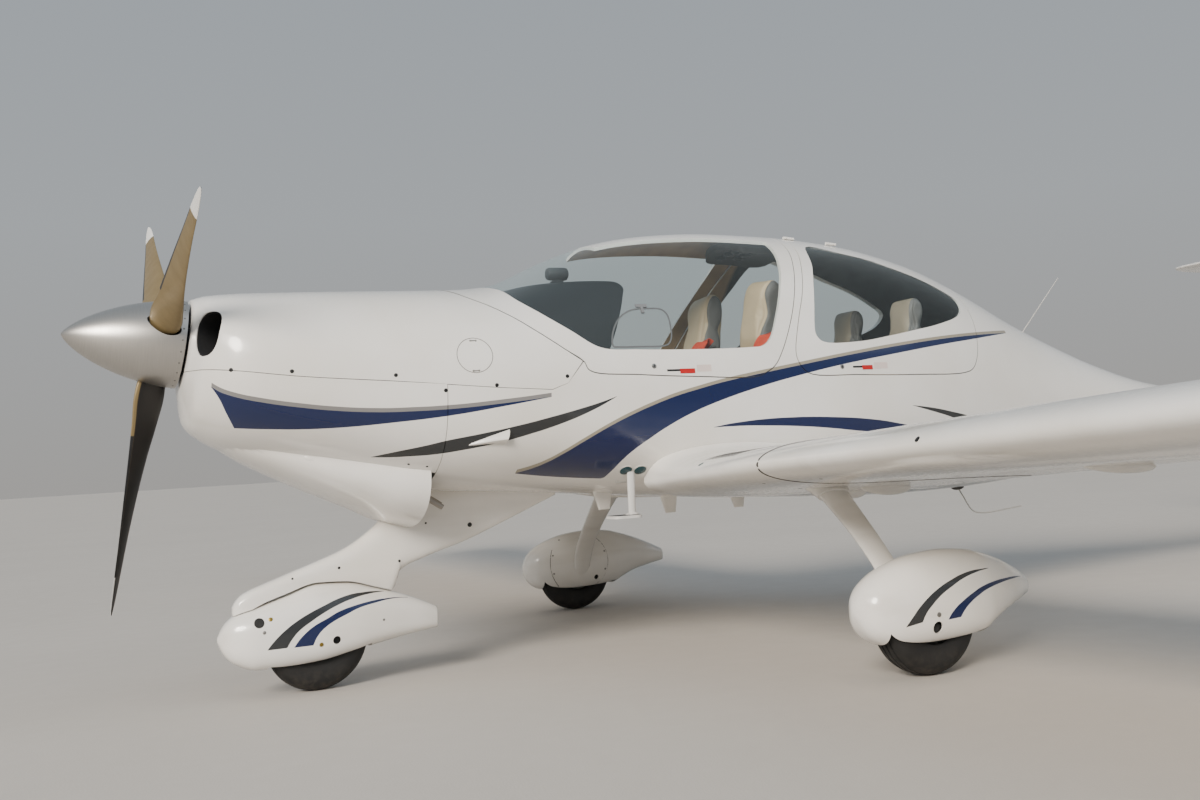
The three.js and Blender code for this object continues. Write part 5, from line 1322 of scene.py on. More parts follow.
def spinner_metal():
    tree = Tree("spinner_metal")
    rings = tree.noise(60, 4, stretch=(0.3, 6, 0.3))
    colour = tree.mix(tree.range(rings, 0.35, 0.65), rgb(184, 180, 174), rgb(178, 174, 168))
    tree.set(Base_Color=colour, Metallic=0.88, Roughness=tree.range(rings, 0.3, 0.7, 0.32, 0.37))
    tree.bump(rings, 0.00002, 0.3)
    return tree.material


def build_propeller():
    tip, end = shaft_point(0), shaft_point(SPINNER["length"])
    silver = spinner_metal()
    paint_blade = blade_paint()
    reference = Reference(turned("spinner", tip, end, spinner_profile(44), 96))
    holes = []
    for angle in BLADE_ANGLES:
        holes.append(blade_mesh(angle, grow=9, stations=16))
    shell = cut(turned("spinner", tip, end,
                       [*spinner_profile(44), (SPINNER["length"] + 0.01, SPINNER["radius"]),
                                            (SPINNER["length"] + 0.02, 140)], 96),
                turned("hollow", shaft_point(20), end,
                       [(along, max(0.1, r - 8)) for along, r in spinner_profile(24)], 64),
                *holes)
    hub = joined(rod(shaft_point(HUB_STATION - 55), shaft_point(552), 60, sides=48),
                 *[rod(shaft_point(HUB_STATION), shaft_point(HUB_STATION) + 120 * direction, 44, sides=40)
                   for direction in blade_directions()])
    back_plate = rod(shaft_point(370), shaft_point(378), 150, sides=64)
    add("spinner_shell", largest(shell), [silver], "propeller", ["spinner"], [reference])
    add("propeller_hub", joined(hub, back_plate), plain("hub_metal", rgb(92, 92, 94), 0.4, 0.8), "propeller")
    for number, angle in enumerate(BLADE_ANGLES, 1):
        add(f"propeller_blade_{number}", blade_mesh(angle), paint_blade, "propeller",
            [f"blade_{number}"],
            sharp=60)


def blade_directions():
    tilt = -SHAFT_TILT
    made = []
    for angle in BLADE_ANGLES:
        spin = math.radians(angle)
        x, y, z = math.sin(spin), 0, math.cos(spin)
        made.append(np.array([x, y * math.cos(tilt) - z * math.sin(tilt),
                              y * math.sin(tilt) + z * math.cos(tilt)]))
    return made


build_cowlings()
build_wings()
build_stubs()
build_tail()
build_propeller()

# Landing gear

STRIPES["nose_dark"] = {
    "colour": CHARCOAL,
    "upper": [(664, 171), (691, 203), (725, 233), (766, 260), (808, 281), (858, 301), (917, 321), (977, 331),
              (1032, 331),
              (1088, 325)],
    "lower": [(664, 170), (729, 171), (745, 197), (772, 226), (814, 253), (856, 276), (908, 298), (960, 313),
              (1014, 322),
              (1088, 324)],
}
STRIPES["nose_blue"] = {
    "colour": NAVY,
    "upper": [(753, 170), (786, 209), (827, 238), (870, 257), (913, 276), (973, 290), (1034, 298),
              (1106, 300), (1180, 292)],
    "lower": [(753, 169), (818, 169), (834, 200), (862, 227), (898, 247), (942, 264), (987, 280),
              (1049, 290), (1113, 296),
              (1180, 291)],
}
STRIPES["main_dark"] = {
    "colour": CHARCOAL,
    "upper": [(2334, 175), (2360, 204), (2386, 231), (2421, 258), (2465, 282), (2518, 302), (2580, 318),
              (2636, 324),
              (2702, 323)],
    "lower": [(2334, 174), (2393, 184), (2409, 210), (2437, 236), (2473, 261), (2518, 282), (2574, 303),
              (2631, 315),
              (2702, 322)],
}
STRIPES["main_blue"] = {
    "colour": NAVY,
    "upper": [(2493, 182), (2520, 211), (2557, 234), (2604, 255), (2654, 271), (2716, 280), (2801, 282),
              (2905, 273)],
    "lower": [(2493, 181), (2544, 184), (2561, 204), (2592, 227), (2633, 246), (2676, 260), (2732, 269),
              (2809, 274),
              (2905, 272)],
}
NOSE_FAIRING = np.array([
    (513, 222, 206, 214, 8, 2.5, 3.0),
    (530, 256, 165, 212, 40, 2.5, 3.0),
    (570, 292, 124, 208, 72, 2.5, 3.0),
    (640, 314, 97, 200, 98, 2.5, 3.0),
    (740, 345, 94, 196, 110, 2.5, 3.0),
    (850, 377, 100, 196, 112, 2.5, 3.0),
    (960, 371, 118, 204, 104, 2.5, 3.0),
    (1060, 342, 137, 212, 88, 2.5, 3.0),
    (1160, 308, 153, 216, 66, 2.5, 3.0),
    (1250, 270, 164, 213, 44, 2.5, 3.0),
    (1297, 246, 169, 208, 28, 2.5, 3.0),
])
NOSE_LEG = np.array([
    # station, top, bottom, half width; the bottom is then trimmed to clear the turning fairing
    (562, 322, 292, 16),
    (572, 340, 284, 28),
    (592, 360, 282, 36),
    (620, 374, 285, 41),
    (665, 390, 296, 44),
    (700, 402, 306, 46),
    (768, 425, 336, 47),
    (850, 452, 356, 48),
    (960, 494, 350, 49),
    (1060, 560, 330, 50),
    (1124, 625, 314, 50),
    (1150, 652, 388, 50),
    (1249, 720, 431, 47),
    (1418, 720, 482, 42),
    (1603, 720, 553, 36),
    (1790, 720, 628, 28),
])
STEER_LIMIT = 30
MAIN_FAIRING = np.array([
    (2205, 244, 220, 232, 10, 2.2, 3.0),
    (2222, 280, 174, 230, 48, 2.2, 3.0),
    (2262, 320, 131, 228, 84, 2.2, 3.0),
    (2335, 357, 103, 228, 108, 2.2, 3.0),
    (2450, 386, 98, 228, 123, 2.2, 3.0),
    (2560, 394, 102, 230, 126, 2.2, 3.0),
    (2680, 384, 113, 235, 117, 2.2, 3.0),
    (2730, 371, 136, 240, 108, 2.2, 3.0),
    (2800, 348, 166, 244, 91, 2.2, 3.0),
    (2900, 304, 191, 244, 60, 2.2, 3.0),
    (2968, 268, 205, 237, 32, 2.2, 3.0),
])
MAIN_CENTRE = [1485, 1485, 1485, 1485, 1485, 1485, 1484, 1481, 1474, 1455, 1437]
MAIN_LEG = np.array([
    # across the span, height, half chord, half thickness
    (872, 690, 92, 32),
    (960, 622, 71, 24),
    (1235, 402, 50, 18),
    (1330, 300, 48, 16),
    (1382, 168, 38, 13),
])
LEG_Y = 2480
NOSE_WHEEL = {"x": 0, "y": 854, "radius": 178, "half": 60, "rim": 68, "axle": 9}
MAIN_WHEEL = {"x": 1485, "y": 2484, "radius": 182, "half": 76, "rim": 80, "axle": 14}
NOSE_WELL = {"half": 72, "length": 182, "top": 190}
MAIN_WELL = {"half": 86, "length": 197, "top": 200}
POST_Y = 665
POST_SEAT = 331


def rubber():
    tree = Tree("tyre_rubber")
    _, _, z = tree.axes()
    wear = tree.noise(14, 5, 0.6)
    colour = tree.mix(tree.range(wear, 0.35, 0.7), rgb(16, 16, 17), rgb(30, 29, 28))
    dust = tree.math("MULTIPLY", tree.range(tree.noise(40, 4), 0.42, 0.7), tree.range(z, 0.09, 0.0),
                     clamp=True)
    colour = tree.mix(dust, colour, rgb(58, 53, 47))
    tree.set(Base_Color=colour, Roughness=tree.range(wear, 0.3, 0.7, 0.62, 0.82))
    tree.bump(tree.noise(420, 3), 0.0006, 0.5)
    return tree.material


def cast_alloy():
    return plain("cast_alloy", rgb(168, 168, 166), 0.38, 0.85, grain=120, depth=0.0003)


def tyre_mesh(spec):
    half, rim, radius = spec["half"], spec["rim"], spec["radius"]
    side = rim + (radius - rim) * 0.45
    grooves = [k * half for k in (-0.46, -0.16, 0.16, 0.46)]
    across = set(np.linspace(-0.995, 0.995, 41) * half)
    for c in grooves:
        across = {w for w in across if abs(w - c) > 4.6} | {c - 4, c - 2.9, c + 2.9, c + 4}
    profile = [(-0.72 * half, rim + 0.6), (-0.86 * half, rim + 4), (-0.96 * half, rim + (side - rim) * 0.55)]
    for w in sorted(across):
        r = side + (radius - side) * (1 - abs(w / half) ** 2.7) ** (1 / 2.3)
        if any(abs(w - c) < 3.4 for c in grooves):
            r -= 4.5
        profile.append((w, r))
    profile += [(0.96 * half, rim + (side - rim) * 0.55), (0.86 * half, rim + 4), (0.72 * half, rim + 0.6)]
    start = np.array([spec["x"], spec["y"], radius])
    return hollow_turned(start, profile, 96)


def hollow_turned(start, profile, sides):
    """A ring turned about the x axis through start; its profile closes on itself."""
    angle = np.linspace(0, 2 * np.pi, sides, endpoint=False)
    points = [(start[0] + w, start[1] + r * math.cos(a), start[2] + r * math.sin(a)) for a in angle for w,
              r in profile]
    n = len(profile)
    faces = []
    for i in range(sides):
        for k in range(n):
            a, b = i * n + k, i * n + (k + 1) % n
            c, d = ((i + 1) % sides) * n + (k + 1) % n, ((i + 1) % sides) * n + k
            faces.append((a, b, c, d))
    return mesh_of("ring", np.array(points), faces)


def rim_mesh(spec):
    half, rim, axle = spec["half"], spec["rim"], spec["axle"]
    half_profile = [(0.60, axle + 0.6), (0.60, rim * 0.34), (0.56, rim * 0.46), (0.38, rim * 0.55),
                    (0.34, rim * 0.74),
                    (0.52, rim * 0.88), (0.66, rim * 0.93), (0.70, rim - 1), (0.68, rim)]
    profile = [(-w * half, r) for w, r in half_profile] + [(w * half, r) for w, r in reversed(half_profile)]
    start = np.array([spec["x"], spec["y"], spec["radius"]])
    pieces = [hollow_turned(start, profile, 72)]
    for k in range(6):
        a = 2 * np.pi * k / 6
        for side in (-1, 1):
            at = start + np.array([side * half * 0.33, rim * 0.65 * math.cos(a), rim * 0.65 * math.sin(a)])
            pieces.append(turned("bolt", at, at + np.array([side, 0, 0]),
                                 [(0, 5.5), (5, 5.5), (6, 4.5), (6.01, 3), (9, 2.8)],
                                 6))
    return gathered(pieces)


def leg_form(grow=0.0, steps=44, sides=48):
    path = np.array(through([(x, z) for x, z, _, _ in MAIN_LEG], 8))
    along = np.concatenate([[0], np.cumsum(np.linalg.norm(np.diff(path, axis=0), axis=1))])
    knots = along[::8]
    at = np.linspace(0, along[-1], steps)
    x, z = np.interp(at, along, path[:, 0]), np.interp(at, along, path[:, 1])
    chord, thick = curve_at(knots, MAIN_LEG[:, 2], at), curve_at(knots, MAIN_LEG[:, 3], at)
    ahead = np.stack([np.gradient(x), np.gradient(z)], 1)
    ahead /= np.linalg.norm(ahead, axis=1, keepdims=True)
    a = np.linspace(0, 2 * np.pi, sides, endpoint=False)
    rings = []
    for i in range(steps):
        u, v = (chord[i] + grow) * np.cos(a), (thick[i] + grow) * np.sin(a)
        rings.append(np.stack([x[i] - v * ahead[i, 1], LEG_Y + u, z[i] + v * ahead[i, 0]], 1))
    return loft("leg", rings)


def belly(grow):
    """The lower fuselage and the wing stubs, which the legs grow out of."""
    spans = np.linspace(0, STUB_END_X, 24)
    stub = loft("stub", [span_ring(x, *wing_section(x), WING_DROP, 24) for x in spans])
    return [fuselage_form(FIREWALL_Y - 20, 3600, -grow, count=96, step=60), stub, mirrored(stub)]


def round_hole(x0, x1, y, z, radius):
    return rod((x0, y, z), (x1, y, z), radius, sides=32)


def about_post(mesh, degrees):
    """A copy turned about the nose fork's upright post."""
    post = Vector(row((0, POST_Y, 0)))
    made = mesh.copy()
    made.transform(Matrix.Translation(post) @ Matrix.Rotation(math.radians(degrees), 4,
                                                              "Z") @ Matrix.Translation(-post))
    return made


def build_nose_gear():
    leg_rows = np.array([(y, top, bottom, (top + bottom) / 2, half, 2.6, 4.5) for y, top, bottom,
                         half in NOSE_LEG])
    form = table_form(leg_rows, count=56, steps=90)
    seat = rod((0, POST_Y, 0), (0, POST_Y, POST_SEAT + 0.5), 19.5, sides=40)
    scoop = table_form(SCOOP, count=64, steps=30)
    clear_form = table_form(NOSE_FAIRING, -3.5, 64, 50)
    swept = [about_post(clear_form, angle) for angle in range(-STEER_LIMIT, STEER_LIMIT + 1, 5)]
    leg = largest(cut(form, *belly(0.3), scoop, seat, *swept))
    add("nose_leg_skin", leg, white, "airframe", ["nose_leg"], [Reference(form)])
    outer_form = table_form(NOSE_FAIRING, count=80, steps=70)
    inner = table_form(NOSE_FAIRING[1:-1], 6, 64, 50)
    well = block(-NOSE_WELL["half"], NOSE_WELL["half"], NOSE_WHEEL["y"] - NOSE_WELL["length"],
                 NOSE_WHEEL["y"] + NOSE_WELL["length"], 0, NOSE_WELL["top"])
    post_hole = rod((0, POST_Y, 290), (0, POST_Y, 400), 21, sides=32)
    holes = [round_hole(s * 40, s * 130, y, z, r) for s in (-1, 1) for y, z,
             r in ((639, 264, 17), (901, 177, 14))]
    fairing = cut(cut(outer_form, inner), well, post_hole, *holes)
    smooth = [Reference(outer_form), Reference(inner, material=1, flip=True)]
    # The fairing's inner faces take the near-black finish: painted shade inside the fairing
    add("nose_fairing_shell", largest(fairing),
        [paint("nose_fairing_paint", stripes=("nose_dark", "nose_blue")), inner_shade_paint],
        "nose_fork", ["nose_fairing"], smooth)
    # Near-black cups in the fairing's holes: painted shade inside the holes
    cups = [turned("cup", (s * 108, y, z), (s * 60, y, z), [(14, r - 1), (42, r - 1)], 28)
            for s in (-1, 1) for y, z, r in ((639, 264, 17), (901, 177, 14))]
    add("nose_fairing_cups", common(gathered(cups), outer_form), inner_shade_paint, "nose_fork")
    arms = []
    for x in (-NOSE_WELL["half"], NOSE_WELL["half"]):
        side = through([(648, 298), (650, 278), (750, 214), (836, 164), (862, 162), (868, 190), (792, 236),
                        (690, 300)], 5,
                       closed=True)
        arms.append(side_prism(side, x - 4.5, x + 4.5))
    crown = block(-76, 76, 648, 686, 283, 301)
    axle = rod((-80, NOSE_WHEEL["y"], NOSE_WHEEL["radius"]), (80, NOSE_WHEEL["y"], NOSE_WHEEL["radius"]), 9,
               sides=32)
    nuts = [turned("nut", (s * 77, NOSE_WHEEL["y"], NOSE_WHEEL["radius"]),
                   (s * 90, NOSE_WHEEL["y"], NOSE_WHEEL["radius"]),
                   [(0, 14), (8, 14), (10, 12)], 6) for s in (-1, 1)]
    limit = table_form(NOSE_FAIRING[1:-1], 6.5, 64, 50)
    post = rod((0, POST_Y, 290), (0, POST_Y, POST_SEAT - 0.5), 18, sides=40)
    fork = joined(common(joined(crown, *arms, axle, *nuts), limit), post)
    add("nose_fork_forging", largest(fork), plain("forged_steel", rgb(98, 98, 100), 0.42, 0.8), "nose_fork",
        ["nose_fork"])


def build_main_gear():
    form = leg_form()
    axle = rod((1381, MAIN_WHEEL["y"], MAIN_WHEEL["radius"]), (1550, MAIN_WHEEL["y"], MAIN_WHEEL["radius"]),
               14, sides=32)
    leg = joined(largest(cut(form, *belly(0.3))), axle)
    outer_form = table_form(MAIN_FAIRING, count=88, steps=70, x0=MAIN_CENTRE)
    inner = table_form(MAIN_FAIRING[1:-1], 6, 64, 50, x0=MAIN_CENTRE[1:-1])
    well = block(MAIN_WHEEL["x"] - MAIN_WELL["half"], MAIN_WHEEL["x"] + MAIN_WELL["half"],
                 MAIN_WHEEL["y"] - MAIN_WELL["length"], MAIN_WHEEL["y"] + MAIN_WELL["length"], 0,
                 MAIN_WELL["top"])
    hole = round_hole(1560, 1700, 2453, 161, 19)
    inner_hole = round_hole(1300, 1400, 2560, 158, 12)
    fairing = cut(cut(outer_form, inner), well, leg_form(1.0), hole, inner_hole)
    fairing = largest(fairing)
    plate = cut(common(outer_form,
                       turned("disc", (1300, 2470, 240), (1400, 2470, 240), [(0, 158), (100, 158)], 72)),
                turned("disc", (1290, 2470, 240), (1410, 2470, 240), [(0, 154.5), (120, 154.5)], 72),
                table_form(MAIN_FAIRING, 1.5, 88, 70, x0=MAIN_CENTRE), leg_form(3.0))
    cup = common(turned("cup", (1600, 2453, 161), (1560, 2453, 161), [(12, 18), (32, 18)], 28), outer_form)
    pant = paint("main_fairing_paint", stripes=("main_dark", "main_blue"), beyond=1.487)
    line = plain("panel_line", rgb(112, 106, 98), 0.7)
    smooth = [Reference(outer_form), Reference(inner, material=1, flip=True)]
    other = [Reference(mirrored(outer_form)), Reference(mirrored(inner), material=1, flip=True)]
    for side, flip, skin in (("left", lambda m: m, smooth), ("right", mirrored, other)):
        add(f"main_leg_{side}_skin", flip(leg), white, "airframe", [f"main_leg_{side}"])
        # The fairing's inner faces and the cup in its hole are near-black: painted shade inside
        add(f"main_fairing_{side}_shell", flip(fairing), [pant, inner_shade_paint], "airframe",
            [f"main_fairing_{side}"], skin)
        add(f"main_fairing_{side}_line", flip(plate), line, "airframe")
        add(f"main_fairing_{side}_cup", flip(cup), inner_shade_paint, "airframe")


def build_wheels():
    tread, alloy = rubber(), cast_alloy()
    for name, spec, sign in (("nose_wheel", NOSE_WHEEL, 1), ("main_wheel_left", MAIN_WHEEL, 1),
                             ("main_wheel_right", MAIN_WHEEL, -1)):
        placed = dict(spec, x=sign * spec["x"])
        add(f"{name}_tread", tyre_mesh(placed), tread, name, [f"{name}_tyre"], sharp=50)
        add(f"{name}_alloy", rim_mesh(placed), alloy, name, [f"{name}_rim"])


def build_step():
    post = []
    for z in np.linspace(546, 760, 8):
        a = np.linspace(0, 2 * np.pi, 32, endpoint=False)
        post.append(np.stack([452 + 10 * np.sin(a), 1928 + 15 * np.cos(a), np.full(32, z)], 1))
    post = cut(loft("post", post), *belly(0.3))
    outline = through([(414, 1838), (436, 1831), (500, 1831), (517, 1840), (519, 1880), (519, 1930),
                       (508, 1941), (430, 1941),
                       (412, 1932), (411, 1880)], 5, closed=True)
    plate = plan_prism(outline, 535, 545)
    ridges = [block(420, 512, y, y + 3, 544.5, 546.4) for y in range(1842, 1934, 9)]
    foot = turned("foot", (452, 1928, 545), (452, 1928, 560), [(0, 26), (3, 25), (8, 17)], 28)
    add("boarding_step_frame", gathered([largest(post), plate, foot]),
        plain("step_paint", rgb(214, 212, 208), 0.35),
        "airframe", ["boarding_step_left"])
    add("boarding_step_grip", gathered(ridges), plain("step_grip", rgb(70, 70, 72), 0.85), "airframe")


build_nose_gear()
build_main_gear()
build_wheels()
build_step()

# Cabin: upholstery, harness, panel and controls

FRONT_X = 262
REAR_X = 235
CUSHIONS = {
    # side outline as station and height, half width, how far it may swell, and how round its ends are, in mm
    "front_cushion": {"side": [(2118, 712), (2116, 774), (2168, 812), (2300, 800), (2430, 776), (2490, 782),
                               (2528, 716), (2330, 704)], "half": 205, "round": 52, "cap": 24},
    "front_back": {"side": [(2452, 800), (2500, 930), (2576, 1160), (2610, 1182), (2645, 1168), (2606, 960),
                            (2548, 798),
                            (2500, 782)], "half": 200, "round": 46, "cap": 22},
    "front_head": {"side": [(2606, 1170), (2632, 1350), (2658, 1468), (2694, 1488), (2724, 1460),
                            (2712, 1300), (2690, 1168),
                            (2650, 1150)], "half": 108, "round": 42, "cap": 14},
    "rear_cushion": {"side": [(2842, 728), (2840, 778), (2888, 812), (3060, 800), (3250, 776), (3320, 782),
                              (3370, 738), (3140, 724)], "half": 440, "round": 56, "cap": 26},
    "rear_back": {"side": [(3284, 798), (3336, 960), (3408, 1160), (3448, 1180), (3484, 1164), (3448, 960),
                           (3406, 798),
                           (3345, 784)], "half": 400, "round": 46, "cap": 24},
    "rear_head": {"side": [(3424, 1168), (3436, 1320), (3452, 1398), (3480, 1408), (3506, 1384),
                           (3502, 1260), (3494, 1170),
                           (3460, 1154)], "half": 98, "round": 38, "cap": 12},
}
VOXEL = 0.010


def hide(name, colour, side_colour, centre=None, edge=0.0):
    """Leather with a pebbled grain, in its side panel's colour beyond edge from the seat's middle."""
    tree = Tree(name)
    x, _, _ = tree.axes()
    worn = tree.noise(6, 4)
    face = tree.mix(tree.range(worn, 0.35, 0.7), colour, tuple(c * 0.82 for c in colour[:3]) + (1.0,))
    if centre is not None:
        away = tree.math("ABSOLUTE", tree.math("SUBTRACT", tree.math("ABSOLUTE", x), centre))
        face = tree.mix(tree.range(away, edge, edge + 0.002), face, side_colour)
    cells = tree.node("ShaderNodeTexVoronoi")
    tree.feed(cells.inputs["Vector"], tree.place)
    cells.inputs["Scale"].default_value = 420
    grain = tree.math("ADD", cells.outputs["Distance"], tree.math("MULTIPLY", tree.noise(160, 3), 0.5))
    tree.set(Base_Color=face, Roughness=tree.range(tree.noise(30, 3), 0.3, 0.7, 0.46, 0.62))
    tree.bump(grain, 0.0005, 0.5)
    return tree.material


def webbing(name, colour):
    tree = Tree(name)
    weave = tree.node("ShaderNodeTexWave")
    tree.feed(weave.inputs["Vector"], tree.place)
    weave.inputs["Scale"].default_value = 190
    weave.inputs["Distortion"].default_value = 1.2
    dark = tuple(c * 0.7 for c in colour[:3]) + (1.0,)
    tree.set(Base_Color=tree.mix(tree.range(tree.noise(20, 3), 0.3, 0.7), colour, dark),
             Roughness=tree.range(weave.outputs["Fac"], 0, 1, 0.7, 0.9))
    tree.bump(weave.outputs["Fac"], 0.0004, 0.5)
    return tree.material


def pad_form(spec, x):
    """A crowned block: its side outline, smoothed, drawn in towards its two ends."""
    side = np.array(through(spec["side"], 6, closed=True))
    middle = side.mean(0)
    rings = []
    for t in np.linspace(-1, 1, 23):
        u = math.sin(t * math.pi / 2)
        reach = max(0.0, abs(u) * spec["half"] - (spec["half"] - spec["round"])) / spec["round"]
        drawn = spec["round"] * (1 - math.sqrt(max(0.0, 1 - reach**2)))
        away = side - middle
        size = np.linalg.norm(away, axis=1, keepdims=True)
        ring = middle + away * np.maximum(0.05, (size - drawn) / size)
        rings.append(np.stack([np.full(len(ring), x + u * spec["half"]), ring[:, 0], ring[:, 1]], 1))
    return loft("pad", rings)


def evaluated(piece):
    graph = bpy.context.evaluated_depsgraph_get()
    return bpy.data.meshes.new_from_object(piece.evaluated_get(graph))


def positions(mesh):
    co = np.empty(len(mesh.vertices) * 3)
    mesh.vertices.foreach_get("co", co)
    return co.reshape(-1, 3)


def swell(mesh, cap, voxel=VOXEL):
    """Remesh a closed form and let it fill out as stuffed leather does."""
    scene = bpy.context.scene
    piece = bpy.data.objects.new("stuffing", mesh)
    scene.collection.objects.link(piece)
    remesh = piece.modifiers.new("remesh", "REMESH")
    remesh.mode = "VOXEL"
    remesh.voxel_size = voxel
    even = evaluated(piece)
    piece.modifiers.clear()
    piece.data = even
    start = positions(even)
    cloth = piece.modifiers.new("cloth", "CLOTH")
    cloth.settings.quality = 4
    cloth.settings.mass = 0.25
    cloth.settings.tension_stiffness = 12
    cloth.settings.compression_stiffness = 12
    cloth.settings.shear_stiffness = 6
    cloth.settings.bending_stiffness = 0.4
    cloth.settings.use_pressure = True
    cloth.settings.uniform_pressure_force = 4
    cloth.settings.effector_weights.gravity = 0
    cloth.collision_settings.use_collision = False
    cloth.point_cache.frame_start = 1
    cloth.point_cache.frame_end = 20
    for number in range(1, 21):
        scene.frame_set(number)
    done = evaluated(piece)
    moved = positions(done) - start
    moved -= moved.mean(0)
    size = np.linalg.norm(moved, axis=1, keepdims=True)
    moved *= np.minimum(1, cap / 1000 / np.maximum(size, 1e-9))
    piece.modifiers.clear()
    even.vertices.foreach_set("co", (start + moved).ravel())
    even.update()
    scene.frame_set(1)
    subdivide = piece.modifiers.new("subdivide", "SUBSURF")
    subdivide.levels = 1
    made = evaluated(piece)
    bpy.data.objects.remove(piece)
    return made


def sewn(mesh, lines, depth, width):
    """Press channels into a cushion; a line is an axis, a place along it and which faces it marks."""
    co = positions(mesh)
    normal = np.empty(len(mesh.vertices) * 3)
    mesh.vertices.foreach_get("normal", normal)
    normal = normal.reshape(-1, 3)
    station = co[:, 1] + HALF_LENGTH
    pressed = np.zeros(len(co))
    for axis, place, test in lines:
        along = co[:, 0] if axis == "x" else station if axis == "y" else co[:, 2]
        pressed = np.maximum(pressed, np.exp(-((along - place) / width) ** 2) * test(normal))
    co -= normal * (pressed * depth)[:, None]
    mesh.vertices.foreach_set("co", co.ravel())
    mesh.update()
    return mesh


def up_face(normal):
    return np.clip((normal[:, 2] - 0.45) * 4, 0, 1)


def front_face(normal):
    return np.clip((-normal[:, 1] - 0.35) * 4, 0, 1)


def strap(points, half_width, thickness=1.8, across=(1, 0, 0)):
    """Flat webbing along a smooth path, as wide as two half widths across it."""
    p = np.array(through(points, 8))
    ahead = np.gradient(p, axis=0)
    ahead /= np.linalg.norm(ahead, axis=1, keepdims=True)
    rings = []
    for q, d in zip(p, ahead):
        side = np.asarray(across, float) - d * np.dot(across, d)
        side /= np.linalg.norm(side)
        up = np.cross(d, side)
        rings.append([q + side * half_width * u + up * thickness * w
                      for u, w in ((-1, -0.5), (-0.98, 0.3), (-0.9, 0.5), (0.9, 0.5), (0.98, 0.3), (1, -0.5),
                                   (0.9, -0.8),
                                   (-0.9, -0.8))])
    return loft("strap", rings)


def piping(spec, x, radius=3.2, grow=7.0):
    """The welted seam round each end of a cushion."""
    side = np.array(through(spec["side"], 8, closed=True))
    away = side - side.mean(0)
    size = np.linalg.norm(away, axis=1, keepdims=True)
    loop = side + away / size * grow
    made = []
    for sign in (-1, 1):
        ring = [(x + sign * (spec["half"] - spec["round"] * 0.62), y, z) for y, z in loop]
        made.append(tube([*ring, ring[0]], radius, 8))
    return made


def build_seats():
    beige, shade_grey = rgb(196, 174, 142), rgb(96, 94, 92)
    shell = plain("seat_shell", rgb(150, 146, 140), 0.55, grain=60)
    leathers = {
        "front_cushion": hide("hide_front_cushion", beige, shade_grey, 0.262, 0.13),
        "front_back": hide("hide_front_back", beige, shade_grey, 0.262, 0.125),
        "front_head": hide("hide_front_head", beige, shade_grey, 0.262, 0.086),
        "rear_cushion": hide("hide_rear_cushion", beige, shade_grey, 0.235, 0.16),
        "rear_back": hide("hide_rear_back", beige, shade_grey, 0.235, 0.15),
        "rear_head": hide("hide_rear_head", rgb(150, 138, 120), shade_grey, 0.235, 0.07),
    }
    welt = hide("hide_welt", rgb(112, 108, 104), shade_grey)
    forms = {}
    for key, spec in CUSHIONS.items():
        centre = FRONT_X if key.startswith("front") else REAR_X if key == "rear_head" else 0
        mesh = swell(pad_form(spec, centre), spec["cap"], VOXEL if spec["half"] < 300 else 0.012)
        place = centre / 1000
        if key.endswith("cushion"):
            offsets = (-0.125, 0.125) if centre else (-0.39, -0.1, 0.1, 0.39)
            lines = [("x", place + d, up_face) for d in offsets]
            lines += [("y", y, up_face) for y in ((2.24, 2.36) if centre else (2.98, 3.12))]
        elif key.endswith("back"):
            offsets = (-0.12, 0.12) if centre else (-0.38, -0.09, 0.09, 0.38)
            lines = [("x", place + d, front_face) for d in offsets]
            lines += [("z", z, front_face) for z in (0.9, 1.0, 1.09)]
        else:
            lines = [("x", place - 0.084, front_face), ("x", place + 0.084, front_face)]
        forms[key] = sewn(mesh, lines, 0.007, 0.006)
    for side, flip in (("left", lambda m: m.copy()), ("right", mirrored)):
        for key in ("front_cushion", "front_back", "front_head"):
            piece = add(f"{key}_{side}", flip(forms[key]), leathers[key], "airframe",
                        [f"front_seat_{side}"], sharp=180)
        seams = [flip(gathered([m for key in ("front_cushion", "front_back")
                                for m in piping(CUSHIONS[key], FRONT_X)]))]
        add(f"front_seat_welt_{side}", seams[0], welt, "airframe")
        base = side_prism(through([(2140, 510), (2150, 640), (2200, 712), (2500, 712), (2540, 600),
                                   (2510, 500)], 5,
                                  closed=True), FRONT_X - 150, FRONT_X + 150)
        rail = [block(FRONT_X + s * 130 - 8, FRONT_X + s * 130 + 8, 2120, 2560, 500, 650) for s in (-1, 1)]
        backing = side_prism(through([(2560, 800), (2600, 930), (2660, 1150), (2700, 1180), (2722, 1165),
                                      (2680, 960),
                                      (2620, 790), (2585, 770)], 5, closed=True), FRONT_X - 165,
                                      FRONT_X + 165)
        frame_mesh = common(joined(base, backing, *rail), fuselage_form(1250, 4200, 27, count=96, step=60))
        add(f"front_seat_shell_{side}", flip(frame_mesh), shell, "airframe")
    for key in ("rear_cushion", "rear_back"):
        piece = add(key, forms[key], leathers[key], "airframe", ["rear_seat"], sharp=180)
    for side, flip in (("left", lambda m: m), ("right", mirrored)):
        piece = add(f"rear_head_{side}", flip(forms["rear_head"]), leathers["rear_head"], "airframe",
                    ["rear_seat"], sharp=180)
    bench = common(side_prism([(2862, 480), (2862, 734), (3360, 740), (3360, 480)], -300, 300),
                   fuselage_form(1250, 4200, 27, count=96, step=60))
    add("rear_seat_shell", bench, shell, "airframe")
    seams = gathered([m for key in ("rear_cushion", "rear_back") for m in piping(CUSHIONS[key], 0)])
    add("rear_seat_welt", seams, welt, "airframe")


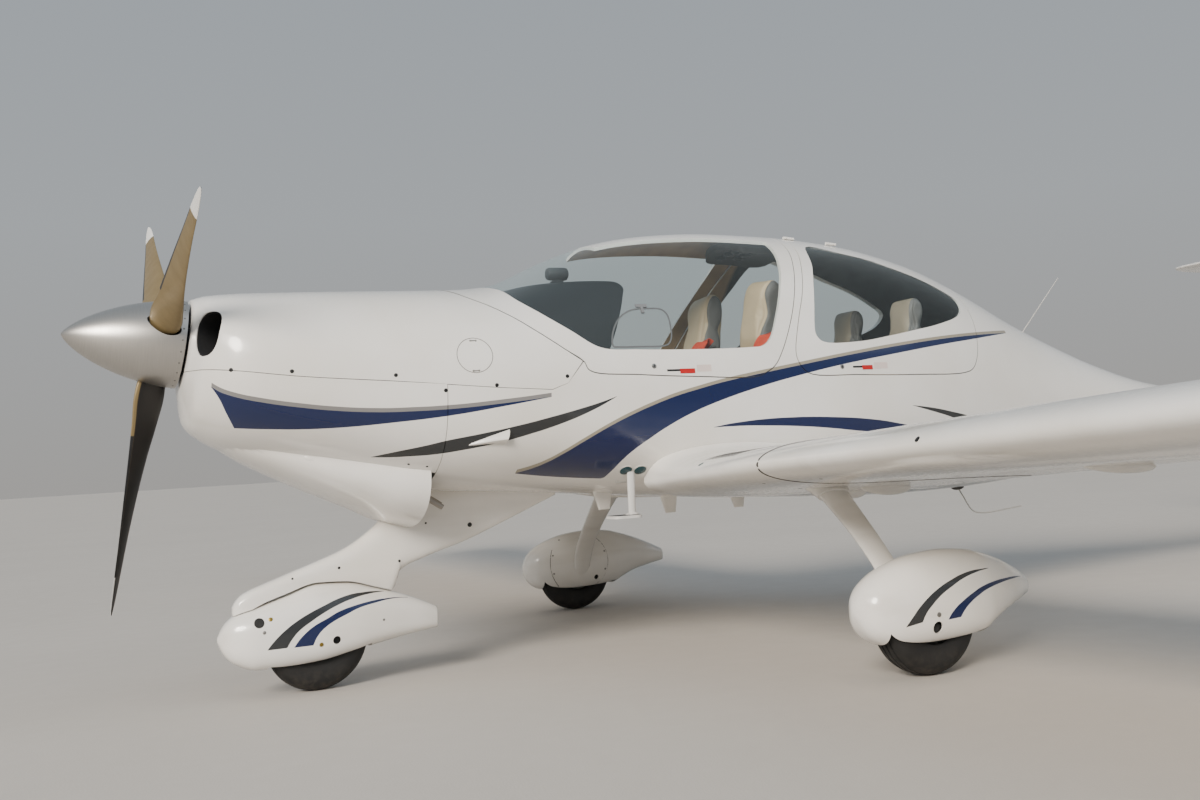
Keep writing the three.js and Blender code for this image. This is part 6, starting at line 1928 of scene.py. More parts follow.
def build_harness():
    dark, red = webbing("strap_dark", rgb(52, 52, 58)), webbing("strap_red", rgb(214, 66, 34))
    yellow, grey = webbing("strap_yellow", rgb(222, 170, 38)), webbing("strap_grey", rgb(120, 118, 116))
    steel = plain("buckle_steel", rgb(150, 150, 152), 0.3, 0.9)
    belts, sleeves, ties, pads, buckles = [], [], [], [], []
    for x in (FRONT_X, -FRONT_X):
        for s in (-1, 1):
            belts.append(strap([(x + s * 60, 2735, 1180), (x + s * 62, 2700, 1236), (x + s * 96, 2640, 1222),
                                (x + s * 100, 2560, 1150), (x + s * 96, 2500, 1010), (x + s * 76, 2440, 890),
                                (x + s * 20, 2370, 836)], 22))
            pads.append(strap([(x + s * 99, 2574, 1170), (x + s * 98, 2534, 1098), (x + s * 96, 2488, 985)],
                              27, 6))
            belts.append(strap([(x + s * 196, 2500, 780), (x + s * 160, 2450, 822), (x + s * 80, 2380, 842),
                                (x + s * 22, 2350, 838)], 22, across=(0, 1, 0.2)))
        buckles.append(turned("buckle", (x, 2362, 826), (x - 4, 2350, 850),
                              [(0, 26), (4, 30), (12, 30), (16, 24)], 32))
    for x, y, z, tall in ((-FRONT_X + 130, 2560, 1200, 240), (-FRONT_X + 150, 2500, 1010, 150),
                          (FRONT_X + 120, 2590, 1180, 130)):
        fold = [(x, y + 70, z + 40), (x - 6, y + 40, z + 56), (x + 4, y, z + 20),
                (x + 10, y - 24, z - tall * 0.35),
                (x + 4, y - 40, z - tall * 0.7), (x + 14, y - 50, z - tall)]
        sleeves.append(strap(fold, 34, 5, across=(0.8, 0.55, 0.1)))
    ties.append(strap([(FRONT_X + 60, 2530, 1160), (FRONT_X + 92, 2505, 1090), (FRONT_X + 88, 2490, 1040),
                       (FRONT_X + 112, 2470, 985), (FRONT_X + 108, 2455, 930)], 17, 4))
    add("harness_belts", gathered(belts), dark, "airframe")
    add("harness_pads", gathered(pads), grey, "airframe")
    add("harness_covers", gathered(sleeves), red, "airframe")
    add("harness_tie", gathered(ties), yellow, "airframe")
    add("harness_buckles", gathered(buckles), steel, "airframe")


PANEL_Y = 1800


def build_panel():
    moulded = plain("panel_moulding", rgb(12, 18, 23), 0.62, grain=160, depth=0.0004)
    screen = plain("screen_glass", rgb(10, 13, 18), 0.12, grain=20, depth=0.00002)
    bezel = plain("dark_bezel", rgb(44, 45, 48), 0.45)
    mark = plain("dial_mark", rgb(206, 204, 196), 0.5)
    room = fuselage_form(1235, 4200, 38, count=128, step=40)
    hood_side = [(1500, 1010), (1500, 1425),
                 *through([(1560, 1447), (1640, 1458), (1900, 1459), (1946, 1451), (1962, 1428),
                                                       (1946, 1388), (1885, 1260), (1820, 1130),
                                                       (1790, 1010)], 5)]
    hood = common(room, side_prism(hood_side, -600, 600))
    face_recess = common(block(-470, 470, PANEL_Y, 2100, 1062, 1418),
                         fuselage_form(1500, 2200, 66, count=96, step=40))
    low = common(fuselage_form(1235, 4200, 27, count=128, step=40), side_prism(
        [(1480, 905), (1480, 1035), (1798, 1035), (1798, 905)], -600, 600))
    add("panel_hood", largest(joined(cut(hood, face_recess), low)), moulded, "airframe",
        ["instrument_panel"])
    screens, bezels, marks = [], [], []
    face = PANEL_Y - 4
    for x in (-205, 205):
        bezels.append(side_prism([(face, 1176), (face + 14, 1176), (face + 14, 1384), (face, 1384)], x - 142,
                                 x + 142))
        screens.append(side_prism([(face + 13, 1190), (face + 15.5, 1190), (face + 15.5, 1370),
                                   (face + 13, 1370)],
                                  x - 118, x + 118))
        for k in range(6):
            for s in (-1, 1):
                knob = np.array([x + s * 130, face + 13, 1198 + k * 33])
                bezels.append(turned("knob", knob, knob + np.array([0, 11, 0]), [(0, 8), (9, 7), (10, 5)],
                                     20))
    for k, x in enumerate((-56, 0, 56)):
        hub = np.array([x, face, 1130])
        aft = hub + np.array([0, 19, 0])
        bezels.append(turned("gauge", hub, aft, [(0, 27), (15, 27), (18, 25), (18.01, 22), (15, 21)], 40))
        screens.append(turned("glass", hub, aft, [(4, 22), (15, 22)], 40))
        at = hub + np.array([0, 15.5, 0])
        for tick in range(12):
            a = 2 * np.pi * tick / 12
            out = np.array([math.sin(a), 0, math.cos(a)])
            marks.append(rod(at + out * 17, at + out * 19.6, 0.6, sides=6))
        marks.append(rod(at, at + np.array([11 * math.sin(k + 0.6), 0, 11 * math.cos(k + 0.6)]), 0.8,
                         sides=6))
    for k in range(9):
        x = -400 + k * 32
        bezels.append(side_prism([(face, 1100), (face + 10, 1100), (face + 16, 1113), (face + 10, 1125),
                                  (face, 1125)],
                                 x, x + 20))
    quadrant = joined(side_prism(through([(1900, 700), (1900, 1000), (1950, 1020), (2090, 930), (2160, 820),
                                          (2160, 700)], 5,
                                         closed=True), -52, 52), block(-60, 60, 1785, 2010, 700, 940))
    levers = []
    for x in (-24, 24):
        levers.append(tube([(x, 2030, 960), (x, 2050, 1010), (x, 2056, 1050)], 5, 12))
        levers.append(turned("knob", (x, 2052, 1040), (x, 2062, 1078), [(0, 9), (8, 13), (26, 13), (36, 8)],
                             24))
    post = side_prism(through([(1812, 1454), (1818, 1506), (1862, 1506), (1868, 1456)], 5), -16, 16)
    compass = turned("compass", (0, 1794, 1536), (0, 1884, 1536),
                     [(0, 16), (3, 23), (12, 27), (78, 28), (88, 26), (90, 20)], 40)
    glass = turned("compass_glass", (0, 1880, 1536), (0, 1888, 1536), [(0, 20), (6, 20), (8, 17)], 32)
    add("panel_bezels", gathered(bezels), bezel, "airframe")
    add("panel_screens", gathered([*screens, glass]), screen, "airframe")
    add("panel_marks", gathered(marks), mark, "airframe")
    add("power_quadrant", gathered([quadrant, *levers]), bezel, "airframe")
    add("compass_case", gathered([compass, post]), moulded, "airframe")


def build_sticks():
    black = plain("grip_black", rgb(28, 28, 29), 0.6, grain=140, depth=0.0005)
    gaiter_hide = hide("gaiter_hide", rgb(54, 52, 50), rgb(54, 52, 50))
    button = plain("button_red", rgb(170, 34, 28), 0.4)
    for side, x in (("left", FRONT_X), ("right", -FRONT_X)):
        shaft = tube(through([(x, 2062, 690), (x, 2054, 800), (x, 2046, 880), (x, 2045, 935)], 6), 9.5, 20)
        start, end = np.array([x, 2045, 925]), np.array([x, 2043, 1042])
        grip = turned("grip", start, end,
                      [(0, 12), (4, 17), (20, 18.5), (34, 16), (52, 17.5), (70, 16), (88, 18), (104, 19),
                                           (113, 15), (117, 8)], 32)
        base = []
        for k in range(16):
            t = k / 15
            r = 42 - 26 * t + (2.6 if k % 2 else -2.0)
            base.append((100 * t, r))
        gaiter = turned("gaiter", (x, 2062, 682), (x, 2058, 787), base, 40)
        floor_plate = plan_prism(through([(x - 50, 2020), (x + 50, 2020), (x + 54, 2110), (x - 54, 2110)], 6,
                                         closed=True),
                                 670, 684)
        add(f"stick_{side}_grip", gathered([shaft, grip]), black, "airframe",
            [f"control_stick_{side}"])
        add(f"stick_{side}_gaiter", gathered([gaiter, floor_plate]), gaiter_hide, "airframe")
        top = turned("button", (x, 2043, 1040), (x, 2043, 1047), [(0, 6), (5, 6), (7, 4)], 20)
        add(f"stick_{side}_button", top, button, "airframe")


def build_ceiling():
    dark = plain("ceiling_moulding", rgb(58, 56, 54), 0.7, grain=90)
    black = plain("vent_black", rgb(20, 20, 21), 0.55)
    under_roof = fuselage_form(2400, 3300, 34, count=128, step=30)
    lower = fuselage_form(2400, 3300, 62, count=128, step=30)
    console = cut(common(under_roof,
                         plan_prism(through([(-150, 2640), (150, 2640), (165, 2760), (150, 2960),
                                             (-150, 2960),
                                                         (-165, 2760)], 5, closed=True), 1400, 1800)), lower)
    vents = []
    for x in (-105, -38, 38, 105):
        for y in (2700, 2790):
            z = 1708 - 62 - (x / 150) ** 2 * 12
            vents.append(turned("vent", (x, y, z + 8), (x, y, z - 10),
                                [(0, 24), (6, 27), (12, 26), (17, 21), (17.01, 14),
                                                                         (10, 12)], 32))
    add("ceiling_console", largest(console), dark, "airframe")
    add("ceiling_vents", gathered(vents), black, "airframe")


build_seats()
build_harness()
build_panel()
build_sticks()
build_ceiling()

# Small fittings on the skin


def skin_place(start, towards, reference=None):
    """Where a line meets a form's surface and the way that surface faces, in mm."""
    aim = Vector(towards).normalized()
    place, normal, _, _ = (reference or outer_reference).tree.ray_cast(Vector(row(start)), aim)
    at = np.array(place) * 1000
    at[1] += HALF_LENGTH * 1000
    out = np.array(normal)
    return at, out if out.dot(np.array(aim)) < 0 else -out


def on_side(y, z, side=1):
    return skin_place((side * 2000, y, z), (-side, 0, 0))


def wing_surface(x, share, sign=1):
    """A place on the wing's skin and the way it faces; sign is 1 above and -1 below."""
    def at(px, ps):
        _, y, z, chord, thick, camber = [px, *wing_section(px)]
        shape = 5 * (0.2969 * math.sqrt(ps) - 0.126 * ps - 0.3516 * ps**2 + 0.2843 * ps**3 - 0.0985 * ps**4)
        up = chord * (sign * shape * thick + camber_line(ps, camber))
        return np.array([px, y + ps * chord * math.cos(WING_DROP) + up * math.sin(WING_DROP),
                         z - ps * chord * math.sin(WING_DROP) + up * math.cos(WING_DROP)])
    here = at(x, share)
    normal = np.cross(at(x + 2, share) - here, at(x, share + 0.004) - here) * sign
    return here, normal / np.linalg.norm(normal)


def stud(place, normal, radius, height=1.6, slots=True, sides=24):
    """A low domed fastener with a slot across it."""
    low = place - normal * 1.5
    made = turned("stud", low, low + normal,
                  [(0, radius), (1.5 + height * 0.5, radius), (1.5 + height, radius * 0.72)], sides)
    if not slots:
        return [made]
    _, side, up = frame_on(normal)
    return [made, mesh_box(place + normal * (height + 0.1), side, up, normal, radius * 0.6, radius * 0.14,
                           0.25)]


def mesh_box(at, side, up, normal, half_side, half_up, half_deep):
    corners = [at + side * half_side * a + up * half_up * b + normal * half_deep * c
               for a in (-1, 1) for b in (-1, 1) for c in (-1, 1)]
    faces = [(0, 1, 3, 2), (4, 6, 7, 5), (0, 4, 5, 1), (2, 3, 7, 6), (0, 2, 6, 4), (1, 5, 7, 3)]
    return mesh_of("box", np.array(corners), faces)


def skin_strip(places, normals, half_width, lift=0.5, closed=False):
    """A flat ribbon lying along a path on a surface."""
    p, n = np.array(places), np.array(normals)
    ahead = np.gradient(p, axis=0)
    if closed:
        ahead = np.roll(p, -1, 0) - np.roll(p, 1, 0)
    ahead /= np.linalg.norm(ahead, axis=1, keepdims=True)
    side = np.cross(n, ahead)
    rings = [[q + s * half_width * a + m * b for a, b in ((-1, -1), (-1, lift), (1, lift), (1, -1))]
             for q, s, m in zip(p, side, n)]
    if closed:
        rings.append(rings[0])
    return loft("strip", rings)


def side_line(points, half_width, side=1, lift=0.5, per=6, closed=False, reference=None):
    path = through(points, per, closed=closed)
    found = [skin_place((side * 2000, y, z), (-side, 0, 0), reference) for y, z in path]
    return skin_strip([f[0] for f in found], [f[1] for f in found], half_width, lift, closed)


def side_plate(y0, y1, z0, z1, side, lift, sink=2.0, steps=10):
    """A thin plate that follows the fuselage's side, as station and height limits."""
    rings = []
    for y in np.linspace(y0, y1, steps):
        ring = []
        for z, out in ((z0, -sink), (z0, lift), (z1, lift), (z1, -sink)):
            at, normal = on_side(y, z, side)
            ring.append(at + normal * out)
        rings.append(ring)
    return loft("plate", rings)


def blister(place, along, normal, length, width, height):
    """A smooth raised bump, longer than it is wide."""
    along = np.asarray(along, float) / np.linalg.norm(along)
    side = np.cross(normal, along)
    rings = []
    for t in np.linspace(-0.995, 0.995, 22):
        r = (1 - t * t) ** 0.5
        a = np.linspace(0, 2 * np.pi, 24, endpoint=False)
        rings.append([place + along * t * length / 2 + side * math.cos(k) * r * width / 2 + normal
                      * math.sin(k) * r * height
                      for k in a])
    return loft("blister", rings)


def build_cowl_fittings():
    black = plain("fastener_black", rgb(24, 24, 25), 0.5, 0.3)
    line = plain("seam_dark", rgb(96, 92, 86), 0.8)
    metal = plain("latch_metal", rgb(150, 146, 138), 0.35, 0.8)
    dark, lines, latches, bumps, mouths = [], [], [], [], []
    for side in (1, -1):
        for y, z in ((498, 1134), (684, 1120), (1023, 1094), (1192, 1034), (1373, 1066), (1639, 1090)):
            if y < 1200:
                dark += stud(*on_side(y, z, side), 7)
        for y, z in ((623, 861), (1097, 784), (1160, 772), (900, 806)):
            dark += stud(*on_side(y, z, side), 4.5)
        circle = [(1302 + 64 * math.cos(a), 1157 + 64 * math.sin(a))
                  for a in np.linspace(0, 2 * np.pi, 49)[:-1]]
        lines.append(side_line(circle, 1.1, side, per=1, closed=True))
        for z in (1211, 1100):
            for y in (1292, 1312):
                latches += stud(*on_side(y, z, side), 3.6)
            at, normal = on_side(1302, z, side)
            latches.append(mesh_box(at + normal * 0.6, np.array([0, 1.0, 0]), np.cross(normal, (0, 1, 0)),
                                    normal, 12, 1.6, 1.2))
        at, normal = on_side(815, 818, side)
        bumps.append(blister(at, (0, 1, -0.25), normal, 128, 44, 22))
        ends = [(1272, 836), (1300, 842), (1340, 850), (1380, 857), (1412, 861)]
        rings, inner = [], []
        for k, (y, z) in enumerate(ends):
            at, normal = on_side(y, z, side)
            t = k / (len(ends) - 1)
            tall, proud = 3 + 25 * t, 2 + 27 * t
            for store, shrink, push in ((rings, 0, 0), (inner, 2.4, 1.2)):
                up = np.array([0, 0.28, 1.0])
                up -= normal * up.dot(normal)
                up /= np.linalg.norm(up)
                store.append([at + np.array([0, push, 0]) + up * (tall - shrink) * u + normal
                              * ((proud - shrink) * v - 4)
                              for u, v in ((-1, 0), (-0.9, 0.35), (-0.55, 0.8), (0, 1.1), (0.55, 0.9),
                                           (0.9, 0.45), (1, 0),
                                           (0.5, -0.1), (-0.5, -0.1))])
        bumps.append(loft("scoop", rings))
        mouths.append(loft("mouth", inner))
    fixed_studs = []
    for side in (1, -1):
        for y, z in ((1373, 1066), (1639, 1090)):
            fixed_studs += stud(*on_side(y, z - 20, side), 7)
    add("cowl_fasteners", gathered(dark), black, "airframe")
    add("side_fasteners", gathered(fixed_studs), black, "airframe")
    add("cowl_door_seam", gathered(lines), line, "airframe")
    add("cowl_latches", gathered(latches), metal, "airframe")
    add("cowl_bumps", gathered(bumps), white, "airframe")
    # The scoop mouths are near-black: painted shade inside the scoops
    add("cowl_scoop_mouths", gathered(mouths), inner_shade_paint, "airframe")
    firewall = common(fuselage_form(1180, 1245, 11, count=96, step=30),
                      block(-700, 700, 1201, 1212, 300, 1600))
    add("firewall_sheet", firewall, plain("firewall_steel", rgb(120, 120, 118), 0.45, 0.8, grain=60),
        "airframe")
    pipes = []
    for x, drop in ((246, 0), (270, 9)):
        path = through([(x, 1070, 768), (x, 1130, 712), (x + 2, 1180, 674 - drop),
                        (x + 4, 1246, 630 - drop)], 6)
        pipes.append(hollow_tube(path, 10, 8))
    add("exhaust_pipes", gathered(pipes), plain("exhaust_steel", rgb(150, 144, 136), 0.34, 0.9, grain=80),
        "airframe")


def build_marks():
    black = plain("lock_black", rgb(20, 20, 21), 0.4)
    red = plain("lock_red", rgb(186, 24, 22), 0.38)
    plate = plain("blank_placard", rgb(222, 206, 198), 0.45)
    metal = plain("lock_metal", rgb(150, 148, 144), 0.3, 0.85)
    for body, dot, slot, handle, card in (
        ("canopy", (1993, 1099), (2046, 2102, 1082), (2102, 2166, 1077), (2176, 2240, 1086)),
        ("rear_door", (2874, 1080), (2931, 2981, 1079), (2981, 3036, 1075), (3046, 3122, 1082)),
    ):
        at, normal = on_side(*dot)
        lock = turned("lock", at - normal, at, [(0, 10), (1.6, 10), (2.4, 8.5), (2.41, 5), (1.5, 4.5)], 28)
        add(f"{body}_lock", lock, metal, body)
        add(f"{body}_lock_key",
            mesh_box(at + normal * 1.0, np.array([0, 0, 1.0]), np.array([0, 1.0, 0]), normal, 4.5, 1.2, 0.8),
            black, body)
        add(f"{body}_handle_slot", side_plate(slot[0], slot[1], slot[2] - 5, slot[2] + 3, 1, 0.6), black,
            body)
        add(f"{body}_handle_tab", side_plate(handle[0], handle[1], handle[2] - 9, handle[2] + 9, 1, 2.2),
            red, body)
        add(f"{body}_placard", side_plate(card[0], card[1], card[2] - 13, card[2] + 14, 1, 0.5), plate, body)
    seam = [(1836, 1180), (1841, 1224), (1870, 1276), (1901, 1305), (1947, 1325), (2014, 1330), (2066, 1326),
            (2086, 1306),
            (2090, 1262), (2084, 1210), (2066, 1184), (2038, 1177), (1940, 1176), (1862, 1176)]
    rubber_seal = plain("seal_grey", rgb(96, 100, 102), 0.7)
    grey = plain("latch_grey", rgb(120, 122, 124), 0.45)
    for side, name in ((1, "left"), (-1, "right")):
        add(f"vent_window_seal_{name}", side_line(seam, 3.2, side, 0.8, 4, closed=True), rubber_seal,
            "canopy")
        at, normal = on_side(1984, 1334, side)
        up = np.cross(normal, (0, 1, 0)) * side
        grip = gathered([mesh_box(at + normal * 3 + up * 6, np.array([0, 1.0, 0]), up, normal, 24, 7, 2.5),
                         mesh_box(at + normal * 5 - up * 14, np.array([0, 1.0, 0]), up, normal, 6, 15, 4)])
        add(f"vent_window_latch_{name}", grip, grey, "canopy")


def build_wing_fittings():
    line = plain("joint_sealant", rgb(52, 49, 45), 0.8)
    ribs_dark = plain("walkway_grip", rgb(92, 90, 88), 0.9, grain=200, depth=0.0006)
    teal = plain("drain_teal", rgb(26, 84, 86), 0.25)
    # Near-black discs stand for holes in the wing: painted shade inside each hole
    dark = plain("painted_hole_shade", rgb(18, 18, 18), 0.6)
    shares = np.concatenate([np.linspace(0.96, 0.001, 46) ** 1.3, np.linspace(0.001, 0.96, 46) ** 1.3])
    signs = [1] * 46 + [-1] * 46
    joints, ribs, drains, holes, pods, collars = [], [], [], [], [], []
    ring = [wing_surface(STUB_END_X + 0.4, s, k) for s, k in zip(shares, signs)]
    joints.append(skin_strip([r[0] for r in ring], [r[1] for r in ring], 4.5, 1.0))
    for k in range(15):
        x = 690 + k * 26
        path = [wing_surface(x + 60 * s, 0.05 + 0.13 * s, 1) for s in np.linspace(0, 1, 6)]
        ribs.append(skin_strip([p[0] for p in path], [p[1] for p in path], 1.8, 0.8))
    drains += stud(*wing_surface(880, 0.022, 1), 11, 1.2, slots=False)
    for x, share, sign, radius in ((2180, 0.004, 1, 9), (1500, 0.12, -1, 6), (1180, 0.1, -1, 6),
                                   (1000, 0.3, -1, 8)):
        holes += stud(*wing_surface(x, share, sign), radius, 0.6, slots=False)
    for x, length, width, tall in ((480, 170, 52, 34), (800, 250, 56, 34), (2060, 330, 40, 26),
                                   (3000, 300, 38, 24),
                                   (4300, 260, 34, 22)):
        share = 0.74 if x > 1350 else 0.70
        at, normal = wing_surface(max(x, 560), share, -1)
        at = at.copy()
        at[0] = x
        pods.append(blister(at, (0, math.cos(WING_DROP), -math.sin(WING_DROP)), normal, length, width, tall))
    a = np.linspace(0, 2 * np.pi, 48, endpoint=False)
    path = np.array([(x, z) for x, z, _, _ in MAIN_LEG])
    ahead = (path[1] - path[0]) / np.linalg.norm(path[1] - path[0])
    start = path[0] + ahead * 70
    rings = []
    for t in np.linspace(0, 1, 9):
        x, z = start + ahead * 112 * t
        grow = 6 + 26 * (1 - t) ** 1.4
        reach = 70 + 112 * t
        chord, thick = (np.interp(reach, [0, 111, 463], MAIN_LEG[:3, k]) for k in (2, 3))
        u, v = (chord + grow) * np.cos(a), (thick + grow) * np.sin(a)
        rings.append(np.stack([x - v * ahead[1], LEG_Y + u, z + v * ahead[0]], 1))
    collars.append(loft("collar", rings))
    for side, flip in (("left", lambda m: m.copy()), ("right", mirrored)):
        add(f"wing_joint_seal_{side}", flip(gathered(joints)), line, "airframe")
        add(f"wing_pods_{side}", flip(gathered(pods)), white, "airframe")
        add(f"main_leg_collar_{side}", flip(gathered(collars)), white, "airframe")
        add(f"walkway_ribs_{side}", flip(gathered(ribs)), ribs_dark, "airframe")
        add(f"wing_drains_{side}", flip(gathered(drains)), teal, "airframe")
        # The holes are near-black discs: painted shade
        add(f"wing_holes_{side}", flip(gathered(holes)), dark, "airframe")
    lamps = {"left": rgb(150, 16, 16), "right": rgb(14, 120, 60)}
    for side, flip in (("left", lambda m: m), ("right", mirrored)):
        at, normal = wing_surface(5600, 0.02, 1)
        add(f"tip_lamp_{side}", flip(blister(at, (0.5, 0.7, 0.3), normal, 90, 34, 16)),
            plain(f"lamp_{side}", lamps[side], 0.12), "airframe")


def build_body_fittings():
    teal, ring_white = plain("port_teal", rgb(16, 62, 70), 0.12), plain("port_ring", rgb(206, 204, 198), 0.4)
    ports, rings = [], []
    for y, z in ((1904, 712), (1962, 710)):
        at, normal = on_side(y, z, 1)
        ports.append(turned("port", at - normal * 2, at, [(0, 24), (3.4, 24), (4.2, 22)], 36))
        rings.append(turned("port_ring", at - normal * 2, at,
                            [(0, 28), (3.0, 28), (3.6, 26.4), (3.61, 24.2), (2, 24)], 36))
    at, normal = on_side(1930, 668, 1)
    rings.append(mesh_box(at, np.array([0, 1.0, 0]), np.cross(normal, (0, 1, 0)), normal, 34, 6, 3))
    add("step_ports", gathered(ports), teal, "airframe")
    add("step_port_rings", gathered(rings), ring_white, "airframe")
    fins = []
    for x, y, tall in ((200, 1905, 74), (0, 2300, 74), (-200, 2750, 60)):
        top = skin_place((x, y, 300), (0, 0, 1))[0][2] + 6
        rows_of = []
        for t in np.linspace(0, 1, 6):
            chord, thick = 82 - 34 * t, 9 - 4 * t
            c, h = aerofoil(14)
            rows_of.append(np.stack([x + h * thick * 2.2, y - chord * 0.35 + 12 * t + c * chord,
                                     np.full(len(c), top - tall * t)], 1))
        fins.append(loft("belly_fin", rows_of))
    add("belly_fins", gathered(fins), white, "airframe")
    rods, bases = [], []
    whip = plain("whip_rod", rgb(196, 192, 186), 0.4)
    at, normal = skin_place((0, 4375, 2000), (0, 0, -1))
    rods.append(tube([at, at + (np.array([0, 4682, 1559]) - at) * 0.5, np.array([0, 4682, 1559])],
                     [3.4, 2.6, 1.8], 10))
    bases.append(blister(at, (0, 1, -0.3), normal, 70, 26, 14))
    at, normal = skin_place((0, 3883, 200), (0, 0, 1))
    rods.append(tube(through([at, (0, 3912, 478), (0, 3965, 404), (0, 4020, 388), (0, 4280, 402)], 8), 3.2,
                     12))
    bases.append(blister(at, (0, 1, 0), normal, 80, 34, 16))
    add("whip_rods", gathered(rods), whip, "airframe")
    add("whip_bases", gathered(bases), plain("whip_base", rgb(70, 68, 66), 0.6), "airframe")
    knuckles, leaves = [], []
    for y in (2925, 3155):
        z = 1710 - 0.083 * (y - 2780)
        axis = np.array([0, 1, -0.083])
        axis /= np.linalg.norm(axis)
        centre = np.array([124.0, y, z])
        knuckles.append(turned("knuckle", centre - axis * 12, centre, [(0, 7), (24, 7)], 24))
        leaves.append(turned("knuckle", centre - axis * 27, centre, [(0, 7), (13.5, 7)], 24))
        leaves.append(turned("knuckle", centre + axis * 13.5, centre + axis * 20, [(0, 7), (13.5, 7)], 24))
    add("door_hinge_moving", gathered(knuckles), white, "rear_door")
    add("door_hinge_fixed", gathered(leaves), white, "airframe")


def build_gear_fittings():
    brass, grey = plain("brass_stud", rgb(146, 124, 62), 0.35, 0.8), plain("grey_stud", rgb(126, 124, 120),
        0.45, 0.6)
    nose_form = Reference(table_form(NOSE_FAIRING, count=80, steps=70))
    main_form = Reference(table_form(MAIN_FAIRING, count=88, steps=70, x0=MAIN_CENTRE))
    black = plain("gear_fastener", rgb(30, 30, 30), 0.5)
    brasses, greys, darks = [], [], []
    for side in (1, -1):
        for y, z in ((676, 273), (846, 168)):
            brasses += stud(*skin_place((side * 600, y, z), (-side, 0, 0), nose_form), 7.5)
        for y, z, r in ((654, 231, 6), (1076, 226, 4.5)):
            greys += stud(*skin_place((side * 600, y, z), (-side, 0, 0), nose_form), r)
    add("nose_fairing_brass", gathered(brasses), brass, "nose_fork")
    add("nose_fairing_studs", gathered(greys), grey, "nose_fork")
    leg_rows = np.array([(y, top, bottom, (top + bottom) / 2, half, 2.6, 4.5) for y, top, bottom,
                         half in NOSE_LEG])
    leg = Reference(table_form(leg_rows, count=56, steps=90))
    for side in (1, -1):
        for y, z, r in ((1424, 540, 9), (1146, 429, 5), (924, 425, 5), (760, 402, 4), (1250, 560, 4)):
            darks += stud(*skin_place((side * 400, y, z), (-side, 0, 0), leg), r, 1.2)
    add("nose_leg_studs", gathered(darks), black, "airframe")
    for side, flip in (("left", lambda m: m.copy()), ("right", mirrored)):
        outer_studs = stud(*skin_place((2000, 2456, 201), (-1, 0, 0), main_form), 8)
        inner_studs = []
        for k in range(10):
            a = 2 * np.pi * (k + 0.5) / 10
            y, z = 2470 + 146 * math.cos(a), 240 + 146 * math.sin(a)
            if 140 < z < 372:
                inner_studs += stud(*skin_place((1000, y, z), (1, 0, 0), main_form), 4.5)
        add(f"main_fairing_{side}_studs", flip(gathered([*outer_studs, *inner_studs])), grey, "airframe")
    rivets = []
    for k in range(24):
        a = 2 * np.pi * k / 24
        _, s, u = frame_on(shaft_point(1) - shaft_point(0))
        out = s * math.cos(a) + u * math.sin(a)
        rivets += stud(shaft_point(374) + out * (SPINNER["radius"] - 0.6), out, 3.4, 1.0)
    add("spinner_screws", gathered(rivets), grey, "propeller")


build_cowl_fittings()
build_marks()
build_wing_fittings()
build_body_fittings()
build_gear_fittings()

iron = plain("engine_iron", rgb(74, 74, 76), 0.5, 0.7, grain=70)
for carried in [piece for piece in bpy.data.objects if piece.type == "MESH"
                and piece.name.startswith("engine_block")]:
    carried.data.materials.clear()
    carried.data.materials.append(iron)

# Floor, light and camera

floor_tree = Tree("floor_paint")
floor_tree.set(
    Base_Color=floor_tree.mix(floor_tree.noise(0.6, 4), rgb(198, 191, 182), rgb(189, 182, 173)),
    Roughness=floor_tree.range(floor_tree.noise(8.0, 3), 0.3, 0.7, 0.6, 0.8),
)
floor_tree.bump(floor_tree.noise(140.0, 3), 0.002, 0.4)
floor_mesh = bpy.data.meshes.new("floor")
reach = 260
floor_mesh.from_pydata([(-reach, -reach, 0), (reach, -reach, 0), (reach, reach, 0), (-reach, reach, 0)], [],
                       [(0, 1, 2, 3)])
floor_mesh.materials.append(floor_tree.material)
floor = bpy.data.objects.new("floor", floor_mesh)
bpy.context.scene.collection.objects.link(floor)

world = bpy.data.worlds.new("studio")
bpy.context.scene.world = world
world.use_nodes = True
world_nodes = world.node_tree.nodes
world_nodes.clear()
world_output = world_nodes.new("ShaderNodeOutputWorld")
sky = world_nodes.new("ShaderNodeBackground")
fade = world_nodes.new("ShaderNodeValToRGB")
height = world_nodes.new("ShaderNodeSeparateXYZ")
where = world_nodes.new("ShaderNodeTexCoord")
link = world.node_tree.links.new
link(where.outputs["Generated"], height.inputs[0])
link(height.outputs[2], fade.inputs[0])
link(fade.outputs[0], sky.inputs["Color"])
link(sky.outputs[0], world_output.inputs["Surface"])
ramp = fade.color_ramp.elements
ramp[0].color = (0.40, 0.39, 0.375, 1)
ramp[1].color = (0.30, 0.37, 0.45, 1)
ramp[1].position = 0.75
middle = ramp.new(0.18)
middle.color = (0.42, 0.445, 0.465, 1)
sky.inputs["Strength"].default_value = 1.0


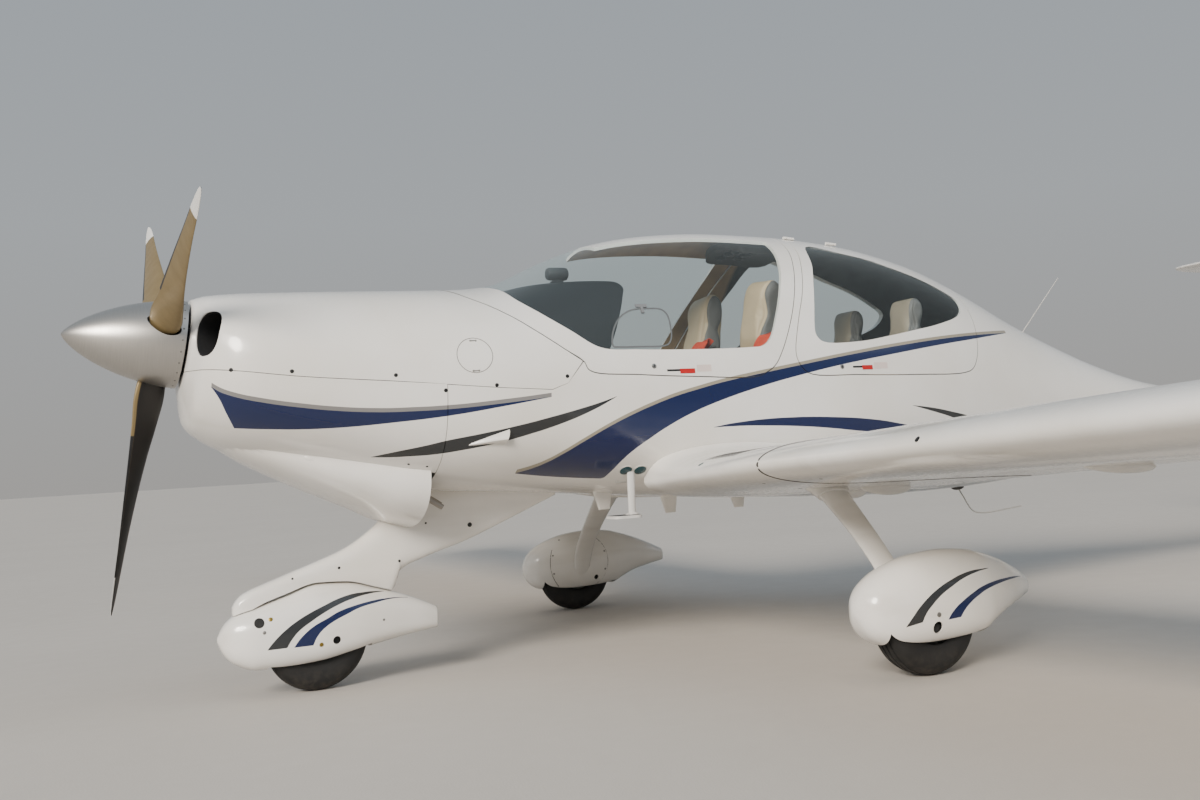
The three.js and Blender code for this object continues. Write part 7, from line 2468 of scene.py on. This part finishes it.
def soft_sun(name, towards, energy, spread, tint=(1, 1, 1)):
    """A broad, far light, so the floor is lit evenly out to its edge."""
    light = bpy.data.lights.new(name, "SUN")
    light.energy = energy
    light.angle = math.radians(spread)
    light.color = tint
    lamp = bpy.data.objects.new(name, light)
    lamp.rotation_euler = Vector(towards).to_track_quat("-Z", "Y").to_euler()
    bpy.context.scene.collection.objects.link(lamp)


def softbox(name, place, aim, size, power, tint=(1, 1, 1)):
    light = bpy.data.lights.new(name, "AREA")
    light.shape = "RECTANGLE"
    light.size, light.size_y = size
    light.energy = power
    light.color = tint
    lamp = bpy.data.objects.new(name, light)
    lamp.location = place
    lamp.rotation_euler = (Vector(aim) - Vector(place)).to_track_quat("-Z", "Y").to_euler()
    bpy.context.scene.collection.objects.link(lamp)


soft_sun("key", (-0.62, 0.70, -0.46), 4.0, 20, (1.0, 0.93, 0.84))
soft_sun("fill", (-0.7, -0.5, -0.9), 0.5, 60, (0.86, 0.93, 1.0))
softbox("glow", (6.0, -10.0, 6.0), (0.0, -1.5, 0.9), (7.0, 3.0), 260, (1.0, 0.95, 0.88))

CAMERA = {"place": (5.059, -4.262, 0.763), "yaw": 59.26, "pitch": 9.41, "roll": -3.51, "focal_px": 1300.0,
          "centre_px": (146.0, -166.4), "width_px": 1200}


def add_camera():
    yaw, pitch, roll = (math.radians(CAMERA[k]) for k in ("yaw", "pitch", "roll"))
    ahead = Vector((-math.sin(yaw) * math.cos(pitch), math.cos(yaw) * math.cos(pitch), math.sin(pitch)))
    side = ahead.cross(Vector((0, 0, 1))).normalized()
    up = side.cross(ahead)
    right = side * math.cos(roll) + up * math.sin(roll)
    top = up * math.cos(roll) - side * math.sin(roll)
    data = bpy.data.cameras.new("camera")
    data.sensor_width = 36
    data.lens = CAMERA["focal_px"] / CAMERA["width_px"] * data.sensor_width
    data.shift_x = -CAMERA["centre_px"][0] / CAMERA["width_px"]
    data.shift_y = CAMERA["centre_px"][1] / CAMERA["width_px"]
    camera = bpy.data.objects.new("camera", data)
    turn = Matrix((right, top, -ahead)).transposed().to_4x4()
    camera.matrix_world = Matrix.Translation(CAMERA["place"]) @ turn
    bpy.context.scene.collection.objects.link(camera)
    bpy.context.scene.camera = camera


add_camera()
